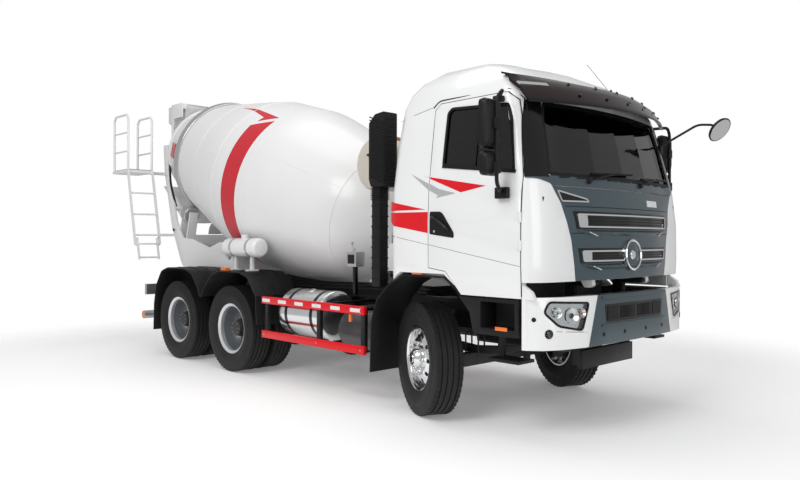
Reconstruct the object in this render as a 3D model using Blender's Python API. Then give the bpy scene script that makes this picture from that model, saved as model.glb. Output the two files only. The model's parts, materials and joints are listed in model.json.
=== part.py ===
"""Concrete mixer truck: a three-axle cab-over chassis with a tilted rotating drum.

Units are metres and +Z is up. The truck faces -Y, so its right side is -X.
The model is laid out from a datum on the ground under the front axle: x across, s along the truck
(towards the rear) and z up. The datum is an empty placed so that the whole truck is centred on the origin.
"""

import math

import bmesh
import bpy
from mathutils import Matrix, Vector

# ---------------------------------------------------------------- driving dimensions
FRONT_AXLE_Y = -2.480         # the datum's place, which centres the truck's length on the origin
WHEELBASE = 3.225             # front axle to middle axle
BOGIE_SPACING = 1.35          # middle axle to rear axle
TYRE_RADIUS = 0.525
TYRE_WIDTH = 0.28
TYRE_SIDES = 24
RIM_RADIUS = 0.292
TWIN_SPACING = 0.325          # centre to centre of the two tyres of a twin wheel
TWIN_OUTER_X = 1.095          # centre of the outer tyre
KINGPIN_X = 0.86
WHEEL_OFFSET = 0.16           # kingpin to the front tyre's centre
STEER_AT_REST = 24.0          # degrees to the right, as the truck is parked
RAIL_INNER_X = 0.36
RAIL_OUTER_X = 0.43
RAIL_BOTTOM_Z = 0.74
RAIL_TOP_Z = 1.02
SUBFRAME_TOP_Z = 1.10
FRAME_FRONT_S = -1.15
FRAME_REAR_S = 5.55
CAB_WALL = 0.05
CAB_FLOOR_Z = 1.31            # underside of the cab floor
CAB_FLOOR = 0.05
CAB_PIVOT_S = -1.30
CAB_PIVOT_Z = 1.235
DOOR_FRONT_S = -1.16
DOOR_REAR_S = -0.16
DOOR_BOTTOM_Z = 1.14
DOOR_TOP_Z = 2.80
DOOR_GAP = 0.006
DOOR_HINGE = (1.249, -1.163)   # x and s of the upright hinge line, just outside the skin
GLASS = 0.008
PANEL_GAP = 0.006
LID_DEPTH = 0.028             # thickness of the opening front panel
LID_TOP_Z = 2.03
LID_BOTTOM_Z = 1.27
LID_TOP_PLAY = 0.008          # extra gap over the panel, which rises a little as it drops open
LID_HINGE_S = -1.412
LID_HINGE_Z = 1.262           # the panel drops forward from a hinge along its lower edge
DRUM_TILT = 15.5              # degrees, mouth end up
DRUM_S = 1.80                 # where the drum's axis crosses its front seam
DRUM_Z = 1.82
DRUM_RADIUS = 1.115
DRUM_WALL = 0.012
DRUM_SIDES = 32
RING_AT = 3.66                # roller ring, along the axis from the front seam
RING_RADIUS = 0.885
RING_WIDTH = 0.12
ROLLER_RADIUS = 0.125
ROLLER_ANGLE = 32.0           # degrees each side of the drum's lowest line
ROLLER_GAP = 0.001
SEAT_GAP = 0.0004             # between pieces that rest on each other
HALF_WIDTH = 1.245

MID_AXLE_S = WHEELBASE
REAR_AXLE_S = WHEELBASE + BOGIE_SPACING
BOGIE_S = (MID_AXLE_S + REAR_AXLE_S) / 2
AXLE_Z = TYRE_RADIUS * math.cos(math.pi / TYRE_SIDES)   # the tyre stands on a flat of its outline
RIGHT, LEFT = -1, 1

# ---------------------------------------------------------------- scene and materials
for stale in list(bpy.data.objects):
    bpy.data.objects.remove(stale)

datum = bpy.data.objects.new("front_axle_datum", None)
datum.location = (0, FRONT_AXLE_Y, 0)
bpy.context.scene.collection.objects.link(datum)


def finish_of(name, colour, roughness, metallic=0.0):
    """A plain Principled material."""
    material = bpy.data.materials.new(name)
    material.use_nodes = True
    shader = material.node_tree.nodes["Principled BSDF"]
    shader.inputs["Base Color"].default_value = (*colour, 1)
    shader.inputs["Roughness"].default_value = roughness
    shader.inputs["Metallic"].default_value = metallic
    return material


WHITE_PAINT = finish_of("white_paint", (0.86, 0.87, 0.88), 0.3)
DRUM_PAINT = finish_of("drum_paint", (0.80, 0.81, 0.82), 0.35)
GREY_PAINT = finish_of("grey_paint", (0.09, 0.13, 0.16), 0.35)
BLACK_PAINT = finish_of("black_paint", (0.02, 0.02, 0.022), 0.5)
BLACK_PLASTIC = finish_of("black_plastic", (0.03, 0.03, 0.032), 0.6)
RED_PAINT = finish_of("red_paint", (0.75, 0.03, 0.04), 0.35)
RUBBER = finish_of("tyre_rubber", (0.025, 0.025, 0.026), 0.85)
ALLOY = finish_of("alloy", (0.78, 0.79, 0.80), 0.25, 1.0)
STEEL = finish_of("galvanised_steel", (0.62, 0.63, 0.64), 0.4, 1.0)
IRON = finish_of("cast_iron", (0.12, 0.12, 0.12), 0.6, 0.6)
TINTED_GLASS = finish_of("tinted_glass", (0.04, 0.045, 0.05), 0.05)
SEAT_CLOTH = finish_of("seat_cloth", (0.10, 0.10, 0.11), 0.9)


# ---------------------------------------------------------------- modelling tools
def solid(name, bm, material=None):
    """A mesh object in datum coordinates, its faces turned outwards."""
    bmesh.ops.recalc_face_normals(bm, faces=bm.faces)
    mesh = bpy.data.meshes.new(name)
    bm.to_mesh(mesh)
    bm.free()
    made = bpy.data.objects.new(name, mesh)
    bpy.context.scene.collection.objects.link(made)
    made.parent = datum
    if material:
        mesh.materials.append(material)
    return made


def box(low, high, bevel=0.0):
    """A box between two corners, with its edges bevelled."""
    bm = bmesh.new()
    bmesh.ops.create_cube(bm, size=1)
    size = Vector(high) - Vector(low)
    centre = (Vector(high) + Vector(low)) / 2
    bmesh.ops.scale(bm, vec=size, verts=bm.verts)
    bmesh.ops.translate(bm, vec=centre, verts=bm.verts)
    if bevel:
        bmesh.ops.bevel(bm, geom=bm.edges[:], offset=bevel, segments=1, profile=0.5, affect="EDGES")
    return solid("box", bm)


def mirrored_box(side, low, high, bevel=0.0):
    """A box given for the left side (+X), placed on either side."""
    xs = sorted((side * low[0], side * high[0]))
    return box((xs[0], low[1], low[2]), (xs[1], high[1], high[2]), bevel)


def extruded(outline, axis, start, end):
    """A prism of a closed outline. Along X the outline is (s, z), along Y it is (x, z), along Z (x, s)."""
    places = {
        "X": lambda a, b, t: (t, a, b),
        "Y": lambda a, b, t: (a, t, b),
        "Z": lambda a, b, t: (a, b, t),
    }[axis]
    bm = bmesh.new()
    face = bm.faces.new([bm.verts.new(places(a, b, start)) for a, b in outline])
    moved = bmesh.ops.extrude_face_region(bm, geom=[face])
    shift = Vector(places(0, 0, end)) - Vector(places(0, 0, start))
    bmesh.ops.translate(
        bm, vec=shift, verts=[v for v in moved["geom"] if isinstance(v, bmesh.types.BMVert)]
    )
    return solid("extrusion", bm)


def lofted(sections):
    """A closed body through sections that have the same number of points, capped at both ends."""
    bm = bmesh.new()
    rings = [[bm.verts.new(p) for p in section] for section in sections]
    count = len(rings[0])
    for low, high in zip(rings, rings[1:]):
        for i in range(count):
            j = (i + 1) % count
            bm.faces.new((low[i], low[j], high[j], high[i]))
    bm.faces.new(rings[0])
    bm.faces.new(rings[-1])
    return solid("loft", bm)


def turned(profile, start, direction, sides, flat_down=False):
    """A solid of revolution. The profile is (along, radius) in order, closed by the axis or by itself."""
    axis = Vector(direction).normalized()
    across = Vector((0, 0, 1)).cross(axis)
    if across.length < 1e-6:
        across = Vector((1, 0, 0))
    across.normalize()
    other = axis.cross(across)
    bm = bmesh.new()
    half = 0.5 if flat_down else 0.0
    angles = [2 * math.pi * (k + half) / sides for k in range(sides)]
    rings = []
    for along, radius in profile:
        centre = Vector(start) + axis * along
        if radius < 1e-9:
            rings.append([bm.verts.new(centre)])
            continue
        ring = [
            bm.verts.new(centre + (across * math.sin(a) + other * math.cos(a)) * radius) for a in angles
        ]
        rings.append(ring)
    pairs = list(zip(rings, rings[1:]))
    if len(rings[0]) > 1 and len(rings[-1]) > 1:
        pairs.append((rings[-1], rings[0]))
    for a, b in pairs:
        if len(a) == len(b) == 1:
            continue
        for i in range(sides):
            j = (i + 1) % sides
            corners = []
            for vertex in (a[i % len(a)], a[j % len(a)], b[j % len(b)], b[i % len(b)]):
                if vertex not in corners:
                    corners.append(vertex)
            bm.faces.new(corners)
    return solid("turned", bm)


def rod(start, end, radius, sides=8):
    """A round bar between two points."""
    start, end = Vector(start), Vector(end)
    length = (end - start).length
    return turned([(0, 0), (0, radius), (length, radius), (length, 0)], start, end - start, sides)


def bent_bar(points, width, depth, across):
    """A flat bar with a rectangular section that follows points, its width along the across vector."""
    across = Vector(across).normalized()
    path = [Vector(p) for p in points]
    sections = []
    for i, point in enumerate(path):
        before = path[max(i - 1, 0)]
        after = path[min(i + 1, len(path) - 1)]
        along = (after - before).normalized()
        normal = along.cross(across).normalized()
        stretch = 1.0
        if 0 < i < len(path) - 1:
            first = (point - before).normalized()
            second = (after - point).normalized()
            stretch = 1 / max(math.sqrt((1 + first.dot(second)) / 2), 0.5)
        w = across * (width / 2)
        d = normal * (depth / 2 * stretch)
        sections.append([point - w - d, point + w - d, point + w + d, point - w + d])
    return lofted(sections)


def tube(points, radius, sides=6):
    """A round bar that follows points with mitred bends."""
    path = [Vector(p) for p in points]
    first = (path[1] - path[0]).normalized()
    across = first.cross(Vector((0, 0, 1)))
    if across.length < 1e-3:
        across = Vector((1, 0, 0))
    across.normalize()
    sections = []
    for i, point in enumerate(path):
        before = path[max(i - 1, 0)]
        after = path[min(i + 1, len(path) - 1)]
        into = (point - before).normalized() if i else (after - point).normalized()
        out = (after - point).normalized() if i < len(path) - 1 else into
        tangent = (into + out).normalized()
        across = (across - into * across.dot(into)).normalized()
        other = into.cross(across)
        ring = []
        for k in range(sides):
            angle = 2 * math.pi * (k + 0.5) / sides
            spoke = (across * math.cos(angle) + other * math.sin(angle)) * radius
            shift = spoke.dot(tangent) / into.dot(tangent)
            ring.append(point + spoke - into * shift)
        sections.append(ring)
        across = (across - out * across.dot(out)).normalized()
    return lofted(sections)


def discard(*objects):
    for made in objects:
        bpy.data.objects.remove(made)


def combined(first, others, operation):
    """The first body joined with, cut by or kept inside each of the others, as one mesh."""
    for other in others:
        modifier = first.modifiers.new(operation.lower(), "BOOLEAN")
        modifier.operation = operation
        modifier.solver = "EXACT"
        modifier.object = other
        bpy.context.view_layer.update()
        graph = bpy.context.evaluated_depsgraph_get()
        mesh = bpy.data.meshes.new_from_object(first.evaluated_get(graph))
        first.modifiers.clear()
        first.data = mesh
    discard(*others)
    return first


def union(first, *others):
    return combined(first, others, "UNION")


def cut(first, *cutters):
    return combined(first, cutters, "DIFFERENCE")


def common(first, *others):
    return combined(first, others, "INTERSECT")


def named(made, name, material, origin=None, smooth=True):
    """Names a finished node, gives it its material and, if it moves, puts its origin on its joint's axis."""
    bm = bmesh.new()
    bm.from_mesh(made.data)
    bmesh.ops.remove_doubles(bm, verts=bm.verts, dist=2e-5)
    bmesh.ops.dissolve_degenerate(bm, edges=bm.edges, dist=2e-5)
    bmesh.ops.triangulate(bm, faces=bm.faces)
    bm.to_mesh(made.data)
    bm.free()
    made.name = name
    made.data.name = name
    made.data.materials.clear()
    made.data.materials.append(material)
    if origin is not None:
        made.data.transform(Matrix.Translation(-Vector(origin)))
        made.location = origin
    if smooth:
        made.data.shade_smooth()
        made.data.set_sharp_from_angle(angle=math.radians(35))
    return made


# ---------------------------------------------------------------- wheels
def tyre_profile(centre):
    """One tyre's section round its centre, from bead to bead over the tread."""
    half = TYRE_WIDTH / 2
    tread = half - 0.035
    bead = half - 0.04
    return [
        (centre - bead, RIM_RADIUS),
        (centre - half, TYRE_RADIUS - 0.12),
        (centre - tread, TYRE_RADIUS),
        (centre + tread, TYRE_RADIUS),
        (centre + half, TYRE_RADIUS - 0.12),
        (centre + bead, RIM_RADIUS),
    ]


RIM_WALL = 0.016
HUB_RADIUS = 0.13
BRAKE_RADIUS = 0.205


def front_wheel(side):
    """A steered wheel: its tyre and its outset disc, on a spindle turned to the parked steering angle."""
    angle = math.radians(-STEER_AT_REST)
    outward = Vector((side * math.cos(angle), side * math.sin(angle), 0))
    kingpin = Vector((side * KINGPIN_X, 0, AXLE_Z))
    centre = kingpin + outward * WHEEL_OFFSET
    name = "right" if side == RIGHT else "left"
    tyre = turned(tyre_profile(0), centre, outward, TYRE_SIDES, flat_down=True)
    named(tyre, f"tyre_front_{name}", RUBBER, centre)
    rim_outside = RIM_RADIUS - SEAT_GAP
    edge = TYRE_WIDTH / 2 - 0.036
    rim = turned(
        [
            (-edge, rim_outside), (-edge, rim_outside - RIM_WALL), (0.03, rim_outside - RIM_WALL),
            (0.05, 0.17), (-0.015, 0.15), (-0.015, 0.0),
            (0.15, 0.0), (0.15, 0.08), (0.11, 0.12), (0.085, 0.19), (0.07, 0.25), (edge, 0.268), (
                edge, rim_outside,
            ),
        ],
        centre, outward, TYRE_SIDES, flat_down=True,
    )
    named(rim, f"rim_front_{name}", ALLOY, centre)


def twin_wheel(side, station, place):
    """Two tyres on one pair of rims with the hub and brake drum: one rigid body of revolution."""
    outer = TWIN_OUTER_X
    inner = TWIN_OUTER_X - TWIN_SPACING
    middle = (outer + inner) / 2
    edge = TYRE_WIDTH / 2 - 0.036
    outer_tyre = tyre_profile(outer)
    inner_tyre = tyre_profile(inner)
    barrel = RIM_RADIUS - RIM_WALL
    profile = [(inner - 0.07, 0.0), (inner - 0.07, BRAKE_RADIUS), (middle - 0.03, BRAKE_RADIUS)]
    profile += [(middle - 0.02, 0.255), (inner + 0.02, barrel), (inner - edge, barrel)]
    profile += inner_tyre + outer_tyre
    profile += [
        (outer + edge, barrel), (outer - 0.06, barrel), (middle + 0.02, 0.25),
        (middle + 0.012, HUB_RADIUS),
    ]
    profile += [(outer + 0.02, 0.10), (outer + 0.05, 0.06), (outer + 0.05, 0.0)]
    wheel = turned(profile, (0, station, AXLE_Z), (side, 0, 0), TYRE_SIDES, flat_down=True)
    name = "right" if side == RIGHT else "left"
    named(wheel, f"twin_wheel_{place}_{name}", RUBBER, (side * middle, station, AXLE_Z))


for wheel_side in (RIGHT, LEFT):
    front_wheel(wheel_side)
    twin_wheel(wheel_side, MID_AXLE_S, "middle")
    twin_wheel(wheel_side, REAR_AXLE_S, "rear")

# ---------------------------------------------------------------- axles, steering and springs
BEAM_TOP = AXLE_Z
BEAM_BOTTOM = AXLE_Z - 0.12
BOSS_HALF = 0.065
BOSS_RADIUS = 0.05
EAR = 0.035
SPRING_X = (0.385, 0.465)
FRONT_SPRING_HALF = 0.72
SPRING_SEAT_Z = RAIL_BOTTOM_Z - 0.06
ARM_LENGTH = 0.20
ARM_Z = AXLE_Z - 0.13


def front_spring(side):
    """A leaf pack with upswept ends over the beam."""
    half, depth = FRONT_SPRING_HALF, 0.035
    centre_line = [
        (-half, SPRING_SEAT_Z - depth), (-0.35, 0.575), (0, 0.545), (0.35, 0.575),
        (half, SPRING_SEAT_Z - depth),
    ]
    top = [(s, z + depth - SEAT_GAP) for s, z in centre_line]
    bottom = [(s, z - depth * (1.0 if abs(s) < 0.4 else 0.2)) for s, z in reversed(centre_line)]
    xs = sorted(side * x for x in SPRING_X)
    return extruded(top + bottom, "X", *xs)


beam = box((-0.72, -0.05, BEAM_BOTTOM), (0.72, 0.05, BEAM_TOP))
pieces = [front_spring(RIGHT), front_spring(LEFT)]
for end in (RIGHT, LEFT):
    pieces.append(mirrored_box(end, (0.68, -0.045, AXLE_Z - 0.055), (KINGPIN_X, 0.045, AXLE_Z + 0.05)))
    pieces.append(
        rod(
            (end * KINGPIN_X, 0, AXLE_Z - BOSS_HALF), (end * KINGPIN_X, 0, AXLE_Z + BOSS_HALF),
            BOSS_RADIUS, 12,
        )
    )
named(union(beam, *pieces), "front_axle", IRON)


def knuckle(side):
    """A fork over the beam's boss, with the wheel spindle outside and the steering arm behind."""
    pin = Vector((side * KINGPIN_X, 0, AXLE_Z))
    turn = Matrix.Translation(pin) @ Matrix.Rotation(math.radians(-STEER_AT_REST), 4, "Z") @ Matrix.Translation(
        -pin
    )
    low, high = BOSS_HALF + SEAT_GAP, BOSS_HALF + EAR
    x = KINGPIN_X
    upper = mirrored_box(side, (x - 0.045, -0.045, AXLE_Z + low), (x + 0.10, 0.045, AXLE_Z + high))
    lower = mirrored_box(side, (x - 0.045, -0.045, AXLE_Z - high), (x + 0.10, 0.045, AXLE_Z - low))
    back = mirrored_box(
        side, (x + 0.065, -0.055, AXLE_Z - high - 0.01), (x + 0.105, 0.055, AXLE_Z + high + 0.01),
    )
    spindle = rod(
        (side * (x + 0.09), 0, AXLE_Z), (side * (x + WHEEL_OFFSET - 0.015 - SEAT_GAP), 0, AXLE_Z),
        0.06, 12,
    )
    arm = mirrored_box(
        side, (x - 0.025, 0.0, AXLE_Z - high - 0.03),
        (x + 0.025, ARM_LENGTH + 0.03, AXLE_Z - high + 0.005),
    )
    made = union(back, upper, lower, spindle, arm)
    made.data.transform(turn)
    name = "right" if side == RIGHT else "left"
    named(made, f"knuckle_{name}", IRON, pin)


knuckle(RIGHT)
knuckle(LEFT)

steer = math.radians(STEER_AT_REST)
arm_tip_s = ARM_LENGTH * math.cos(steer)
arm_tip_x = ARM_LENGTH * math.sin(steer)     # both arms point back, turned with the wheels
TIE_ROD_Z = AXLE_Z - BOSS_HALF - EAR - 0.03 - SEAT_GAP - 0.02
right_eye = Vector((-KINGPIN_X + arm_tip_x, arm_tip_s, TIE_ROD_Z))
left_eye = Vector((KINGPIN_X + arm_tip_x, arm_tip_s, TIE_ROD_Z))
eyes = [
    rod(eye - Vector((0, 0, 0.02)), eye + Vector((0, 0, 0.02)), 0.03, 10)
    for eye in (right_eye, left_eye)
]
named(union(rod(right_eye, left_eye, 0.016), *eyes), "tie_rod", IRON, right_eye)

AXLE_END = TWIN_OUTER_X - TWIN_SPACING - 0.07 - SEAT_GAP
DIFF_RADIUS = 0.2
TUBE_RADIUS = 0.075
BOGIE_SPRING_X = (0.46, 0.56)
AXLE_PAD_Z = AXLE_Z + TUBE_RADIUS + 0.02


def drive_axle(station, name, extra=()):
    """A banjo axle with spring pads on top."""
    half = [(AXLE_END, 0.0), (AXLE_END, TUBE_RADIUS), (0.28, TUBE_RADIUS + 0.01), (0.16, DIFF_RADIUS)]
    profile = half + [(-a, r) for a, r in reversed(half)]
    axle = turned(profile, (0, station, AXLE_Z), (1, 0, 0), 12)
    pads = [
        mirrored_box(
            side, (BOGIE_SPRING_X[0], station - 0.06, AXLE_Z),
            (BOGIE_SPRING_X[1], station + 0.06, AXLE_PAD_Z),
        )
        for side in (RIGHT, LEFT)
    ]
    named(union(axle, *pads, *extra), name, IRON)


SHAFT_Z = AXLE_Z + 0.03
link_shaft = rod((0, MID_AXLE_S + DIFF_RADIUS + 0.01, SHAFT_Z), (0, REAR_AXLE_S - 0.1, SHAFT_Z), 0.045)
drive_axle(MID_AXLE_S, "middle_axle")
drive_axle(REAR_AXLE_S, "rear_axle", [link_shaft])

TRUNNION_Z = 0.40
TRUNNION_HALF = 0.14
TRUNNION_RADIUS = 0.045
springs = [rod((-0.5, BOGIE_S, TRUNNION_Z), (0.5, BOGIE_S, TRUNNION_Z), TRUNNION_RADIUS)]
for spring_side in (RIGHT, LEFT):
    low = AXLE_PAD_Z + SEAT_GAP
    top = [
        (MID_AXLE_S - 0.09, low + 0.04), (BOGIE_S - 0.25, 0.72), (BOGIE_S + 0.25, 0.72),
        (REAR_AXLE_S + 0.09, low + 0.04),
    ]
    bottom = [(REAR_AXLE_S + 0.09, low), (REAR_AXLE_S - 0.2, low), (BOGIE_S + 0.3, 0.61), (BOGIE_S - 0.3, 0.61),
              (MID_AXLE_S + 0.2, low), (MID_AXLE_S - 0.09, low)]
    xs = sorted(spring_side * x for x in BOGIE_SPRING_X)
    springs.append(extruded(top + bottom, "X", *xs))
    springs.append(mirrored_box(spring_side, (BOGIE_SPRING_X[0], BOGIE_S - TRUNNION_HALF, 0.34),
                                (BOGIE_SPRING_X[1], BOGIE_S + TRUNNION_HALF, 0.66)))
named(union(*springs), "bogie_springs", IRON)

# ---------------------------------------------------------------- chassis frame
UNDERRUN_HALF = 0.42
CROSSMEMBERS = (-1.08, 1.30, 2.30, 2.85, 3.90, 5.10, FRAME_REAR_S - 0.06)
REAR_CAB_MOUNT_S = (0.15, 0.24)


def chassis_frame():
    """Two rails with crossmembers, hangers, the cab's mounts, the front underrun and the body's subframe."""
    base = box(
        (-RAIL_OUTER_X, FRAME_REAR_S - 0.12, RAIL_BOTTOM_Z + 0.02),
        (RAIL_OUTER_X, FRAME_REAR_S, RAIL_TOP_Z - 0.02),
    )
    parts = []
    for side in (RIGHT, LEFT):
        parts.append(
            mirrored_box(
                side, (RAIL_INNER_X, FRAME_FRONT_S, RAIL_BOTTOM_Z),
                (RAIL_OUTER_X, FRAME_REAR_S, RAIL_TOP_Z),
            )
        )
        parts.append(
            mirrored_box(
                side, (RAIL_INNER_X + 0.005, 0.75, RAIL_TOP_Z - 0.01),
                (RAIL_OUTER_X - 0.005, FRAME_REAR_S - 0.05, SUBFRAME_TOP_Z),
            )
        )
        for hanger in (-FRONT_SPRING_HALF, FRONT_SPRING_HALF):
            parts.append(
                mirrored_box(
                    side, (0.39, hanger - 0.05, SPRING_SEAT_Z),
                    (0.425, hanger + 0.05, RAIL_BOTTOM_Z + 0.02),
                )
            )
        parts.append(
            mirrored_box(
                side, (RAIL_OUTER_X - 0.01, BOGIE_S - 0.13, 0.36),
                (BOGIE_SPRING_X[0] - SEAT_GAP, BOGIE_S + 0.13, 0.90),
            )
        )
        parts.append(
            mirrored_box(
                side, (RAIL_INNER_X + 0.005, -1.17, 0.53),
                (RAIL_OUTER_X - 0.005, -1.09, RAIL_BOTTOM_Z + 0.02),
            )
        )
        parts.append(
            mirrored_box(
                side, (0.375, FRAME_FRONT_S - 0.1295, 0.80), (0.42, FRAME_FRONT_S + 0.02, 0.98),
            )
        )
        ear = 0.024
        arc = [
            (CAB_PIVOT_S - ear * math.sin(a), CAB_PIVOT_Z - ear * math.cos(a))
            for a in (math.pi * k / 6 for k in range(7))
        ]
        arm = [(-1.02, RAIL_TOP_Z - 0.01), (-1.12, RAIL_TOP_Z - 0.01), (-1.12, CAB_PIVOT_Z - ear)] + arc + [
            (-1.02, CAB_PIVOT_Z + ear)
        ]
        xs = sorted(side * x for x in (RAIL_INNER_X + 0.005, RAIL_OUTER_X))
        parts.append(extruded(arm, "X", *xs))
    for station in CROSSMEMBERS:
        parts.append(
            box(
                (-RAIL_OUTER_X + 0.03, station - 0.05, 0.80),
                (RAIL_OUTER_X - 0.03, station + 0.05, 0.97),
            )
        )
    parts.append(box((-UNDERRUN_HALF, -1.20, 0.50), (UNDERRUN_HALF, -1.14, 0.66)))
    parts.append(
        box(
            (-RAIL_OUTER_X, REAR_CAB_MOUNT_S[0], RAIL_TOP_Z - 0.01),
            (-RAIL_INNER_X, REAR_CAB_MOUNT_S[1], CAB_FLOOR_Z - 0.10),
        )
    )
    parts.append(
        box(
            (RAIL_INNER_X, REAR_CAB_MOUNT_S[0], RAIL_TOP_Z - 0.01),
            (RAIL_OUTER_X, REAR_CAB_MOUNT_S[1], CAB_FLOOR_Z - 0.10),
        )
    )
    parts.append(
        box(
            (-0.55, REAR_CAB_MOUNT_S[0], CAB_FLOOR_Z - 0.11),
            (0.55, REAR_CAB_MOUNT_S[1], CAB_FLOOR_Z - SEAT_GAP),
        )
    )
    trunnion_bore = rod(
        (-0.6, BOGIE_S, TRUNNION_Z), (0.6, BOGIE_S, TRUNNION_Z), TRUNNION_RADIUS + SEAT_GAP,
    )
    named(cut(union(base, *parts), trunnion_bore), "chassis_frame", BLACK_PAINT)


chassis_frame()

engine = box((-0.31, -0.95, 0.60), (0.31, 0.10, 1.27), 0.02)
gearbox = box((-0.19, 0.05, 0.62), (0.19, 0.90, 0.98), 0.03)
output = rod((0, 0.85, 0.76), (0, MID_AXLE_S - DIFF_RADIUS - 0.012, 0.60), 0.05)
feet = [
    mirrored_box(side, (0.30, s - 0.06, 0.84), (RAIL_INNER_X - SEAT_GAP, s + 0.06, 0.94))
    for side in (RIGHT, LEFT)
    for s in (-0.75, 0.0)
]
named(union(engine, gearbox, output, *feet), "engine_and_gearbox", IRON)

# ---------------------------------------------------------------- cab
# Plan sections of the cab's outer skin: height, half width, front (at the centre line), rear.
CAB_LEVELS = [
    (1.14, 1.235, -1.405, 0.355),
    (1.40, 1.243, -1.415, 0.360),
    (1.75, 1.245, -1.410, 0.360),
    (2.05, 1.236, -1.375, 0.355),
    (2.45, 1.190, -1.285, 0.340),
    (2.80, 1.145, -1.190, 0.300),
    (2.93, 1.110, -1.110, 0.240),
    (3.04, 1.040, -0.980, 0.150),
    (3.13, 0.920, -0.780, 0.020),
    (3.185, 0.700, -0.520, -0.130),
    (3.20, 0.400, -0.380, -0.240),
]
FRONT_BOW = 0.085     # how far the front falls back from the centre to the corner's start
CORNER_DEPTH = 0.17   # the corner's length along the truck
CORNER_WIDTH = 0.36   # the corner's width across


def cab_plan(half_width, front, rear, inset):
    """One plan section as (x, s): a bowed front, round corners and a flat back."""
    w = half_width - inset
    f = front + inset
    r = rear - inset
    length = rear - front
    bow, corner, back = min(FRONT_BOW, 0.12 * length), min(CORNER_DEPTH, 0.25 * length), min(
        0.10, 0.2 * length,
    )
    start_x = max(w - CORNER_WIDTH, 0.3 * w)
    start_s = f + bow
    points = [(0, f), (start_x * 0.5, f + bow * 0.25), (start_x, start_s)]
    for k in (1, 2, 3, 4):
        angle = math.pi / 2 * k / 4
        points.append(
            (start_x + (w - start_x) * math.sin(angle), start_s + corner * (1 - math.cos(angle)))
        )
    points += [(w, r - back), (w - 0.3 * back, r - 0.3 * back), (w - back, r)]
    return points + [(-x, s) for x, s in reversed(points) if x > 1e-6]


def cab_volume(inset, bottom=None):
    """The cab's outer skin moved inwards by inset, as a closed body. A negative inset grows it."""
    sections = []
    for z, half_width, front, rear in CAB_LEVELS:
        height = z - inset if z > 2.9 else z
        sections.append([(x, s, height) for x, s in cab_plan(half_width, front, rear, inset)])
    if bottom is not None and bottom < CAB_LEVELS[0][0]:
        sections.insert(0, [(x, s, bottom) for x, s, z in sections[0]])
    elif bottom is not None:
        sections[0] = [(x, s, bottom) for x, s, z in sections[0]]
    return lofted(sections)


def grown(outline, amount):
    """A convex outline moved outwards by amount."""
    count = len(outline)
    area = sum(
        outline[i][0] * outline[(i + 1) % count][1] - outline[(i + 1) % count][0] * outline[i][1]
        for i in range(count)
    )
    turn = 1 if area > 0 else -1
    result = []
    for i in range(count):
        p, a, b = Vector(outline[i]), Vector(outline[i - 1]), Vector(outline[(i + 1) % count])
        first, second = (p - a).normalized(), (b - p).normalized()
        n1 = Vector((first.y, -first.x)) * turn
        n2 = Vector((second.y, -second.x)) * turn
        bisector = (n1 + n2).normalized()
        result.append(tuple(p + bisector * (amount / max(bisector.dot(n1), 0.3))))
    return result


DOOR = [
    (DOOR_FRONT_S, DOOR_BOTTOM_Z - 0.02), (DOOR_FRONT_S, 2.10), (-1.075, 2.60), (-1.04, 2.73), (
        -0.96, DOOR_TOP_Z,
    ),
    (-0.22, DOOR_TOP_Z - 0.005), (DOOR_REAR_S, 2.74), (DOOR_REAR_S, 1.36), (-0.36, 1.335), (
        -0.56, DOOR_BOTTOM_Z - 0.02,
    ),
]
DOOR_WINDOW = [
    (-1.085, 2.15), (-1.015, 2.58), (-0.97, 2.70), (-0.36, 2.735), (-0.32, 2.70), (-0.31, 2.25),
]
WINDSCREEN = [(-1.0, 2.13), (1.0, 2.13), (0.94, 2.60), (0.89, 2.72), (-0.89, 2.72), (-0.94, 2.60)]
LID = [(-0.745, LID_BOTTOM_Z - 0.02), (0.745, LID_BOTTOM_Z - 0.02), (0.80, 1.60), (0.90, 1.90), (0.99, LID_TOP_Z),
       (-0.99, LID_TOP_Z), (-0.90, 1.90), (-0.80, 1.60)]


def skin(outer_inset, inner_inset):
    """The layer of the cab between two insets, without floor or lid."""
    return cut(cab_volume(outer_inset), cab_volume(inner_inset, CAB_LEVELS[0][0] - 0.1))


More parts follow.
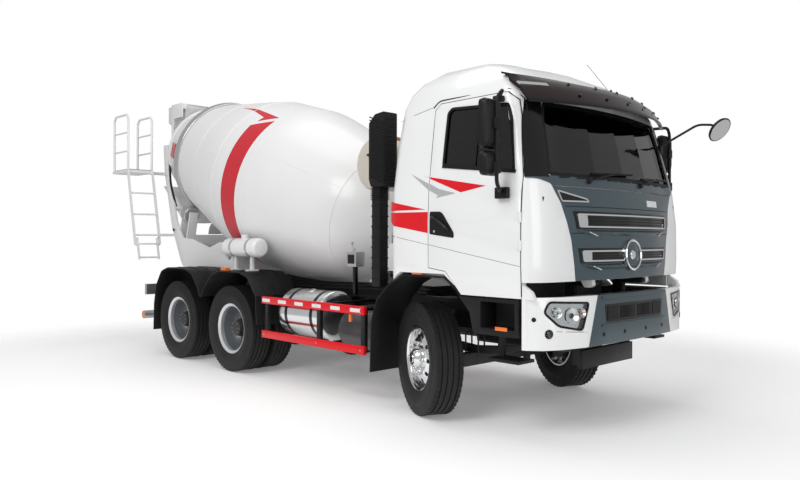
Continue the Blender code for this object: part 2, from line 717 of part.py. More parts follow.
def cab_shell():
    """Walls, roof, pillars and floor, with the openings cut, and the two ears it tilts on."""
    shell = cab_volume(0)
    inside = cab_volume(CAB_WALL, CAB_FLOOR_Z + CAB_FLOOR)
    under = cut(cab_volume(CAB_WALL, 1.05), box((-2, -3, CAB_FLOOR_Z), (2, 2, 4)))
    shell = cut(shell, inside, under)
    arch = [
        (-0.58, 1.0), (-0.58, 1.13), (-0.34, 1.318), (0.20, 1.318), (0.34, 1.23), (0.5, 1.22),
        (0.5, 1.0),
    ]
    arch = [(s, min(z, CAB_FLOOR_Z - 0.001)) for s, z in arch]
    shell = cut(shell, extruded(arch, "X", -2, 2))
    front_edge = box((-2, -2, 1.0), (2, DOOR_FRONT_S + 0.03, LID_BOTTOM_Z))
    shell = cut(shell, front_edge)
    for side in (RIGHT, LEFT):
        xs = sorted(side * x for x in (0.9, 1.5))
        wall = common(skin(-0.02, CAB_WALL + 0.005), extruded(grown(DOOR, DOOR_GAP), "X", *xs))
        shell = cut(shell, wall)
    shell = cut(shell, extruded(WINDSCREEN, "Y", -1.8, -0.8))
    raised = [(x, z + LID_TOP_PLAY if z == LID_TOP_Z else z) for x, z in LID]
    recess = common(
        skin(-0.02, LID_DEPTH + PANEL_GAP), extruded(grown(raised, PANEL_GAP), "Y", -1.8, -1.0),
    )
    shell = cut(shell, recess)
    ears = []
    for side in (RIGHT, LEFT):
        radius = 0.03
        arc = [
            (CAB_PIVOT_S - radius * math.sin(a), CAB_PIVOT_Z - radius * math.cos(a))
            for a in (math.pi * k / 6 for k in range(5))
        ]
        ear = [(CAB_PIVOT_S + 0.05, CAB_PIVOT_Z - radius)] + arc + [
            (-1.322, CAB_FLOOR_Z + 0.01), (-1.20, CAB_FLOOR_Z + 0.01), (-1.20, CAB_FLOOR_Z - 0.03),
        ]
        xs = sorted(side * x for x in (RAIL_OUTER_X + SEAT_GAP, RAIL_OUTER_X + 0.05))
        ears.append(extruded(ear, "X", *xs))
    shell = union(shell, *ears)
    named(shell, "cab_shell", WHITE_PAINT, (0, CAB_PIVOT_S, CAB_PIVOT_Z))


def door(side):
    """The cab's own side wall inside the door outline, with its window cut, and the glass in it."""
    name = "right" if side == RIGHT else "left"
    xs = sorted(side * x for x in (0.9, 1.5))
    hinge = (side * DOOR_HINGE[0], DOOR_HINGE[1], 1.6)
    panel = common(skin(0, CAB_WALL), extruded(DOOR, "X", *xs))
    panel = cut(panel, extruded(DOOR_WINDOW, "X", *xs))
    panel = cut(panel, box((-2, -3, 1.0), (2, 2, DOOR_BOTTOM_Z + 0.003)))
    for z in (1.52, 1.74):
        barrel = rod((hinge[0], hinge[1], z), (hinge[0], hinge[1], z + 0.08), 0.0088, 16)
        tab = mirrored_box(
            side, (1.238, hinge[1] + 0.003, z + 0.01), (1.256, hinge[1] + 0.03, z + 0.07),
        )
        panel = union(panel, barrel, tab)
    named(panel, f"door_{name}", WHITE_PAINT, hinge)
    pane = common(skin(0.012, 0.012 + GLASS), extruded(grown(DOOR_WINDOW, -SEAT_GAP), "X", *xs))
    named(pane, f"door_glass_{name}", TINTED_GLASS, hinge)


cab_shell()
door(RIGHT)
door(LEFT)
screen = common(skin(0.012, 0.012 + GLASS), extruded(grown(WINDSCREEN, -SEAT_GAP), "Y", -1.8, -0.8))
named(screen, "windscreen", TINTED_GLASS, (0, CAB_PIVOT_S, CAB_PIVOT_Z))
lid = common(skin(0, LID_DEPTH), extruded(LID, "Y", -1.8, -1.0))
lid = cut(lid, box((-2, -3, 1.0), (2, 2, LID_BOTTOM_Z + 0.004)))
pads = []
for pad_side in (RIGHT, LEFT):
    place = mirrored_box(
        pad_side, (0.45, -1.45, LID_BOTTOM_Z + 0.005), (0.55, -1.30, LID_BOTTOM_Z + 0.035),
    )
    pads.append(common(skin(LID_DEPTH - 0.005, LID_DEPTH + PANEL_GAP - SEAT_GAP), place))
named(union(lid, *pads), "grille_panel", GREY_PAINT, (0, LID_HINGE_S, LID_HINGE_Z))


def sun_visor():
    """A bowed shade over the windscreen, seated against the roof."""
    sections = []
    for k in range(-5, 6):
        x = 1.115 * k / 5
        bow = 0.30 * (x / 1.115) ** 2
        sections.append([
            (x, -0.86 + bow * 0.6, 2.99), (x, -1.25 + bow, 2.92), (x, -1.44 + bow, 2.72), (
                x, -1.415 + bow, 2.71,
            ),
            (x, -1.23 + bow, 2.88), (x, -0.86 + bow * 0.6, 2.90),
        ])
    shade = cut(lofted(sections), cab_volume(-SEAT_GAP * 1.5))
    named(shade, "sun_visor", BLACK_PLASTIC, (0, CAB_PIVOT_S, CAB_PIVOT_Z))


sun_visor()


def door_mirror(side):
    """Two mirror heads on one upright tube that is fixed to the door above and below."""
    name = "right" if side == RIGHT else "left"
    x0, x1 = 1.33, 1.53
    upper = mirrored_box(side, (x0, -1.06, 2.31), (x1, -0.97, 2.70), 0.02)
    lower = mirrored_box(side, (x0 + 0.01, -1.06, 2.10), (x1 - 0.01, -0.975, 2.29), 0.02)
    x = side * 1.42
    top = (side * 1.20, -0.90, 2.745)
    bottom = (side * 1.262, -0.98, 1.99)
    post = tube(
        [
            top, (side * 1.36, -1.07, 2.765), (x, -1.062, 2.70), (x, -1.062, 2.04),
            (side * 1.36, -1.05, 1.99), bottom,
        ],
        0.014,
    )
    foot = mirrored_box(side, (1.22, -1.06, 1.93), (1.29, -0.94, 2.02), 0.005)
    head_foot = mirrored_box(side, (1.12, -0.94, 2.72), (1.22, -0.86, 2.77), 0.005)
    made = union(upper, lower, post, foot, head_foot)
    made = cut(made, cab_volume(-SEAT_GAP * 1.5))
    named(made, f"mirror_{name}", BLACK_PLASTIC, (side * DOOR_HINGE[0], DOOR_HINGE[1], 1.6))


door_mirror(RIGHT)
door_mirror(LEFT)

FRONT_MIRROR = Vector((1.38, -1.60, 2.70))
mirror_head = turned(
    [(-0.03, 0.0), (-0.03, 0.06), (0.0, 0.13), (0.02, 0.13), (0.02, 0.0)], FRONT_MIRROR,
    (0.15, -0.5, 0.75), 14,
)
mirror_arm = tube(
    [
        (1.0, -1.12, 2.50), (1.10, -1.25, 2.58), (1.30, -1.52, 2.76),
        FRONT_MIRROR + Vector((0, 0.0, 0.02)),
    ],
    0.012,
)
front_mirror = cut(union(mirror_head, mirror_arm), cab_volume(-SEAT_GAP * 1.5))
named(front_mirror, "front_mirror", BLACK_PLASTIC, (0, CAB_PIVOT_S, CAB_PIVOT_Z))

FLOOR_TOP = CAB_FLOOR_Z + CAB_FLOOR + SEAT_GAP


def seat(side):
    """A base, cushion and raked back with a headrest."""
    x = side * 0.62
    half = 0.24
    base = box((x - 0.19, -0.62, FLOOR_TOP - 0.012), (x + 0.19, -0.24, FLOOR_TOP + 0.28))
    cushion = box((x - half, -0.70, FLOOR_TOP + 0.26), (x + half, -0.20, FLOOR_TOP + 0.40), 0.03)
    back = [
        (-0.30, FLOOR_TOP + 0.36), (-0.18, FLOOR_TOP + 0.36), (0.0, FLOOR_TOP + 1.02),
        (-0.10, FLOOR_TOP + 1.04),
    ]
    rest = extruded(back, "X", x - half + 0.02, x + half - 0.02)
    head = box((x - 0.13, -0.12, FLOOR_TOP + 0.99), (x + 0.13, -0.01, FLOOR_TOP + 1.19), 0.02)
    return union(base, cushion, rest, head)


def dashboard():
    """The dash across the cab with its console, the steering column and the wheel in front of the left seat."""
    outline = [(-1.30, 1.95), (-1.05, 2.06), (-0.93, 1.98), (-0.96, 1.72), (-1.10, 1.60), (-1.34, 1.60)]
    dash = extruded(outline, "X", -1.12, 1.12)
    console = box((-0.22, -1.32, FLOOR_TOP - 0.016), (0.22, -1.08, 1.65))
    column = rod((0.62, -1.05, 1.85), (0.62, -0.80, 1.98), 0.035)
    centre = Vector((0.62, -0.78, 1.99))
    axis = Vector((0, 0.86, 0.50)).normalized()
    rim = turned([(-0.015, 0.20), (0.015, 0.20), (0.015, 0.225), (-0.015, 0.225)], centre, axis, 18)
    hub = turned([(-0.03, 0.0), (-0.03, 0.06), (0.015, 0.06), (0.015, 0.0)], centre, axis, 12)
    spoke = box((0.62 - 0.21, -0.793, 1.975), (0.62 + 0.21, -0.767, 2.005))
    return union(dash, console, column, spoke, rim, hub)


tunnel = box((-0.45, -1.25, FLOOR_TOP - 0.02), (0.45, -0.26, FLOOR_TOP + 0.16))
interior = union(tunnel, seat(LEFT), seat(RIGHT), dashboard())
interior = common(interior, cab_volume(CAB_WALL + SEAT_GAP, 1.0), box((-2, -3, FLOOR_TOP), (2, 2, 4)))
named(interior, "cab_interior", SEAT_CLOTH, (0, CAB_PIVOT_S, CAB_PIVOT_Z))

# ---------------------------------------------------------------- bumper and lamps
BUMPER_BOTTOM_Z = 0.745
BUMPER_TOP_Z = 1.155
CENTRE_HALF = (0.585, 0.70)   # half width of the centre section at top and bottom


def bumper_plan():
    """The bumper's plan as (x, s), outer face then inner face, for the left half."""
    outer = [
        (0.0, -1.465), (0.45, -1.455), (0.75, -1.43), (0.98, -1.385), (1.14, -1.31), (1.225, -1.21),
        (1.235, -1.17),
    ]
    inner = [
        (1.185, -1.17), (1.15, -1.23), (1.06, -1.30), (0.92, -1.345), (0.72, -1.36), (0.45, -1.36),
        (0.0, -1.36),
    ]
    return outer, inner


def bumper_body(top):
    """The whole bumper band from wheel arch to wheel arch."""
    outer, inner = bumper_plan()
    half = outer + inner
    outline = half + [(-x, s) for x, s in reversed(half) if x > 1e-6]
    return extruded(outline, "Z", BUMPER_BOTTOM_Z, top)


centre_outline = [(-CENTRE_HALF[1], 0.5), (CENTRE_HALF[1], 0.5), (CENTRE_HALF[1], BUMPER_BOTTOM_Z), (CENTRE_HALF[0], BUMPER_TOP_Z),
                  (CENTRE_HALF[0], 1.6), (-CENTRE_HALF[0], 1.6), (-CENTRE_HALF[0], BUMPER_TOP_Z), (-CENTRE_HALF[1], BUMPER_BOTTOM_Z)]
carrier = box((-0.55, -1.365, 0.82), (0.55, FRAME_FRONT_S - 0.13, 0.96))
centre = common(bumper_body(BUMPER_TOP_Z), extruded(centre_outline, "Y", -2, -1))
named(union(centre, carrier), "bumper_centre", GREY_PAINT)

LAMP_DEPTH = 0.03
LAMP = [(0.70, 1.10), (1.10, 1.12), (1.14, 1.04), (1.02, 0.93), (0.78, 0.885)]


def bumper_corner(side):
    """A painted corner with its lamp opening, bolted to the centre section's end."""
    name = "right" if side == RIGHT else "left"
    body = cut(bumper_body(BUMPER_TOP_Z), extruded(grown(centre_outline, SEAT_GAP), "Y", -2, -1))
    half = mirrored_box(side, (0.3, -2, 0.5), (1.5, -1, 1.6))
    body = common(body, half)
    rear_top = [(-1.17, 1.25), (-1.17, 1.14), (-1.28, 1.14), (-1.25, 1.20)]
    xs = sorted(side * x for x in (1.185, 1.232))
    body = union(body, extruded(rear_top, "X", *xs))
    lamp_hole = [(side * x, z) for x, z in LAMP]
    behind = bumper_body(BUMPER_TOP_Z)
    behind.data.transform(Matrix.Translation((0, LAMP_DEPTH, 0)))
    body = cut(body, cut(extruded(lamp_hole, "Y", -1.6, -1.0), behind))
    named(body, f"bumper_corner_{name}", WHITE_PAINT)


bumper_corner(RIGHT)
bumper_corner(LEFT)

# ---------------------------------------------------------------- front fenders with steps
FENDER_X = (0.74, 1.205)
FENDER_LINE = [
    (-0.66, 0.90), (-0.62, 1.02), (-0.50, 1.15), (-0.31, 1.285), (0.20, 1.285), (0.40, 1.19),
    (0.57, 1.03), (0.65, 0.82), (0.665, 0.33),
]


def offset_line(line, distance):
    """A line of (s, z) points moved to its left by distance, point by point."""
    moved = []
    for i, point in enumerate(line):
        before = Vector(line[max(i - 1, 0)])
        after = Vector(line[min(i + 1, len(line) - 1)])
        along = (after - before).normalized()
        moved.append((point[0] - along.y * distance, point[1] + along.x * distance))
    return moved


def front_fender(side):
    """The arch over a steered wheel, its mud flap, the step box in front of it and the hanging tread."""
    name = "right" if side == RIGHT else "left"
    xs = sorted(side * x for x in FENDER_X)
    arch = extruded(FENDER_LINE + list(reversed(offset_line(FENDER_LINE, -0.014))), "X", *xs)
    step_box = [
        (-0.655, 0.85), (-0.62, 1.0), (-0.50, 1.128), (-1.13, 1.128), (-1.13, 0.83), (-0.68, 0.83),
    ]
    box_x = sorted(side * x for x in (0.85, 1.222))
    steps = extruded(step_box, "X", *box_x)
    steps = cut(steps, mirrored_box(side, (1.02, -1.09, 0.885), (1.30, -0.74, 1.10)))
    tread = mirrored_box(side, (1.0, -1.12, 0.62), (1.21, -0.80, 0.645))
    legs = [mirrored_box(side, (1.04, s, 0.63), (1.07, s + 0.05, 0.86)) for s in (-1.11, -0.86)]
    arm = mirrored_box(side, (RAIL_OUTER_X + SEAT_GAP, -1.00, 0.85), (0.90, -0.92, 0.93))
    made = union(arch, steps, arm, *legs)
    flap_arm = mirrored_box(side, (RAIL_OUTER_X + SEAT_GAP, 0.648, 0.70), (1.0, 0.70, 0.76))
    made = union(made, tread, flap_arm)
    named(made, f"front_fender_{name}", WHITE_PAINT)


front_fender(RIGHT)
front_fender(LEFT)

# ---------------------------------------------------------------- rear fenders, guards and boxes
FENDER_TOP_Z = 1.215
REAR_FENDER_LINE = [
    (2.585, 0.62), (2.61, 0.95), (2.79, 1.16), (2.97, 1.215), (3.44, 1.215), (3.64, 1.16), (3.83, 0.98), (
        3.88, 0.88,
    ),
    (3.93, 0.88), (3.98, 0.98), (4.15, 1.16), (4.34, 1.215), (4.82, 1.215), (5.01, 1.16), (5.17, 0.95), (5.235, 0.70), (
        5.25, 0.33,
    ),
]
REAR_FENDER_X = (0.66, 1.248)


def rear_fenders(side):
    """Two arches in one piece over the twin wheels, on an arm from the frame."""
    name = "right" if side == RIGHT else "left"
    xs = sorted(side * x for x in REAR_FENDER_X)
    arches = extruded(
        REAR_FENDER_LINE + list(reversed(offset_line(REAR_FENDER_LINE, -0.014))), "X", *xs
    )
    arm = mirrored_box(side, (RAIL_OUTER_X + SEAT_GAP, 3.87, 0.91), (0.72, 3.94, 0.97))
    post = mirrored_box(side, (0.67, 3.875, 0.86), (0.73, 3.935, 0.96))
    rear_arm = mirrored_box(side, (RAIL_OUTER_X + SEAT_GAP, 5.21, 0.78), (0.70, 5.27, 0.84))
    named(union(arches, arm, post, rear_arm), f"rear_fenders_{name}", BLACK_PLASTIC)


rear_fenders(RIGHT)
rear_fenders(LEFT)

GUARD_S = (0.71, 2.49)
GUARD_POSTS = (0.76, 1.47, 2.44)


def side_guard(side):
    """Two folded rails on three hangers from the frame."""
    name = "right" if side == RIGHT else "left"
    rails = [
        mirrored_box(side, (1.205, GUARD_S[0], z), (1.242, GUARD_S[1], z + 0.08)) for z in (0.875, 0.49)
    ]
    posts = [mirrored_box(side, (1.17, s - 0.03, 0.50), (1.21, s + 0.03, 0.945)) for s in GUARD_POSTS]
    arms = [
        mirrored_box(side, (RAIL_OUTER_X + SEAT_GAP, s - 0.022, 0.912), (1.18, s + 0.022, 0.94))
        for s in GUARD_POSTS
    ]
    named(union(rails[0], *posts, *arms, rails[1]), f"side_guard_{name}", RED_PAINT)


side_guard(RIGHT)
side_guard(LEFT)

TANK_R = 0.27
TANK_Z = 0.775
TANK_X = 0.86
tank = turned([(0, 0), (0, 0.2), (0.03, TANK_R - 0.02), (0.06, TANK_R), (0.74, TANK_R), (0.77, TANK_R - 0.02), (0.80, 0.2), (0.80, 0)],
              (-TANK_X, 1.56, TANK_Z), (0, 1, 0), 24)
cradles = [box((-0.86, s, 0.56), (-RAIL_OUTER_X - SEAT_GAP, s + 0.07, 0.84)) for s in (1.68, 2.18)]
named(union(tank, *cradles), "fuel_tank", ALLOY)

silencer = turned(
    [(0, 0), (0, 0.17), (0.02, 0.205), (0.54, 0.205), (0.56, 0.17), (0.56, 0)], (-0.82, 0.83, 0.66),
    (0, 1, 0), 20,
)
hangers = [box((-0.80, s, 0.74), (-RAIL_OUTER_X - SEAT_GAP, s + 0.05, 0.90)) for s in (0.95, 1.25)]
tail_pipe = rod((-0.82, 0.80, 0.60), (-0.82, 0.90, 0.60), 0.06, 10)
named(union(silencer, tail_pipe, *hangers), "exhaust_silencer", STEEL)

battery = box((0.50, 0.83, 0.55), (1.12, 1.40, 0.97), 0.015)
air_tank = turned(
    [(0, 0), (0, 0.13), (0.04, 0.165), (1.01, 0.165), (1.05, 0.13), (1.05, 0)], (0.84, 1.38, 0.74),
    (0, 1, 0), 16,
)
battery_arms = [
    box((RAIL_OUTER_X + SEAT_GAP, s, 0.76), (0.84, s + 0.06, 0.84)) for s in (1.10, 1.70, 2.20)
]
named(union(battery, air_tank, *battery_arms), "battery_and_air_tank", BLACK_PLASTIC)

UNDERRUN_S = 5.70
bar = rod((-1.19, UNDERRUN_S, 0.50), (1.19, UNDERRUN_S, 0.50), 0.058, 12)
drops = [
    mirrored_box(side, (0.375, FRAME_REAR_S + SEAT_GAP, 0.48), (0.42, UNDERRUN_S + 0.01, 0.90))
    for side in (RIGHT, LEFT)
]
lamp_beams = [
    mirrored_box(side, (0.40, FRAME_REAR_S + 0.02, 0.80), (1.20, FRAME_REAR_S + 0.08, 0.95))
    for side in (RIGHT, LEFT)
]
named(union(bar, *drops, *lamp_beams), "rear_underrun", STEEL)

# ---------------------------------------------------------------- air intake behind the cab
intake_head = extruded(
    [(0.46, 2.82), (0.66, 2.82), (0.69, 2.72), (0.69, 2.18), (0.66, 2.10), (0.46, 2.10)], "X",
    -1.22, -1.03,
)
intake_pipe = box((-1.18, 0.55, 1.12), (-1.06, 0.68, 2.15), 0.015)
intake_arm = box((-1.10, 0.60, 1.12), (-0.375, 0.66, 1.18))
intake_foot = box((-0.42, 0.60, RAIL_TOP_Z + SEAT_GAP), (-0.375, 0.66, 1.15))
named(union(intake_head, intake_pipe, intake_arm, intake_foot), "air_intake", BLACK_PLASTIC)

# ---------------------------------------------------------------- mixer: drum and its drive
TILT = math.radians(DRUM_TILT)
DRUM_AXIS = Vector((0, math.cos(TILT), math.sin(TILT)))
DRUM_DOWN = Vector((0, math.sin(TILT), -math.cos(TILT)))
DRUM_START = Vector((0, DRUM_S, DRUM_Z))
FLANGE_AT = -0.50
MOUTH_AT = 4.30
MOUTH_RADIUS = 0.68
FRONT_SEAM_RADIUS = 0.80
WIDEST_AT = (1.40, 2.15)


def on_axis(along):
    """A point on the drum's axis, measured from its front seam."""
    return DRUM_START + DRUM_AXIS * along


half_ring = RING_WIDTH / 2
outer_skin = [
    (FLANGE_AT - 0.03, 0.0), (FLANGE_AT - 0.03, 0.33), (FLANGE_AT, 0.36), (FLANGE_AT * 0.45, 0.60), (
        0.0, FRONT_SEAM_RADIUS,
    ),
    (WIDEST_AT[0], DRUM_RADIUS), (WIDEST_AT[1], DRUM_RADIUS), (RING_AT - half_ring, 0.865), (
        RING_AT - half_ring, RING_RADIUS,
    ),
    (RING_AT + half_ring, RING_RADIUS), (RING_AT + half_ring, 0.85), (
        MOUTH_AT - 0.03, MOUTH_RADIUS + 0.005,
    ),
    (MOUTH_AT - 0.03, MOUTH_RADIUS + 0.02), (MOUTH_AT, MOUTH_RADIUS + 0.02),
]
inner_skin = [
    (MOUTH_AT, MOUTH_RADIUS - DRUM_WALL), (RING_AT + half_ring, 0.85 - DRUM_WALL), (
        RING_AT - half_ring, 0.865 - DRUM_WALL,
    ),
    (WIDEST_AT[1], DRUM_RADIUS - DRUM_WALL), (WIDEST_AT[0], DRUM_RADIUS - DRUM_WALL), (
        0.0, FRONT_SEAM_RADIUS - DRUM_WALL,
    ),
    (FLANGE_AT * 0.45, 0.60 - DRUM_WALL), (FLANGE_AT + 0.02, 0.34), (FLANGE_AT + 0.02, 0.0),
]
drum = turned(outer_skin + inner_skin, DRUM_START, DRUM_AXIS, DRUM_SIDES)
named(drum, "drum", DRUM_PAINT, DRUM_START)

REDUCER_BACK = -0.92
reducer_profile = [(REDUCER_BACK - 0.22, 0.0), (REDUCER_BACK - 0.22, 0.10), (REDUCER_BACK, 0.11), (REDUCER_BACK, 0.20),
                   (REDUCER_BACK + 0.06, 0.24), (-0.62, 0.24), (-0.60, 0.28), (
                       FLANGE_AT - 0.03 - SEAT_GAP, 0.28,
                   ),
                   (FLANGE_AT - 0.03 - SEAT_GAP, 0.0)]
named(turned(reducer_profile, DRUM_START, DRUM_AXIS, 20), "drum_gearbox", IRON)

# Front pedestal: a plated stand for the gearbox and two posts for the water tank.
WATER_TANK = Vector((0, 0.95, 2.37))
WATER_TANK_RADIUS = 0.27
WATER_TANK_HALF = 0.95
STAND_BASE_Z = SUBFRAME_TOP_Z + SEAT_GAP
stand_side = [(0.80, STAND_BASE_Z), (1.62, STAND_BASE_Z), (1.25, 1.56), (0.90, 1.50)]
stand = extruded(stand_side, "X", -0.40, 0.40)
stand = cut(stand, extruded([(1.02, 1.0), (1.42, 1.0), (1.30, 1.26), (1.04, 1.26)], "X", -0.6, 0.6))
stand = cut(stand, box((-0.37, 0.84, 1.0), (0.37, 1.40, 1.30)))
stand = cut(stand, turned([(-1.3, 0.0), (-1.3, 0.24 + SEAT_GAP), (-0.62, 0.24 + SEAT_GAP), (-0.60, 0.29), (-0.45, 0.29), (-0.45, 0.0)],
                          DRUM_START, DRUM_AXIS, 20))
stand = cut(
    stand,
    turned([(-0.55, 0.0), (-0.55, 0.45), (0.2, 0.95), (0.2, 0.0)], DRUM_START, DRUM_AXIS, 20),
)
posts = []
for side in (RIGHT, LEFT):
    posts.append(mirrored_box(side, (0.36, 0.80, STAND_BASE_Z), (0.42, 0.88, 2.30)))
    posts.append(mirrored_box(side, (0.34, 0.78, 2.05), (0.44, 1.12, 2.17)))
    posts.append(mirrored_box(side, (0.36, 0.80, STAND_BASE_Z), (0.42, 0.95, STAND_BASE_Z + 0.1)))
tank_bed = turned(
    [(-1, 0), (-1, WATER_TANK_RADIUS + SEAT_GAP), (1, WATER_TANK_RADIUS + SEAT_GAP), (1, 0)],
    WATER_TANK, (1, 0, 0), 24,
)
stand = cut(union(stand, *posts), tank_bed)
named(stand, "front_pedestal", WHITE_PAINT)

end_profile = [
    (-WATER_TANK_HALF, 0.0), (-WATER_TANK_HALF + 0.01, 0.12), (-WATER_TANK_HALF + 0.04, 0.215),
    (-WATER_TANK_HALF + 0.09, WATER_TANK_RADIUS),
]
tank_profile = end_profile + [(-a, r) for a, r in reversed(end_profile)]
named(turned(tank_profile, WATER_TANK, (1, 0, 0), 24), "water_tank", WHITE_PAINT)

# ---------------------------------------------------------------- mixer: rear pedestal and rollers
ROLLER_HALF = 0.07
ROLLER_SHAFT = 0.035
EAR_AT = 0.10
SIDE_PLATE_X = (0.60, 0.635)


def roller_centre(side):
    """Where a support roller's middle is, touching the ring from below."""
    angle = math.radians(ROLLER_ANGLE)
    reach = RING_RADIUS + ROLLER_RADIUS + ROLLER_GAP
    return on_axis(RING_AT) + Vector(
        (side * math.sin(angle) * reach, 0, 0)
    ) + DRUM_DOWN * math.cos(angle) * reach


def roller(side):
    name = "right" if side == RIGHT else "left"
    centre = roller_centre(side)
    end = EAR_AT - SEAT_GAP
    profile = [(-end, 0.0), (-end, ROLLER_SHAFT), (-ROLLER_HALF, ROLLER_SHAFT), (-ROLLER_HALF, ROLLER_RADIUS - 0.01),
               (-ROLLER_HALF + 0.01, ROLLER_RADIUS), (ROLLER_HALF - 0.01, ROLLER_RADIUS), (
                   ROLLER_HALF, ROLLER_RADIUS - 0.01,
               ),
               (ROLLER_HALF, ROLLER_SHAFT), (end, ROLLER_SHAFT), (end, 0.0)]
    named(turned(profile, centre, DRUM_AXIS, 24), f"support_roller_{name}", STEEL, centre)


roller(RIGHT)
roller(LEFT)

plate_outline = [
    (4.12, STAND_BASE_Z), (5.50, STAND_BASE_Z), (5.66, 1.28), (5.95, 1.79), (6.20, 2.64), (6.24, 3.06), (
        6.10, 3.06,
    ),
    (6.085, 2.64), (5.80, 1.86), (5.60, 1.62), (5.30, 1.60), (4.80, 1.48), (4.50, 1.56), (4.36, 1.56), (
        4.12, 1.28,
    ),
]
HOPPER_HINGE = (5.86, 3.66)
COLLECTOR_TOP_Z = 2.26
CHUTE_PIVOT_S = 6.33
PIVOT_TOP_Z = 1.34


def rear_pedestal():
    """Two side plates with cross plates, roller ears, the collector under the mouth and the chute's bearing arm."""
    xs = SIDE_PLATE_X
    body = box((-xs[1] + 0.01, 4.14, STAND_BASE_Z), (xs[1] - 0.01, 5.49, STAND_BASE_Z + 0.03))
    parts = [extruded(plate_outline, "X", *sorted(side * x for x in xs)) for side in (RIGHT, LEFT)]
    parts.append(box((-xs[0] - 0.01, 5.40, 1.50), (xs[0] + 0.01, 5.66, 1.58)))
    parts.append(box((-xs[0] - 0.01, 4.36, STAND_BASE_Z + 0.01), (xs[0] + 0.01, 4.39, 1.36)))
    parts.append(box((-xs[0] - 0.01, 5.42, STAND_BASE_Z + 0.01), (xs[0] + 0.01, 5.45, 1.55)))
    parts.append(box((-xs[0] - 0.01, 6.15, 2.97), (xs[0] + 0.01, 6.22, 3.05)))
    for side in (RIGHT, LEFT):
        for way in (-1, 1):
            parts.append(roller_ear(side, way))
        parts.append(mirrored_box(side, (0.505, 5.85, 3.48), (0.525, 6.20, 3.70)))
        parts.append(mirrored_box(side, (0.505, 6.12, 2.98), (0.525, 6.20, 3.55)))
    parts.append(box((-0.08, 5.43, 1.20), (0.08, CHUTE_PIVOT_S - 0.03, 1.28)))
    parts.append(rod((0, CHUTE_PIVOT_S, 1.14), (0, CHUTE_PIVOT_S, PIVOT_TOP_Z), 0.075, 14))
    body = union(body, *parts)
    hole = [
        (4.26 + 0.07 * math.cos(a), 1.38 + 0.07 * math.sin(a))
        for a in (2 * math.pi * k / 12 for k in range(12))
    ]
    return cut(body, extruded(hole, "X", -1, 1))


def roller_ear(side, way):
    """One upright plate that carries an end of a roller's shaft."""
    centre = roller_centre(side) + DRUM_AXIS * (way * (EAR_AT + 0.0125))
    ear = box((-0.07, -0.0125, -0.60), (0.07, 0.0125, 0.055))
    ear.data.transform(Matrix.Translation(centre) @ Matrix.Rotation(TILT, 4, "X"))
    below = box((-2, 3, 0), (2, 8, 1.52))
    return cut(ear, below)


def funnel_walls(bottom, top, wall):
    """A four-sided funnel open at both ends. Each end is (half width, front, rear, front height, rear height)."""
    def ring(share, grow):
        half_x, front, rear, z_front, z_rear = [a + (b - a) * share for a, b in zip(bottom, top)]
        return [(-half_x - grow, front - grow, z_front), (half_x + grow, front - grow, z_front),
                (half_x + grow, rear + grow, z_rear), (-half_x - grow, rear + grow, z_rear)]

    return lofted([ring(0, wall), ring(1, wall)]), lofted([ring(-0.15, 0), ring(1.15, 0)])


def collector():
    """A funnel that takes the concrete from the drum's mouth down to the chute, on two stays."""
    shell, inside = funnel_walls(
        (0.17, 6.24, 6.44, 1.86, 1.86), (0.42, 6.20, 6.66, COLLECTOR_TOP_Z, COLLECTOR_TOP_Z + 0.2),
        0.01,
    )
    cross_bar = box((-SIDE_PLATE_X[1] + 0.01, 5.90, 2.04), (SIDE_PLATE_X[1] - 0.01, 6.02, 2.07))
    tongue = box((-0.15, 6.01, 2.045), (0.15, 6.25, 2.065))
    return cut(union(shell, cross_bar, tongue), inside)


named(union(rear_pedestal(), collector()), "rear_pedestal", WHITE_PAINT)

# ---------------------------------------------------------------- mixer: hopper and discharge chutes
def hopper():
    """A deep charging hopper: an upright band over a funnel that leans into the drum's mouth."""
    funnel, throat = funnel_walls((0.20, 6.00, 6.16, 3.10, 3.10), (0.44, 5.90, 6.44, 3.46, 3.46), 0.01)
    band = box((-0.45, 5.89, 3.455), (0.45, 6.45, 3.70))
    well = box((-0.44, 5.90, 3.46), (0.44, 6.44, 3.80))
    throat = cut(throat, box((-2, 4, 3.4601), (2, 8, 5)))
    shell = cut(union(band, funnel), well, throat)
    lugs = [mirrored_box(side, (0.445, HOPPER_HINGE[0] - 0.02, HOPPER_HINGE[1] - 0.05),
                         (0.505 - SEAT_GAP, HOPPER_HINGE[0] + 0.10, HOPPER_HINGE[1] + 0.02)) for side in (RIGHT, LEFT)]
    named(union(shell, *lugs), "loading_hopper", WHITE_PAINT, (0, *HOPPER_HINGE))


hopper()

CHUTE_RADIUS = 0.21
CHUTE_WALL = 0.006
CHUTE_FLOOR_Z = 1.46
CHUTE_END_X = 1.14
TILT_PIN = (0.13, 1.50)
FOLD_PIN = (CHUTE_END_X - 0.004, 1.676)   # x and z of the fold hinge, at the corner where the two troughs meet


def half_pipe(start, end, floor_z, opening_up):
    """A trough along X: its round floor at floor_z, with straight lips to the level of its axis."""
    turn = 1 if opening_up else -1
    outer, inner = [], []
    for k in range(9):
        angle = math.pi * k / 8
        outer.append(
            (
                CHUTE_PIVOT_S + math.cos(angle) * CHUTE_RADIUS,
                floor_z + turn * CHUTE_RADIUS * (1 - math.sin(angle)),
            )
        )
        r = CHUTE_RADIUS - CHUTE_WALL
        inner.append(
            (CHUTE_PIVOT_S + math.cos(angle) * r, floor_z + turn * (CHUTE_RADIUS - r * math.sin(angle)))
        )
    return extruded(outer + list(reversed(inner)), "X", start, end)


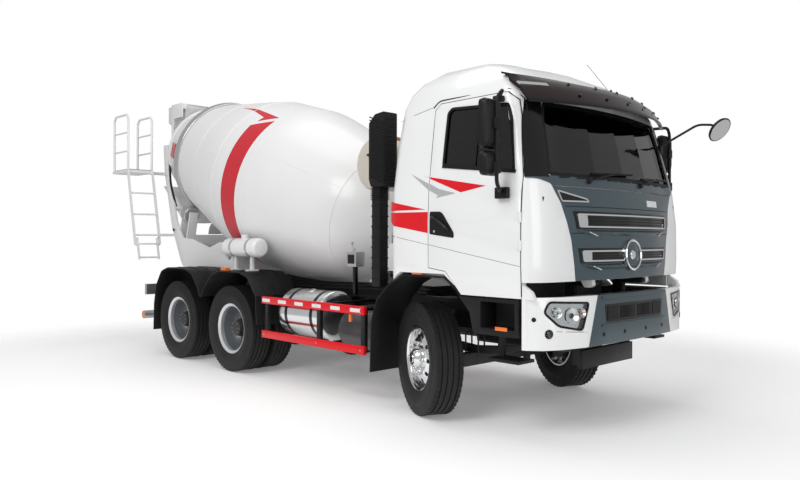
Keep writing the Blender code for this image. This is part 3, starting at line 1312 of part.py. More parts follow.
bracket = turned(
    [(0, 0.0), (0, 0.10), (0.05, 0.10), (0.05, 0.0)], (0, CHUTE_PIVOT_S, PIVOT_TOP_Z + SEAT_GAP),
    (0, 0, 1), 14,
)
fork = []
for end in (-1, 1):
    near, far = sorted(
        (CHUTE_PIVOT_S + end * (CHUTE_RADIUS + 0.012), CHUTE_PIVOT_S + end * (CHUTE_RADIUS + 0.032))
    )
    fork.append(box((0.06, near, PIVOT_TOP_Z + 0.02), (0.20, far, 1.56)))
fork.append(
    box(
        (-0.05, CHUTE_PIVOT_S - CHUTE_RADIUS - 0.03, PIVOT_TOP_Z + 0.01),
        (0.20, CHUTE_PIVOT_S + CHUTE_RADIUS + 0.03, PIVOT_TOP_Z + 0.05),
    )
)
named(union(bracket, *fork), "chute_bracket", STEEL, (0, CHUTE_PIVOT_S, PIVOT_TOP_Z))

main_chute = half_pipe(-0.20, CHUTE_END_X - 0.01, CHUTE_FLOOR_Z, True)
trunnions = []
for end in (-1, 1):
    near, far = sorted(
        (CHUTE_PIVOT_S + end * 0.09, CHUTE_PIVOT_S + end * (CHUTE_RADIUS + 0.012 - SEAT_GAP))
    )
    block = box(
        (TILT_PIN[0] - 0.03, near, TILT_PIN[1] - 0.03),
        (TILT_PIN[0] + 0.03, far, TILT_PIN[1] + 0.03),
    )
    trunnions.append(block)
trough_space = extruded([(CHUTE_PIVOT_S + math.cos(a) * (CHUTE_RADIUS - CHUTE_WALL), CHUTE_FLOOR_Z + CHUTE_RADIUS - (CHUTE_RADIUS - CHUTE_WALL) * math.sin(a))
                         for a in (math.pi * k / 8 for k in range(9))], "X", -0.5, 1.3)
main_chute = cut(union(main_chute, *trunnions), trough_space)
named(main_chute, "main_chute", WHITE_PAINT, (TILT_PIN[0], CHUTE_PIVOT_S, TILT_PIN[1]))

extension_floor = 1.682 + CHUTE_RADIUS
extension = half_pipe(0.30, CHUTE_END_X - 0.01, extension_floor, False)
lugs = []
for end in (-1, 1):
    near, far = sorted(
        (CHUTE_PIVOT_S + end * (CHUTE_RADIUS + SEAT_GAP), CHUTE_PIVOT_S + end * (CHUTE_RADIUS + 0.012))
    )
    lugs.append(box((CHUTE_END_X - 0.08, near, 1.64), (FOLD_PIN[0] + 0.03, far, 1.76)))
    near, far = sorted(
        (CHUTE_PIVOT_S + end * (CHUTE_RADIUS - 0.005), CHUTE_PIVOT_S + end * (CHUTE_RADIUS + 0.012))
    )
    lugs.append(box((CHUTE_END_X - 0.08, near, 1.70), (CHUTE_END_X - 0.012, far, 1.76)))
named(
    union(extension, *lugs), "chute_extension", WHITE_PAINT,
    (FOLD_PIN[0], CHUTE_PIVOT_S, FOLD_PIN[1]),
)

# ---------------------------------------------------------------- platform and ladder
DECK_X = (-1.25, -0.85)
DECK_S = (6.12, 6.68)
DECK_Z = 2.64
TUBE = 0.017


def guard_loop(x):
    """A hand rail with two middle rails, standing along one side of the platform."""
    front, rear, top = DECK_S[0] + 0.03, DECK_S[1] - 0.03, 3.47
    loop = tube(
        [
            (x, front, DECK_Z - 0.02), (x, front, top - 0.06), (x, front + 0.06, top),
            (x, rear - 0.06, top), (x, rear, top - 0.06), (x, rear, DECK_Z - 0.02),
        ],
        TUBE,
    )
    rails = [tube([(x, front, z), (x, rear, z)], TUBE * 0.8) for z in (2.92, 3.20)]
    return union(loop, *rails)


deck = box((DECK_X[0], DECK_S[0], DECK_Z - 0.04), (DECK_X[1], DECK_S[1], DECK_Z))
loops = [guard_loop(DECK_X[0] + TUBE), guard_loop(DECK_X[1] - TUBE)]
deck_arms = [
    box((-0.90, s, DECK_Z - 0.05), (-SIDE_PLATE_X[1] - SEAT_GAP, s + 0.04, DECK_Z - 0.01))
    for s in (6.125, 6.18)
]
LADDER_FOOT = (5.93, 1.76)
LADDER_HEAD = (6.14, DECK_Z)
lean = (LADDER_HEAD[0] - LADDER_FOOT[0]) / (LADDER_HEAD[1] - LADDER_FOOT[1])


def ladder_s(z):
    """Where the leaning ladder is at a height."""
    return LADDER_FOOT[0] + (z - LADDER_FOOT[1]) * lean


def stringer(x, low, high, width, depth):
    return bent_bar([(x, ladder_s(low), low), (x, ladder_s(high), high)], width, depth, (1, 0, 0))


fixed = [stringer(x, 1.52, DECK_Z - 0.01, 0.02, 0.05) for x in (DECK_X[0] + 0.012, DECK_X[1] - 0.012)]
rungs = [
    rod((DECK_X[0] + 0.01, ladder_s(z), z), (DECK_X[1] - 0.01, ladder_s(z), z), 0.014)
    for z in (2.29, 1.97)
]
rungs.append(
    rod((DECK_X[0] + 0.01, ladder_s(1.66), 1.66), (DECK_X[1] - 0.01, ladder_s(1.66), 1.66), 0.014)
)
stay = box(
    (DECK_X[1] - 0.03, ladder_s(1.66) - 0.03, 1.64),
    (-SIDE_PLATE_X[1] - SEAT_GAP, ladder_s(1.66), 1.68),
)
named(union(deck, *loops, *deck_arms, *fixed, *rungs, stay), "platform_and_ladder", WHITE_PAINT)

INNER_X = (DECK_X[0] + 0.05, DECK_X[1] - 0.05)
sliding = [stringer(x, 1.30, 1.62, 0.018, 0.04) for x in INNER_X]
guides = [stringer(x, 1.50, 1.60, 0.0272, 0.04) for x in (DECK_X[0] + 0.0360, DECK_X[1] - 0.0360)]
steps = [rod((INNER_X[0], ladder_s(z), z), (INNER_X[1], ladder_s(z), z), 0.014) for z in (1.33,)]
steps.append(box((INNER_X[0], ladder_s(1.53) - 0.04, 1.515), (INNER_X[1], ladder_s(1.53) + 0.04, 1.54)))
named(
    union(sliding[0], *steps, sliding[1], *guides), "ladder_lower", WHITE_PAINT,
    ((DECK_X[0] + DECK_X[1]) / 2, ladder_s(1.45), 1.45),
)

# ---------------------------------------------------------------- washout tank on the right side
wash = turned(
    [(0, 0), (0, 0.09), (0.03, 0.115), (0.72, 0.115), (0.75, 0.09), (0.75, 0)], (-1.04, 2.82, 1.50),
    (0, 1, 0), 16,
)
wash_arms = []
for station in (3.0, 3.36):
    wash_arms.append(box((-1.06, station, 1.23), (-1.02, station + 0.04, 1.42)))
    wash_arms.append(
        box(
            (-1.12, station - 0.01, FENDER_TOP_Z + SEAT_GAP),
            (-0.96, station + 0.05, FENDER_TOP_Z + 0.02),
        )
    )
named(union(wash, *wash_arms), "additive_tank", WHITE_PAINT)
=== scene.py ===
"""The looks of a three-axle concrete mixer truck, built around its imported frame.

Units are metres and +Z is up. The truck faces -Y, so its right side is -X. Places are written as (x, s, z),
where s runs rearwards from the front axle; WORKSHOP turns them into the frame's own coordinates.
Each sub-assembly is a class that holds its sizes and builds and dresses its own pieces.
"""

import enum
import functools
import json
import logging
import math
from dataclasses import dataclass, field
from typing import Callable, Iterable, Sequence

import bmesh
import bpy
from mathutils import Matrix, Vector
from mathutils.bvhtree import BVHTree

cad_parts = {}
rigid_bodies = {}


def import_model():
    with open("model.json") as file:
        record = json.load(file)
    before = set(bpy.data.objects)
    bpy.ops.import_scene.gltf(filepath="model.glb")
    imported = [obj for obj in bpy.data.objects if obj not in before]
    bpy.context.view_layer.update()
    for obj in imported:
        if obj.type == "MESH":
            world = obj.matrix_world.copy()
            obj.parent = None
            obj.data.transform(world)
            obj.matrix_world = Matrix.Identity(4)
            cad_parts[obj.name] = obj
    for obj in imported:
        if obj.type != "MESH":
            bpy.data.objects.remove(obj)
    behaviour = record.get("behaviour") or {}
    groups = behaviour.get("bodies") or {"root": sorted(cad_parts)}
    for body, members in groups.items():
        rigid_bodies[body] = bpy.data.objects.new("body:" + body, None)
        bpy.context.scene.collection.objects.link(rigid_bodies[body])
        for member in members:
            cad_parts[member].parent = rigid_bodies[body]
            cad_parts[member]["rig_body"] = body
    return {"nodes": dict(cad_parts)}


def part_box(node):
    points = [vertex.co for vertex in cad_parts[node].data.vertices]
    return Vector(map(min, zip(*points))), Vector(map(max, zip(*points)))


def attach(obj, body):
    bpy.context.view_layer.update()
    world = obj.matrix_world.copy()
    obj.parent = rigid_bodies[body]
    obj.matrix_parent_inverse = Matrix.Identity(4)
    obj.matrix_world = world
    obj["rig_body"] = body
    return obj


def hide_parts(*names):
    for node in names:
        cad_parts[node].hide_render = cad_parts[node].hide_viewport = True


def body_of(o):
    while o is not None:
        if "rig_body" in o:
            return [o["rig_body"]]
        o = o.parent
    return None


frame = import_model()

LOG = logging.getLogger("mixer_truck")
RIGHT, LEFT = -1, 1
SIDE_NAMES = {RIGHT: "right", LEFT: "left"}
Point = Sequence[float]
ANGLE_STEP = 50  # degrees to one unit of a patch's coordinates, so that its facets come out even
RAY_START = 3.0  # clear of the truck, where the rays of a skin begin


def middle_of(node: str) -> Vector:
    """The centre of a frame node's box."""
    low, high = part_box(node)
    return (Vector(low) + Vector(high)) / 2


DATUM_Y = middle_of("front_axle").y
WORKSHOP = Matrix.Translation((0, DATUM_Y, 0))
AXLE_Z = middle_of("twin_wheel_rear_right").z


# ---------------------------------------------------------------- shader groups
class NodeBoard:
    """A small helper that lays out and joins nodes in a node tree."""

    def __init__(self, tree: bpy.types.NodeTree) -> None:
        """Starts on a tree.

        Args:
            tree: the shader or geometry tree to fill.
        """
        self.tree = tree

    def add(self, kind: str, values: dict | None = None, **settings: object) -> bpy.types.Node:
        """Adds a node.

        Args:
            kind: the node's type name.
            values: defaults of its inputs by name or index.
            settings: properties of the node itself.

        Returns:
            The new node.
        """
        node = self.tree.nodes.new(kind)
        for key, value in settings.items():
            setattr(node, key, value)
        for key, value in (values or {}).items():
            node.inputs[key].default_value = value
        return node

    def join(self, *links: tuple) -> None:
        """Joins (output, input) pairs."""
        for source, target in links:
            self.tree.links.new(source, target)

    def math(self, operation: str, *values: object, use_clamp: bool = False) -> bpy.types.NodeSocket:
        """Adds one step of arithmetic.

        Args:
            operation: the math node's operation.
            values: its inputs in order, each an output of another node or a plain number.
            use_clamp: whether the result is kept within 0 and 1.

        Returns:
            The step's output.
        """
        node = self.add("ShaderNodeMath", operation=operation, use_clamp=use_clamp)
        for slot, value in zip(node.inputs, values):
            if isinstance(value, bpy.types.NodeSocket):
                self.join((value, slot))
            else:
                slot.default_value = value
        return node.outputs[0]


def new_group(name: str, inputs: Iterable[tuple], outputs: Iterable[tuple]) -> tuple:
    """Makes an empty shader group.

    Args:
        name: the group's name.
        inputs: (name, socket type, default) of each input.
        outputs: (name, socket type) of each output.

    Returns:
        The group, its board, and its input and output nodes.
    """
    group = bpy.data.node_groups.new(name, "ShaderNodeTree")
    for title, kind, default in inputs:
        socket = group.interface.new_socket(title, in_out="INPUT", socket_type=kind)
        socket.default_value = default
    for title, kind in outputs:
        group.interface.new_socket(title, in_out="OUTPUT", socket_type=kind)
    board = NodeBoard(group)
    return group, board, board.add("NodeGroupInput"), board.add("NodeGroupOutput")


COLOUR, NUMBER = "NodeSocketColor", "NodeSocketFloat"


def tone_group() -> bpy.types.NodeTree:
    """Slow drift of tone and gloss over a surface, as paint and rubber show under soft light."""
    group, board, inside, out = new_group(
        "tone_drift",
        (
            ("Color", COLOUR, (1, 1, 1, 1)), ("Roughness", NUMBER, 0.4), ("Scale", NUMBER, 2.0),
            ("Amount", NUMBER, 0.1),
        ),
        (("Color", COLOUR), ("Roughness", NUMBER)),
    )
    place = board.add("ShaderNodeTexCoord")
    noise = board.add("ShaderNodeTexNoise", {"Detail": 5.0, "Roughness": 0.6})
    tint = board.add("ShaderNodeVectorMath", operation="SCALE")
    swing = board.math("SUBTRACT", noise.outputs["Fac"], 0.5)
    gain = board.math("ADD", board.math("MULTIPLY", swing, inside.outputs["Amount"]), 1.0)
    rough = board.math("MULTIPLY", inside.outputs["Roughness"], gain, use_clamp=True)
    board.join(
        (place.outputs["Object"], noise.inputs["Vector"]), (inside.outputs["Scale"], noise.inputs["Scale"]),
        (inside.outputs["Color"], tint.inputs[0]), (gain, tint.inputs["Scale"]),
        (tint.outputs["Vector"], out.inputs["Color"]), (rough, out.inputs["Roughness"]),
    )
    return group


def masked_mix(
    board: NodeBoard, inside: bpy.types.Node, out: bpy.types.Node, cover: bpy.types.NodeSocket, layer: str,
) -> None:
    """Ends a group that lays a second colour over the first one through a mask.

    Args:
        board: the group's board.
        inside: its input node.
        out: its output node.
        cover: how much of the layer there is at each place.
        layer: the name of the second colour's input.
    """
    mask = board.math("MULTIPLY", cover, inside.outputs["Amount"], use_clamp=True)
    mix = board.add("ShaderNodeMix", data_type="RGBA")
    board.join(
        (mask, mix.inputs["Factor"]), (inside.outputs["Color"], mix.inputs["A"]),
        (inside.outputs[layer], mix.inputs["B"]), (mix.outputs["Result"], out.inputs["Color"]),
        (mask, out.inputs["Mask"]),
    )


def dust_group() -> bpy.types.NodeTree:
    """Road dust that gathers low on the truck and fades upwards in patches."""
    group, board, inside, out = new_group(
        "road_dust",
        (
            ("Color", COLOUR, (1, 1, 1, 1)), ("Dust", COLOUR, (0.35, 0.33, 0.30, 1)),
            ("Top", NUMBER, 1.2), ("Amount", NUMBER, 0.2),
        ),
        (("Color", COLOUR), ("Mask", NUMBER)),
    )
    place = board.add("ShaderNodeTexCoord")
    axes = board.add("ShaderNodeSeparateXYZ")
    height = board.add("ShaderNodeMapRange", {"From Min": 0.0, "To Min": 1.0, "To Max": 0.0})
    patches = board.add("ShaderNodeTexNoise", {"Scale": 7.0, "Detail": 6.0, "Roughness": 0.7})
    board.join(
        (place.outputs["Object"], axes.inputs[0]), (place.outputs["Object"], patches.inputs["Vector"]),
        (axes.outputs["Z"], height.inputs["Value"]), (inside.outputs["Top"], height.inputs["From Max"]),
    )
    masked_mix(board, inside, out, board.math("MULTIPLY", height.outputs[0], patches.outputs["Fac"]), "Dust")
    return group


def grain_group() -> bpy.types.NodeTree:
    """Fine surface relief: orange peel on paint, pebble on moulded plastic, mill skin on metal."""
    group, board, inside, out = new_group(
        "fine_grain",
        (("Scale", NUMBER, 200.0), ("Depth", NUMBER, 1.0), ("Stretch", NUMBER, 1.0)),
        (("Height", NUMBER),),
    )
    place = board.add("ShaderNodeTexCoord")
    squash = board.add("ShaderNodeCombineXYZ", {"X": 1.0, "Z": 1.0})
    scaled = board.add("ShaderNodeVectorMath", operation="MULTIPLY")
    noise = board.add("ShaderNodeTexNoise", {"Detail": 3.0, "Roughness": 0.55})
    board.join(
        (inside.outputs["Stretch"], squash.inputs["Y"]),
        (place.outputs["Object"], scaled.inputs[0]), (squash.outputs[0], scaled.inputs[1]),
        (scaled.outputs[0], noise.inputs["Vector"]), (inside.outputs["Scale"], noise.inputs["Scale"]),
        (board.math("MULTIPLY", noise.outputs["Fac"], inside.outputs["Depth"]), out.inputs["Height"]),
    )
    return group


def wear_group() -> bpy.types.NodeTree:
    """Rubbed corners: a mask from how sharply the surface turns, broken up by noise."""
    group, board, inside, out = new_group(
        "edge_wear",
        (("Color", COLOUR, (1, 1, 1, 1)), ("Worn", COLOUR, (0.5, 0.5, 0.5, 1)), ("Amount", NUMBER, 0.3)),
        (("Color", COLOUR), ("Mask", NUMBER)),
    )
    place = board.add("ShaderNodeTexCoord")
    shape = board.add("ShaderNodeNewGeometry")
    edge = board.add("ShaderNodeMapRange", {"From Min": 0.52, "From Max": 0.62})
    patches = board.add("ShaderNodeTexNoise", {"Scale": 18.0, "Detail": 4.0})
    board.join(
        (place.outputs["Object"], patches.inputs["Vector"]), (shape.outputs["Pointiness"], edge.inputs["Value"]),
    )
    masked_mix(board, inside, out, board.math("MULTIPLY", edge.outputs[0], patches.outputs["Fac"]), "Worn")
    return group


TONE, DUST, GRAIN, WEAR = tone_group(), dust_group(), grain_group(), wear_group()


# ---------------------------------------------------------------- finishes
@dataclass(frozen=True)
class Finish:
    """One procedural finish: colour, gloss, drift of tone, dust, rubbed edges and surface relief."""

    name: str
    colour: tuple[float, float, float]
    roughness: float
    metallic: float = 0.0
    coat: float = 0.0
    drift: float = 0.10
    drift_scale: float = 2.5
    dust: float = 0.0
    dust_top: float = 1.3
    wear: float = 0.0
    worn: tuple[float, float, float] = (0.45, 0.45, 0.46)
    grain_scale: float = 180.0
    grain_depth: float = 0.02
    grain_stretch: float = 1.0
    transmission: float = 0.0
    glow: float = 0.0
    specular: float = 0.5
    made: dict = field(default_factory=dict, compare=False, repr=False)

    def material(self) -> bpy.types.Material:
        """The finish as a material, made the first time it is asked for."""
        if "material" not in self.made:
            self.made["material"] = self.build()
        return self.made["material"]

    def build(self) -> bpy.types.Material:
        """Makes the node tree.

        Returns:
            The new material.
        """
        material = bpy.data.materials.new(self.name)
        material.use_nodes = True
        board = NodeBoard(material.node_tree)
        shader = material.node_tree.nodes["Principled BSDF"]
        shader.inputs["Metallic"].default_value = self.metallic
        shader.inputs["Coat Weight"].default_value = self.coat
        shader.inputs["Coat Roughness"].default_value = 0.06
        shader.inputs["Transmission Weight"].default_value = self.transmission
        shader.inputs["Specular IOR Level"].default_value = self.specular
        tone = board.add("ShaderNodeGroup", node_tree=TONE)
        tone.inputs["Color"].default_value = (*self.colour, 1)
        tone.inputs["Roughness"].default_value = self.roughness
        tone.inputs["Scale"].default_value = self.drift_scale
        tone.inputs["Amount"].default_value = self.drift
        colour = tone.outputs["Color"]
        if self.wear:
            wear = board.add(
                "ShaderNodeGroup", {"Worn": (*self.worn, 1), "Amount": self.wear}, node_tree=WEAR,
            )
            board.join((colour, wear.inputs["Color"]))
            colour = wear.outputs["Color"]
        if self.dust:
            dust = board.add("ShaderNodeGroup", {"Top": self.dust_top, "Amount": self.dust}, node_tree=DUST)
            board.join((colour, dust.inputs["Color"]))
            colour = dust.outputs["Color"]
        grain = board.add(
            "ShaderNodeGroup",
            {"Scale": self.grain_scale, "Depth": 1.0, "Stretch": self.grain_stretch},
            node_tree=GRAIN,
        )
        bump = board.add("ShaderNodeBump", {"Strength": self.grain_depth, "Distance": 0.002})
        board.join(
            (colour, shader.inputs["Base Color"]),
            (tone.outputs["Roughness"], shader.inputs["Roughness"]),
            (grain.outputs["Height"], bump.inputs["Height"]),
            (bump.outputs["Normal"], shader.inputs["Normal"]),
        )
        if self.glow:
            board.join((colour, shader.inputs["Emission Color"]))
            shader.inputs["Emission Strength"].default_value = self.glow
        return material


WHITE = Finish(
    "white_enamel", (0.86, 0.865, 0.87), 0.28, coat=0.7, drift=0.03, dust=0.10, dust_top=1.1,
    grain_depth=0.01,
)
DRUM_WHITE = Finish(
    "drum_enamel", (0.80, 0.80, 0.80), 0.36, coat=0.25, drift=0.07, drift_scale=1.6, grain_depth=0.05,
    grain_scale=60.0,
)
RIG_WHITE = Finish(
    "rig_enamel", (0.80, 0.80, 0.81), 0.4, coat=0.2, drift=0.08, wear=0.12, worn=(0.5, 0.49, 0.47),
    dust=0.12, dust_top=2.2, grain_depth=0.06, grain_scale=70.0,
)
SLATE = Finish(
    "slate_enamel", (0.058, 0.088, 0.105), 0.33, metallic=0.35, coat=0.3, drift=0.06, grain_depth=0.01,
)
BLACK = Finish(
    "chassis_black", (0.006, 0.006, 0.0065), 0.40, specular=0.25, drift=0.2, dust=0.07, dust_top=1.0,
    wear=0.10, worn=(0.10, 0.10, 0.10), grain_depth=0.10, grain_scale=90.0,
)
PLASTIC = Finish(
    "moulded_black", (0.007, 0.007, 0.0075), 0.44, specular=0.25, drift=0.12, dust=0.06, dust_top=0.9,
    grain_depth=0.22, grain_scale=420.0,
)
GLOSS_BLACK = Finish(
    "gloss_black", (0.005, 0.005, 0.006), 0.16, coat=0.15, specular=0.3, drift=0.05, grain_depth=0.005,
)
SMOKE = Finish(
    "smoked_brown_acrylic", (0.011, 0.004, 0.0035), 0.20, coat=0.10, specular=0.30, drift=0.15,
    grain_depth=0.005,
)
RED = Finish("signal_red", (0.72, 0.004, 0.012), 0.30, coat=0.08, specular=0.3, drift=0.05, grain_depth=0.02)
DRUM_RED = Finish(
    "drum_red", (0.58, 0.016, 0.030), 0.38, coat=0.05, specular=0.3, drift=0.08, grain_depth=0.05,
    grain_scale=60.0,
)
SWOOSH_GREY = Finish("decal_grey", (0.42, 0.43, 0.44), 0.35, coat=0.3, drift=0.05, grain_depth=0.01)
RUBBER = Finish(
    "tyre_rubber", (0.0075, 0.0075, 0.008), 0.62, specular=0.25, drift=0.25, drift_scale=6.0, dust=0.10,
    dust_top=1.05, grain_depth=0.18, grain_scale=260.0,
)
ALLOY = Finish(
    "polished_alloy", (0.82, 0.83, 0.84), 0.16, metallic=1.0, drift=0.12, drift_scale=9.0,
    grain_depth=0.03, grain_scale=320.0,
)
RIM_SILVER = Finish("rim_silver", (0.72, 0.73, 0.75), 0.34, metallic=0.55, coat=0.3, drift=0.08, dust=0.08,
                    dust_top=0.9, grain_depth=0.04)
# Painted shade: the rim's deep dish gets this dark grey in place of the lip's light silver, standing for the shade
# inside the dish.
RIM_DISH_SHADE = Finish(
    "rim_dish_painted_shade", (0.15, 0.165, 0.18), 0.42, metallic=0.25, coat=0.2, drift=0.12, dust=0.12,
    grain_depth=0.06,
)
STEEL = Finish(
    "galvanised_steel", (0.55, 0.56, 0.57), 0.36, metallic=0.9, drift=0.22, drift_scale=14.0, dust=0.08,
    wear=0.1, grain_depth=0.08, grain_scale=120.0,
)
BRUSHED = Finish("brushed_aluminium", (0.74, 0.75, 0.76), 0.27, metallic=1.0, drift=0.10, drift_scale=5.0,
                 grain_depth=0.10, grain_scale=260.0, grain_stretch=0.05)
CHROME = Finish("chrome", (0.80, 0.81, 0.82), 0.07, metallic=1.0, drift=0.04, grain_depth=0.004)
IRON = Finish(
    "cast_iron_black", (0.022, 0.022, 0.023), 0.55, metallic=0.2, drift=0.25, drift_scale=8.0, dust=0.18,
    dust_top=1.1, wear=0.15, worn=(0.2, 0.19, 0.18), grain_depth=0.3, grain_scale=140.0,
)
TINT = Finish("tinted_glass", (0.055, 0.060, 0.066), 0.03, drift=0.03, transmission=1.0, grain_depth=0.0)
LENS = Finish("clear_lens", (0.93, 0.95, 0.96), 0.03, drift=0.01, transmission=1.0, grain_depth=0.0)
AMBER = Finish(
    "amber_lens", (0.80, 0.17, 0.008), 0.22, coat=0.5, drift=0.08, grain_scale=90.0, grain_depth=0.25,
    glow=0.10,
)
TAIL_RED = Finish(
    "red_lens", (0.55, 0.01, 0.01), 0.2, coat=0.5, drift=0.06, grain_scale=90.0, grain_depth=0.25,
)
REFLECTOR = Finish("retroreflector_white", (0.78, 0.79, 0.80), 0.25, coat=0.4, drift=0.08, drift_scale=40.0,
                   grain_scale=500.0, grain_depth=0.2)
CREAM = Finish(
    "water_tank_cream", (0.60, 0.55, 0.48), 0.30, coat=0.4, drift=0.08, drift_scale=3.0, grain_depth=0.04,
)
SEAT_RED = Finish("seat_cloth_red", (0.30, 0.02, 0.02), 0.9, drift=0.15, drift_scale=30.0, grain_scale=900.0,
                  grain_depth=0.5)
SEAT_GREY = Finish(
    "seat_cloth_grey", (0.06, 0.06, 0.065), 0.9, drift=0.15, drift_scale=30.0, grain_scale=900.0,
    grain_depth=0.5,
)
RUBBER_SEAL = Finish("seal_rubber", (0.006, 0.006, 0.007), 0.5, specular=0.25, drift=0.1, grain_depth=0.05)
SILENCER = Finish(
    "silencer_dark_steel", (0.10, 0.10, 0.105), 0.40, metallic=0.7, drift=0.2, dust=0.1, grain_depth=0.1,
)
ZINC = Finish(
    "zinc_bolt", (0.50, 0.49, 0.45), 0.35, metallic=0.9, drift=0.2, drift_scale=60.0, grain_depth=0.05,
)
BRASS = Finish(
    "brass_valve", (0.45, 0.22, 0.08), 0.35, metallic=0.9, drift=0.2, drift_scale=40.0, grain_depth=0.08,
)


# ---------------------------------------------------------------- building pieces
def soften(made: bmesh.types.BMesh, bevel: float) -> bmesh.types.BMesh:
    """Rounds every edge of a body by bevel, or none if it is zero."""
    if bevel:
        bmesh.ops.bevel(made, geom=made.edges[:], offset=bevel, segments=2, profile=0.7, affect="EDGES")
    return made


def oblong(a0: float, b0: float, a1: float, b1: float) -> list[tuple]:
    """The outline of an upright oblong between two corners."""
    return [(a0, b0), (a1, b0), (a1, b1), (a0, b1)]


def hoop(at: float, half: float, low: float, high: float) -> list[tuple]:
    """The section of a strap round a tank: centred at a place along it, between two radii."""
    return [(at - half, low), (at - half, high), (at + half, high), (at + half, low)]


def mirrored(side: int, low: Point, high: Point) -> tuple[Point, Point]:
    """The corners of a box given for the left side, turned for either."""
    xs = sorted((side * low[0], side * high[0]))
    return (xs[0], low[1], low[2]), (xs[1], high[1], high[2])


class Piece:
    """One visible piece under construction: bodies gathered in one mesh, each with its own finish.

    Points are (x, s, z) in the workshop's coordinates until the piece is placed.
    """

    def __init__(self, name: str, body: str, slot: str, finish: Finish) -> None:
        """Opens a piece.

        Args:
            name: the piece's name.
            body: the frame body that it rides on.
            slot: the record's material slot; it is not used, and the finish is given on its own.
            finish: the first finish; more are picked with use().
        """
        self.name = name
        self.body = body
        self.slot = slot
        self.finishes = [finish]
        self.current = 0
        self.mesh = bmesh.new()

    def use(self, finish: Finish) -> "Piece":
        """Picks the finish of what is added next."""
        if finish not in self.finishes:
            self.finishes.append(finish)
        self.current = self.finishes.index(finish)
        return self

    def take(self, made: bmesh.types.BMesh, turned: Matrix | None = None) -> "Piece":
        """Adds a closed body and gives it the current finish.

        Args:
            made: the body, which is freed.
            turned: where to place it, if it isn't in place.

        Returns:
            This piece.
        """
        if turned is not None:
            made.transform(turned)
        bmesh.ops.recalc_face_normals(made, faces=made.faces)
        for face in made.faces:
            face.material_index = self.current
        held = bpy.data.meshes.new("held")
        made.to_mesh(held)
        made.free()
        self.mesh.from_mesh(held)
        bpy.data.meshes.remove(held)
        return self

    def take_mesh(self, mesh: bpy.types.Mesh, placed: Matrix | None = None) -> "Piece":
        """Adds a finished mesh, such as one that a node recipe made."""
        made = bmesh.new()
        made.from_mesh(mesh)
        return self.take(made, placed)

    def box(self, low: Point, high: Point, bevel: float = 0.0) -> "Piece":
        """Adds a box between two corners with rounded edges."""
        made = bmesh.new()
        bmesh.ops.create_cube(made, size=1)
        size = Vector(high) - Vector(low)
        bmesh.ops.scale(made, vec=size, verts=made.verts)
        bmesh.ops.translate(made, vec=(Vector(high) + Vector(low)) / 2, verts=made.verts)
        return self.take(soften(made, bevel))

    def prism(
        self, outline: Sequence[tuple], axis: str, start: float, end: float, bevel: float = 0.0,
    ) -> "Piece":
        """Adds a closed outline pushed along an axis.

        Args:
            outline: along X it is (s, z), along Y it is (x, z), along Z it is (x, s).
            axis: X, Y or Z.
            start: where it begins on that axis.
            end: where it ends.
            bevel: radius of its edges.

        Returns:
            This piece.
        """
        places = {
            "X": lambda a, b, t: (t, a, b),
            "Y": lambda a, b, t: (a, t, b),
            "Z": lambda a, b, t: (a, b, t),
        }[axis]
        made = bmesh.new()
        face = made.faces.new([made.verts.new(places(a, b, start)) for a, b in outline])
        moved = bmesh.ops.extrude_face_region(made, geom=[face])
        shift = Vector(places(0, 0, end)) - Vector(places(0, 0, start))
        bmesh.ops.translate(
            made, vec=shift, verts=[v for v in moved["geom"] if isinstance(v, bmesh.types.BMVert)]
        )
        return self.take(soften(made, bevel))

    def loft(self, sections: Sequence[Sequence[Point]], closed: bool = False) -> "Piece":
        """Adds a body through sections of equal count, capped at the ends or closed on itself."""
        made = bmesh.new()
        rings = [[made.verts.new(p) for p in section] for section in sections]
        count = len(rings[0])
        pairs = list(zip(rings, rings[1:]))
        if closed:
            pairs.append((rings[-1], rings[0]))
        for low, high in pairs:
            for i in range(count):
                j = (i + 1) % count
                made.faces.new((low[i], low[j], high[j], high[i]))
        if not closed:
            made.faces.new(rings[0])
            made.faces.new(rings[-1])
        return self.take(made)

    def turned(self, profile: Sequence[tuple], start: Point, direction: Point, sides: int = 48) -> "Piece":
        """Adds a solid of revolution.

        Args:
            profile: (along, radius) points, closed by the axis or by themselves.
            start: the axis's origin.
            direction: the axis's direction.
            sides: how many flats make the round.

        Returns:
            This piece.
        """
        axis = Vector(direction).normalized()
        across = Vector((0, 0, 1)).cross(axis)
        across = across.normalized() if across.length > 1e-6 else Vector((1, 0, 0))
        other = axis.cross(across)
        made = bmesh.new()
        angles = [2 * math.pi * k / sides for k in range(sides)]
        rings = []
        for along, radius in profile:
            centre = Vector(start) + axis * along
            if radius < 1e-9:
                rings.append([made.verts.new(centre)])
                continue
            rings.append(
                [
                    made.verts.new(centre + (across * math.sin(a) + other * math.cos(a)) * radius)
                    for a in angles
                ]
            )
        pairs = list(zip(rings, rings[1:]))
        if len(rings[0]) > 1 and len(rings[-1]) > 1:
            pairs.append((rings[-1], rings[0]))
        for a, b in pairs:
            if len(a) == len(b) == 1:
                continue
            for i in range(sides):
                j = (i + 1) % sides
                corners = []
                for vertex in (a[i % len(a)], a[j % len(a)], b[j % len(b)], b[i % len(b)]):
                    if vertex not in corners:
                        corners.append(vertex)
                made.faces.new(corners)
        return self.take(made)

    def rod(self, start: Point, end: Point, radius: float, sides: int = 12) -> "Piece":
        """Adds a round bar between two points."""
        length = (Vector(end) - Vector(start)).length
        return self.turned(
            [(0, 0), (0, radius), (length, radius), (length, 0)], start, Vector(end) - Vector(start),
            sides,
        )

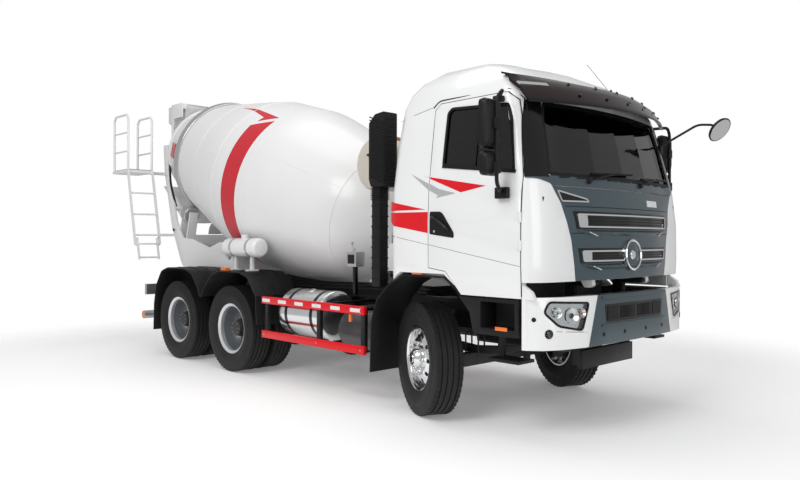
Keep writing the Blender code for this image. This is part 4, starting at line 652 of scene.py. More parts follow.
    def pipe(self, points: Sequence[Point], radius: float, sides: int = 10, bend: float = 0.0) -> "Piece":
        """Adds a round bar along points, its bends rounded off by bend."""
        path = rounded_path([Vector(p) for p in points], bend) if bend else [Vector(p) for p in points]
        first = (path[1] - path[0]).normalized()
        across = first.cross(Vector((0, 0, 1)))
        across = across.normalized() if across.length > 1e-3 else Vector((1, 0, 0))
        sections = []
        for i, point in enumerate(path):
            before, after = path[max(i - 1, 0)], path[min(i + 1, len(path) - 1)]
            into = (point - before).normalized() if i else (after - point).normalized()
            out = (after - point).normalized() if i < len(path) - 1 else into
            tangent = (into + out).normalized()
            across = (across - tangent * across.dot(tangent)).normalized()
            other = tangent.cross(across)
            angles = [2 * math.pi * (k + 0.5) / sides for k in range(sides)]
            sections.append([point + (across * math.cos(a) + other * math.sin(a)) * radius for a in angles])
        return self.loft(sections)

    def done(self, *replaced: str, sharp: float = 34.0, subdivide: int = 0) -> bpy.types.Object:
        """Args:
            replaced: frame nodes that it stands for.
            sharp: edges that turn more than this many degrees stay crisp.
            subdivide: levels of smoothing subdivision.

        Returns:
            The finished object.
        """
        data = bpy.data.meshes.new(self.name)
        self.mesh.transform(WORKSHOP)
        self.mesh.to_mesh(data)
        self.mesh.free()
        return finished(data, self.name, self.body, self.slot, self.finishes, replaced, sharp, subdivide)


def rounded_path(path: list[Vector], bend: float) -> list[Vector]:
    """A path with each corner replaced by a short arc of four points."""
    result = [path[0]]
    for before, corner, after in zip(path, path[1:], path[2:]):
        reach = min(bend, (corner - before).length * 0.45, (after - corner).length * 0.45)
        start = corner + (before - corner).normalized() * reach
        end = corner + (after - corner).normalized() * reach
        for share in (0.0, 0.25, 0.5, 0.75, 1.0):
            first, second = start.lerp(corner, share), corner.lerp(end, share)
            result.append(first.lerp(second, share))
    return result + [path[-1]]


def finished(
    data: bpy.types.Mesh, name: str, body: str, slot: str, finishes: Sequence[Finish],
    replaced: Sequence[str] = (), sharp: float = 34.0, subdivide: int = 0,
) -> bpy.types.Object:
    """Links a placed mesh as a piece of the truck.

    Args:
        data: the mesh, in the frame's coordinates.
        name: the piece's name.
        body: the frame body that it rides on.
        slot: the record's material slot; it is not used.
        finishes: the finishes, in the order of the mesh's material indices.
        replaced: frame nodes that it stands for.
        sharp: the crisp-edge angle in degrees.
        subdivide: levels of smoothing subdivision.

    Returns:
        The finished object.
    """
    made = bpy.data.objects.new(name, data)
    bpy.context.scene.collection.objects.link(made)
    data.name = name
    for finish in finishes:
        data.materials.append(finish.material())
    data.shade_smooth()
    data.set_sharp_from_angle(angle=math.radians(sharp))
    if subdivide:
        modifier = made.modifiers.new("smooth", "SUBSURF")
        modifier.levels = modifier.render_levels = subdivide
    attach(made, body)
    if replaced:
        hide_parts(*replaced)
    return made


def refined(
    node: str, slot: str, finish: Finish, bevel: float = 0.004, name: str = "", sharp: float = 36.0,
) -> bpy.types.Object:
    """A frame node remade with merged faces and rounded edges, standing for the node.

    Args:
        node: the frame node.
        slot: the record's material slot, passed on but not used.
        finish: its finish.
        bevel: radius of its edges.
        name: the piece's name, or the node's with _body added.
        sharp: the angle above which an edge is rounded.

    Returns:
        The finished object.
    """
    source = frame["nodes"][node]
    made = bmesh.new()
    made.from_mesh(source.data)
    bmesh.ops.remove_doubles(made, verts=made.verts, dist=2e-5)
    bmesh.ops.dissolve_limit(made, angle_limit=math.radians(0.8), verts=made.verts, edges=made.edges)
    data = bpy.data.meshes.new(node)
    made.to_mesh(data)
    made.free()
    temporary = bpy.data.objects.new("temporary", data)
    bpy.context.scene.collection.objects.link(temporary)
    if bevel:
        modifier = temporary.modifiers.new("edges", "BEVEL")
        modifier.width = bevel
        modifier.segments = 2
        modifier.limit_method = "ANGLE"
        modifier.angle_limit = math.radians(sharp)
        modifier.harden_normals = False
    bpy.context.view_layer.update()
    graph = bpy.context.evaluated_depsgraph_get()
    result = bpy.data.meshes.new_from_object(temporary.evaluated_get(graph))
    bpy.data.objects.remove(temporary)
    for face in result.polygons:
        face.material_index = 0
    body = body_of(source)[0]
    return finished(result, name or f"{node}_body", body, slot, [finish], (node,), sharp=40.0)


# ---------------------------------------------------------------- repeated small things by Geometry Nodes
class Layout(enum.Enum):
    """How a node recipe spreads its copies."""

    RING = "ring"
    GRID = "grid"


class Repeat:
    """A Geometry Nodes recipe that copies one small mesh round a ring or over a grid."""

    trees: dict = {}

    @classmethod
    def tree(cls, layout: Layout) -> bpy.types.NodeTree:
        """The recipe's tree for a layout, built the first time it is asked for.

        Args:
            layout: ring or grid.

        Returns:
            The node tree, with named inputs.
        """
        if layout in cls.trees:
            return cls.trees[layout]
        tree = bpy.data.node_groups.new(f"repeat_{layout.value}", "GeometryNodeTree")
        tree.interface.new_socket("Geometry", in_out="OUTPUT", socket_type="NodeSocketGeometry")
        wanted = (("Item", "Object"), ("Count", "Int"), ("Radius", "Float"), ("Material", "Material"))
        if layout is Layout.GRID:
            wanted = (
                ("Item", "Object"), ("Across", "Int"), ("Up", "Int"), ("Step Across", "Float"), ("Step Up", "Float"),
                ("Stagger", "Float"), ("Material", "Material"),
            )
        for title, kind in wanted:
            tree.interface.new_socket(title, in_out="INPUT", socket_type=f"NodeSocket{kind}")
        board = NodeBoard(tree)
        inside, out = board.add("NodeGroupInput"), board.add("NodeGroupOutput")
        item = board.add("GeometryNodeObjectInfo")
        copies = board.add("GeometryNodeInstanceOnPoints")
        plain = board.add("GeometryNodeRealizeInstances")
        paint = board.add("GeometryNodeSetMaterial")
        if layout is Layout.RING:
            cls.ring(board, inside, copies)
        else:
            cls.grid(board, inside, copies)
        board.join(
            (inside.outputs["Item"], item.inputs["Object"]),
            (item.outputs["Geometry"], copies.inputs["Instance"]),
            (copies.outputs["Instances"], plain.inputs[0]), (plain.outputs[0], paint.inputs["Geometry"]),
            (inside.outputs["Material"], paint.inputs["Material"]), (paint.outputs[0], out.inputs[0]),
        )
        cls.trees[layout] = tree
        return tree

    @staticmethod
    def ring(board: NodeBoard, inside: bpy.types.Node, copies: bpy.types.Node) -> None:
        """Spreads points on a circle about Z, each copy turned to face outwards."""
        circle = board.add("GeometryNodeMeshCircle")
        index = board.add("GeometryNodeInputIndex")
        rotation = board.add("ShaderNodeCombineXYZ")
        angle = board.math("MULTIPLY", index.outputs[0], board.math("DIVIDE", 2 * math.pi, inside.outputs["Count"]))
        board.join(
            (inside.outputs["Count"], circle.inputs["Vertices"]), (inside.outputs["Radius"], circle.inputs["Radius"]),
            (angle, rotation.inputs["Z"]), (circle.outputs["Mesh"], copies.inputs["Points"]),
            (rotation.outputs[0], copies.inputs["Rotation"]),
        )

    @staticmethod
    def grid(board: NodeBoard, inside: bpy.types.Node, copies: bpy.types.Node) -> None:
        """Spreads points over a centred grid in X and Y, every other row shifted by the stagger."""
        across, given = inside.outputs["Across"], inside.outputs
        line = board.add("GeometryNodeMeshLine", mode="OFFSET")
        place = board.add("ShaderNodeCombineXYZ")
        put = board.add("GeometryNodeSetPosition")
        index = board.add("GeometryNodeInputIndex").outputs[0]
        row = board.math("FLOOR", board.math("DIVIDE", index, across))
        shift = board.math("MULTIPLY", board.math("MODULO", row, 2.0), given["Stagger"])
        column = board.math("ADD", board.math("MODULO", index, across), shift)
        board.join(
            (board.math("MULTIPLY", across, given["Up"]), line.inputs["Count"]),
            (board.math("MULTIPLY", column, given["Step Across"]), place.inputs["X"]),
            (board.math("MULTIPLY", row, given["Step Up"]), place.inputs["Y"]),
            (line.outputs["Mesh"], put.inputs["Geometry"]), (place.outputs[0], put.inputs["Position"]),
            (put.outputs[0], copies.inputs["Points"]),
        )

    @classmethod
    def mesh(
        cls, layout: Layout, item: bmesh.types.BMesh, finish: Finish, **values: object
    ) -> bpy.types.Mesh:
        """Runs the recipe once.

        Args:
            layout: ring or grid.
            item: the small mesh to copy, which is freed.
            finish: the finish set on the copies.
            values: the recipe's other inputs, with underscores for spaces.

        Returns:
            A plain mesh of all the copies.
        """
        bmesh.ops.recalc_face_normals(item, faces=item.faces)
        seed_mesh = bpy.data.meshes.new("item")
        item.to_mesh(seed_mesh)
        item.free()
        seed = bpy.data.objects.new("item", seed_mesh)
        holder = bpy.data.objects.new("holder", bpy.data.meshes.new("holder"))
        for made in (seed, holder):
            bpy.context.scene.collection.objects.link(made)
        tree = cls.tree(layout)
        modifier = holder.modifiers.new("repeat", "NODES")
        modifier.node_group = tree
        inputs = {
            "Item": seed, "Material": finish.material(),
            **{k.replace("_", " "): v for k, v in values.items()}
        }
        for socket in tree.interface.items_tree:
            if socket.in_out == "INPUT" and socket.name in inputs:
                modifier[socket.identifier] = inputs[socket.name]
        bpy.context.view_layer.update()
        graph = bpy.context.evaluated_depsgraph_get()
        result = bpy.data.meshes.new_from_object(holder.evaluated_get(graph))
        bpy.data.objects.remove(holder)
        bpy.data.objects.remove(seed)
        return result


def small_prism(points: Sequence[tuple], depth: float) -> bmesh.types.BMesh:
    """A closed prism of (x, y) points, from z 0 up to depth."""
    made = bmesh.new()
    face = made.faces.new([made.verts.new((x, y, 0)) for x, y in points])
    moved = bmesh.ops.extrude_face_region(made, geom=[face])
    bmesh.ops.translate(
        made, vec=(0, 0, depth), verts=[v for v in moved["geom"] if isinstance(v, bmesh.types.BMVert)]
    )
    return made


def polygon(sides: int, radius: float, turn: float = 0.0) -> list[tuple]:
    """A regular outline of so many sides."""
    return [
        (
            radius * math.cos(2 * math.pi * (k + turn) / sides),
            radius * math.sin(2 * math.pi * (k + turn) / sides),
        )
        for k in range(sides)
    ]


def facing(place: Point, outward: Point, up: Point = (0, 0, 1)) -> Matrix:
    """A matrix that puts a mesh's Z along outward and its Y along up, at a place."""
    z = Vector(outward).normalized()
    x = Vector(up).cross(z).normalized()
    y = z.cross(x)
    return Matrix.Translation(place) @ Matrix((x, y, z)).transposed().to_4x4()


def cylinder_item(radius: float, depth: float, sides: int = 6, dome: float = 0.0) -> bmesh.types.BMesh:
    """A bolt head or stud along Z, with a smaller top when domed."""
    made = bmesh.new()
    low = [made.verts.new((x, y, 0)) for x, y in polygon(sides, radius)]
    mid = [made.verts.new((x, y, depth * 0.75)) for x, y in polygon(sides, radius)]
    top = [made.verts.new((x * (1 - dome), y * (1 - dome), depth)) for x, y in polygon(sides, radius)]
    for a, b in ((low, mid), (mid, top)):
        for i in range(sides):
            j = (i + 1) % sides
            made.faces.new((a[i], a[j], b[j], b[i]))
    made.faces.new(list(reversed(low)))
    made.faces.new(top)
    return made


# ---------------------------------------------------------------- wheels
@dataclass
class Tyre:
    """A truck tyre's section with circumferential grooves, and the lugs on its shoulders."""

    radius: float = AXLE_Z
    width: float = 0.28
    bead: float = 0.292
    groove: float = 0.012
    sides: int = 96
    lugs: int = 54

    def section(self) -> list[tuple[float, float]]:
        """The section from the inner bead over the tread to the outer bead, as (along, radius)."""
        half, top = self.width / 2, self.radius - 0.004
        wall = [
            (half - 0.042, self.bead), (half - 0.030, self.bead + 0.012), (half - 0.026, self.bead + 0.020),
            (half - 0.010, self.bead + 0.060), (half, self.bead + 0.105), (half - 0.002, self.bead + 0.140),
            (half - 0.006, self.bead + 0.148), (half - 0.003, self.bead + 0.156), (half - 0.010, top - 0.035),
            (half - 0.014, top - 0.010), (half - 0.022, top - 0.002),
        ]
        tread = []
        for centre in (0.078, 0.027):
            tread += [
                (centre + 0.007, top), (centre + 0.005, top - self.groove),
                (centre - 0.005, top - self.groove), (centre - 0.007, top),
            ]
        outer = wall + tread
        return [(-along, r) for along, r in outer] + list(reversed(outer))

    def build(self, piece: Piece, centre: Point, outward: Point) -> None:
        """Adds the tyre and its lugs to a piece.

        Args:
            piece: the piece to add to.
            centre: the tyre's middle, in workshop coordinates.
            outward: its axle's direction.
        """
        inner = [(0.08, self.bead + 0.02), (-0.08, self.bead + 0.02)]
        piece.turned(self.section() + inner, centre, outward, self.sides)
        for way in (-1, 1):
            block = small_prism([(0, -0.008), (0.0085, -0.008), (0.0085, 0.010), (0, 0.012)], 0.036)
            bmesh.ops.translate(block, vec=(-0.0035, 0, -0.018), verts=block.verts)
            ring = Repeat.mesh(Layout.RING, block, RUBBER, Count=self.lugs, Radius=self.radius - 0.006)
            side = Vector(centre) + Vector(outward) * (way * (self.width / 2 - 0.036))
            piece.take_mesh(ring, facing(side, outward))


@dataclass
class FrontWheel:
    """A steered wheel: its tyre and a polished outset disc with ten studs and ten hand holes."""

    side: int
    offset: float = 0.16
    kingpin: float = 0.86
    studs: int = 10

    def pose(self) -> tuple[Vector, Vector]:
        """The tyre's centre and the direction of its axle, read from the frame."""
        name = SIDE_NAMES[self.side]
        centre = middle_of(f"tyre_front_{name}") - Vector((0, DATUM_Y, 0))
        centre.z = AXLE_Z
        outward = (centre - Vector((self.side * self.kingpin, 0, AXLE_Z))).normalized()
        return centre, outward

    def build(self) -> None:
        """Builds and dresses the tyre and the rim."""
        name = SIDE_NAMES[self.side]
        centre, outward = self.pose()
        tyre = Piece(f"front_tyre_{name}", f"front_wheel_{name}", "tyre", RUBBER)
        Tyre().build(tyre, centre, outward)
        tyre.done(f"tyre_front_{name}")
        self.rim(centre, outward).done(f"rim_front_{name}", sharp=28)

    def rim(self, centre: Vector, outward: Vector) -> Piece:
        """The alloy disc with its holes, studs, hub and valve.

        Args:
            centre: the tyre's middle.
            outward: the axle's direction.

        Returns:
            The open piece.
        """
        name = SIDE_NAMES[self.side]
        rim = Piece(f"front_rim_{name}", f"front_wheel_{name}", "alloy", ALLOY)
        barrel = [
            (-0.104, 0.291), (-0.104, 0.276), (0.02, 0.272), (0.06, 0.262), (0.083, 0.262),
            (0.098, 0.268), (0.104, 0.276), (0.110, 0.288), (0.112, 0.297), (0.104, 0.299),
            (0.098, 0.291),
        ]
        rim.turned(barrel, centre, outward, 72)
        rim.take_mesh(self.pierced_disc(), facing(centre, outward))
        rim.turned(
            [
                (0.02, 0.0), (0.02, 0.098), (0.100, 0.098), (0.118, 0.094), (0.150, 0.076),
                (0.163, 0.060), (0.166, 0.0),
            ],
            centre, outward, 48,
        )
        rim.use(CHROME)
        bolt_plane = centre + outward * 0.097
        nut = Repeat.mesh(
            Layout.RING, cylinder_item(0.0165, 0.034, 6, 0.25), CHROME, Count=self.studs, Radius=0.1415,
        )
        rim.take_mesh(nut, facing(bolt_plane, outward))
        cap = Repeat.mesh(
            Layout.RING, cylinder_item(0.0085, 0.016, 8, 0.5), CHROME, Count=self.studs, Radius=0.1415,
        )
        rim.take_mesh(cap, facing(bolt_plane + outward * 0.032, outward))
        rim.turned([(0.166, 0.0), (0.166, 0.040), (0.172, 0.036), (0.172, 0.0)], centre, outward, 32)
        rim.use(IRON)
        rim.turned([(-0.095, 0.0), (-0.095, 0.20), (0.03, 0.20), (0.03, 0.0)], centre, outward, 36)
        return rim

    def pierced_disc(self) -> bpy.types.Mesh:
        """The curved disc along Z, with its ring of round hand holes cut through."""
        disc = Piece("disc", "chassis", "alloy", ALLOY)
        disc.turned(
            [
                (0.030, 0.264), (0.050, 0.240), (0.064, 0.222), (0.078, 0.200), (0.085, 0.175),
                (0.086, 0.085), (0.097, 0.085), (0.098, 0.172), (0.094, 0.190), (0.086, 0.206),
                (0.074, 0.226), (0.060, 0.250), (0.052, 0.266),
            ],
            (0, 0, 0), (0, 0, 1), 60,
        )
        holes = Repeat.mesh(
            Layout.RING, cylinder_item(0.021, 0.16, 16), ALLOY, Count=self.studs, Radius=0.204,
        )
        plate = bpy.data.meshes.new("disc")
        disc.mesh.to_mesh(plate)
        disc.mesh.free()
        objects = [bpy.data.objects.new("cut", mesh) for mesh in (plate, holes)]
        for made in objects:
            bpy.context.scene.collection.objects.link(made)
        modifier = objects[0].modifiers.new("holes", "BOOLEAN")
        modifier.operation = "DIFFERENCE"
        modifier.solver = "EXACT"
        modifier.object = objects[1]
        bpy.context.view_layer.update()
        graph = bpy.context.evaluated_depsgraph_get()
        result = bpy.data.meshes.new_from_object(objects[0].evaluated_get(graph))
        for made in objects:
            bpy.data.objects.remove(made)
        return result


@dataclass
class TwinWheel:
    """Two tyres on deep pressed rims, with the hub, studs and brake drum between them."""

    side: int
    place: str
    spacing: float = 0.325
    studs: int = 10

    def build(self) -> None:
        """Builds and dresses the whole twin wheel as one piece."""
        name = f"{self.place}_{SIDE_NAMES[self.side]}"
        low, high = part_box(f"twin_wheel_{name}")
        outer_face = self.side * max(abs(low.x), abs(high.x))
        outward = Vector((self.side, 0, 0))
        outer = Vector((outer_face - self.side * Tyre().width / 2, (low.y + high.y) / 2 - DATUM_Y, AXLE_Z))
        inner = outer - outward * self.spacing
        wheel = Piece(f"wheel_{name}", f"{self.place}_wheel_{SIDE_NAMES[self.side]}", "tyre", RUBBER)
        for centre in (outer, inner):
            Tyre().build(wheel, centre, outward)
        wheel.use(RIM_SILVER)
        for centre, way in ((outer, 1), (inner, -1)):
            lip = [
                (0.105, 0.291), (0.112, 0.302), (0.106, 0.305), (0.100, 0.297), (0.088, 0.291),
                (-0.09, 0.286), (-0.09, 0.276), (0.060, 0.274), (0.078, 0.268), (0.094, 0.270),
                (0.100, 0.281),
            ]
            wheel.turned([(way * along, radius) for along, radius in lip], centre, outward, 72)
        # Painted shade: the dish inside the silver lip is dark grey to stand for the shade in its recess.
        wheel.use(RIM_DISH_SHADE)
        dish = [
            (0.055, 0.275), (-0.04, 0.268), (-0.100, 0.240), (-0.132, 0.205), (-0.138, 0.100),
            (-0.150, 0.100), (-0.150, 0.262), (0.04, 0.282),
        ]
        wheel.turned(dish, outer, outward, 60)
        self.hub(wheel, outer, outward)
        wheel.done(f"twin_wheel_{name}", sharp=30)

    def hub(self, wheel: Piece, outer: Vector, outward: Vector) -> None:
        """Adds the hub, its studs, the valve stem and the brake drum.

        Args:
            wheel: the open piece.
            outer: the outer tyre's middle.
            outward: the axle's direction.
        """
        wheel.use(IRON)
        wheel.turned(
            [
                (-0.15, 0.0), (-0.15, 0.125), (-0.02, 0.108), (0.00, 0.098), (0.035, 0.094),
                (0.045, 0.075), (0.05, 0.0),
            ],
            outer, outward, 40,
        )
        wheel.turned([(-0.40, 0.0), (-0.40, 0.205), (-0.15, 0.205), (-0.15, 0.0)], outer, outward, 40)
        plane = outer - outward * 0.138
        wheel.use(ZINC)
        nuts = Repeat.mesh(
            Layout.RING, cylinder_item(0.017, 0.040, 6, 0.15), ZINC, Count=self.studs, Radius=0.168,
        )
        wheel.take_mesh(nuts, facing(plane, outward))
        flange = Repeat.mesh(Layout.RING, cylinder_item(0.008, 0.014, 6, 0.1), ZINC, Count=8, Radius=0.075)
        wheel.take_mesh(flange, facing(outer + outward * 0.043, outward))


# ---------------------------------------------------------------- cab
class CabSkin:
    """The cab's outer surface as numbers, so that trims and seals can follow it.

    The levels are (height, half width, front, rear), the same form as the frame's own body.
    """

    levels: tuple = (
        (1.14, 1.235, -1.405, 0.355), (1.40, 1.243, -1.415, 0.360), (1.75, 1.245, -1.410, 0.360),
        (2.05, 1.236, -1.375, 0.355), (2.45, 1.190, -1.285, 0.340), (2.80, 1.145, -1.190, 0.300),
        (2.93, 1.110, -1.110, 0.240), (3.04, 1.040, -0.980, 0.150), (3.13, 0.920, -0.780, 0.020),
        (3.185, 0.700, -0.520, -0.130), (3.20, 0.400, -0.380, -0.240),
    )
    bow = 0.085
    corner_depth = 0.17
    corner_width = 0.36

    @classmethod
    def level(cls, z: float) -> tuple[float, float, float]:
        """Half width, front and rear at a height."""
        levels = cls.levels
        for low, high in zip(levels, levels[1:]):
            if z <= high[0] or high is levels[-1]:
                share = min(max((z - low[0]) / (high[0] - low[0]), 0.0), 1.0)
                return tuple(a + (b - a) * share for a, b in zip(low[1:], high[1:]))
        return levels[-1][1:]

    @classmethod
    def front(cls, x: float, z: float) -> float:
        """Where the front skin is at a width and height."""
        half, front, rear = cls.level(z)
        length = rear - front
        bow, corner = min(cls.bow, 0.12 * length), min(cls.corner_depth, 0.25 * length)
        start = max(half - cls.corner_width, 0.3 * half)
        if abs(x) <= start:
            return front + bow * (x / start) ** 2
        share = min((abs(x) - start) / (half - start), 1.0)
        return front + bow + corner * (1 - math.sqrt(max(1 - share * share, 0)))

    @classmethod
    def side(cls, s: float, z: float) -> float:
        """The half width of the side skin at a station and height."""
        half, front, rear = cls.level(z)
        length = rear - front
        bow, corner = min(cls.bow, 0.12 * length), min(cls.corner_depth, 0.25 * length)
        start = max(half - cls.corner_width, 0.3 * half)
        depth = s - (front + bow)
        if depth >= corner:
            back = min(0.10, 0.2 * length)
            return half if s < rear - back else half - 0.3 * back * (s - rear + back) / back
        share = 1 - min(max(depth / corner, 0.0), 1.0)
        return start + (half - start) * math.sqrt(max(1 - share * share, 0))

    @classmethod
    def on_side(cls, side: int, s: float, z: float, proud: float) -> Vector:
        """A point on the side skin, proud of it by so much."""
        return Vector((side * (cls.side(s, z) + proud), s, z))

    @classmethod
    def on_corner(cls, side: int, angle: float, z: float, proud: float) -> Vector:
        """A point on the front corner, its angle running from the front (0) to the side (90)."""
        half, front, _ = cls.level(z)
        start = max(half - cls.corner_width, 0.3 * half)
        turn = math.radians(angle)
        x = start + (half - start) * math.sin(turn)
        s = front + cls.bow + cls.corner_depth * (1 - math.cos(turn))
        along, across = cls.corner_depth * math.sin(turn), (half - start) * math.cos(turn)
        normal = Vector((side * along, -across, 0)).normalized()
        return Vector((side * x, s, z)) + normal * proud

    @classmethod
    def corner_placer(cls, side: int) -> Callable[[float, float, float], Vector]:
        """A placer for one front corner, whose first coordinate is the angle over ANGLE_STEP."""
        def place(turn: float, z: float, proud: float) -> Vector:
            return cls.on_corner(side, turn * ANGLE_STEP, z, proud)
        return place

    @classmethod
    def on_front(cls, x: float, z: float, proud: float) -> Vector:
        """A point on the front skin, proud of it by so much."""
        slope = (cls.front(x + 0.01, z) - cls.front(x - 0.01, z)) / 0.02
        normal = Vector((slope, -1.0, 0)).normalized()
        return Vector((x, cls.front(x, z), z)) + normal * proud


def skin_patch(
    piece: Piece, outline: Sequence[tuple], place: Callable[[float, float, float], Vector],
    proud: float = 0.0014, depth: float = 0.002, step: float = 0.05,
) -> None:
    """Adds a thin sheet that follows a curved skin inside an outline.

    Args:
        piece: the piece to add to.
        outline: a closed outline in the skin's two coordinates.
        place: turns the two coordinates and a height over the skin into a point.
        proud: how far its face stands over the skin.
        depth: how thick it is.
        step: the size of its facets.
    """
    made = bmesh.new()
    made.faces.new([made.verts.new((a, b, 0)) for a, b in outline])
    lows = [min(p[k] for p in outline) for k in (0, 1)]
    highs = [max(p[k] for p in outline) for k in (0, 1)]
    for axis in (0, 1):
        cuts = int((highs[axis] - lows[axis]) / step)
        for k in range(1, cuts + 1):
            at = lows[axis] + (highs[axis] - lows[axis]) * k / (cuts + 1)
            centre, normal = [0, 0, 0], [0, 0, 0]
            centre[axis], normal[axis] = at, 1
            bmesh.ops.bisect_plane(
                made, geom=made.verts[:] + made.edges[:] + made.faces[:], plane_co=centre,
                plane_no=normal,
            )
    flat = [(v.co.x, v.co.y) for v in made.verts]
    made.verts.index_update()
    faces = [[v.index for v in f.verts] for f in made.faces]
    made.free()
    sheet = bmesh.new()
    tops = [sheet.verts.new(place(a, b, proud)) for a, b in flat]
    floors = [sheet.verts.new(place(a, b, proud - depth)) for a, b in flat]
    used: dict = {}
    for face in faces:
        sheet.faces.new([tops[i] for i in face])
        sheet.faces.new([floors[i] for i in reversed(face)])
        for i, j in zip(face, face[1:] + face[:1]):
            used[(i, j)] = used.get((i, j), 0) + 1
    for i, j in used:
        if (j, i) not in used:
            sheet.faces.new((tops[i], floors[i], floors[j], tops[j]))
    piece.take(sheet)


def inset(outline: Sequence[tuple], amount: float) -> list[tuple]:
    """An outline moved outwards by amount, or inwards if it is negative."""
    count = len(outline)
    area = sum(
        outline[i][0] * outline[(i + 1) % count][1] - outline[(i + 1) % count][0] * outline[i][1]
        for i in range(count)
    )
    turn = 1 if area > 0 else -1
    result = []
    for i in range(count):
        p, a, b = Vector(outline[i]), Vector(outline[i - 1]), Vector(outline[(i + 1) % count])
        first, second = (p - a).normalized(), (b - p).normalized()
        n1, n2 = Vector((first.y, -first.x)) * turn, Vector((second.y, -second.x)) * turn
        bisector = (n1 + n2).normalized()
        result.append(tuple(p + bisector * (amount / max(bisector.dot(n1), 0.3))))
    return result


def rounded(outline: Sequence[tuple], radius: float, count: int = 4) -> list[tuple]:
    """A closed outline with each corner rounded."""
    result = []
    total = len(outline)
    for i in range(total):
        p, a, b = Vector(outline[i]), Vector(outline[i - 1]), Vector(outline[(i + 1) % total])
        reach = min(radius, (a - p).length * 0.45, (b - p).length * 0.45)
        start, end = p + (a - p).normalized() * reach, p + (b - p).normalized() * reach
        for k in range(count + 1):
            share = k / count
            first, second = start.lerp(p, share), p.lerp(end, share)
            result.append(tuple(first.lerp(second, share)))
    return result


def seal_loop(
    piece: Piece, outline: Sequence[tuple], place: Callable, width: float, proud: float,
    depth: float = 0.006,
) -> None:
    """Adds a flat ring along an outline on a curved skin, as a window seal or a trim.

    Args:
        piece: the piece to add to.
        outline: the ring's centre line in the skin's two coordinates.
        place: turns the coordinates and a height into a point.
        width: the ring's width.
        proud: how far its face stands over the skin.
        depth: how deep it goes.
    """
    outer, inner = inset(outline, width / 2), inset(outline, -width / 2)
    sections = []
    count = len(outline)
    for i in range(count):
        j = (i + 1) % count
        steps = max(1, int((Vector(outline[j]) - Vector(outline[i])).length / 0.08))
        for k in range(steps):
            share = k / steps
            a = Vector(outer[i]).lerp(Vector(outer[j]), share)
            b = Vector(inner[i]).lerp(Vector(inner[j]), share)
            sections.append([
                place(a.x, a.y, proud - depth), place(a.x, a.y, proud),
                place(b.x, b.y, proud), place(b.x, b.y, proud - depth),
            ])
    piece.loft(sections, closed=True)


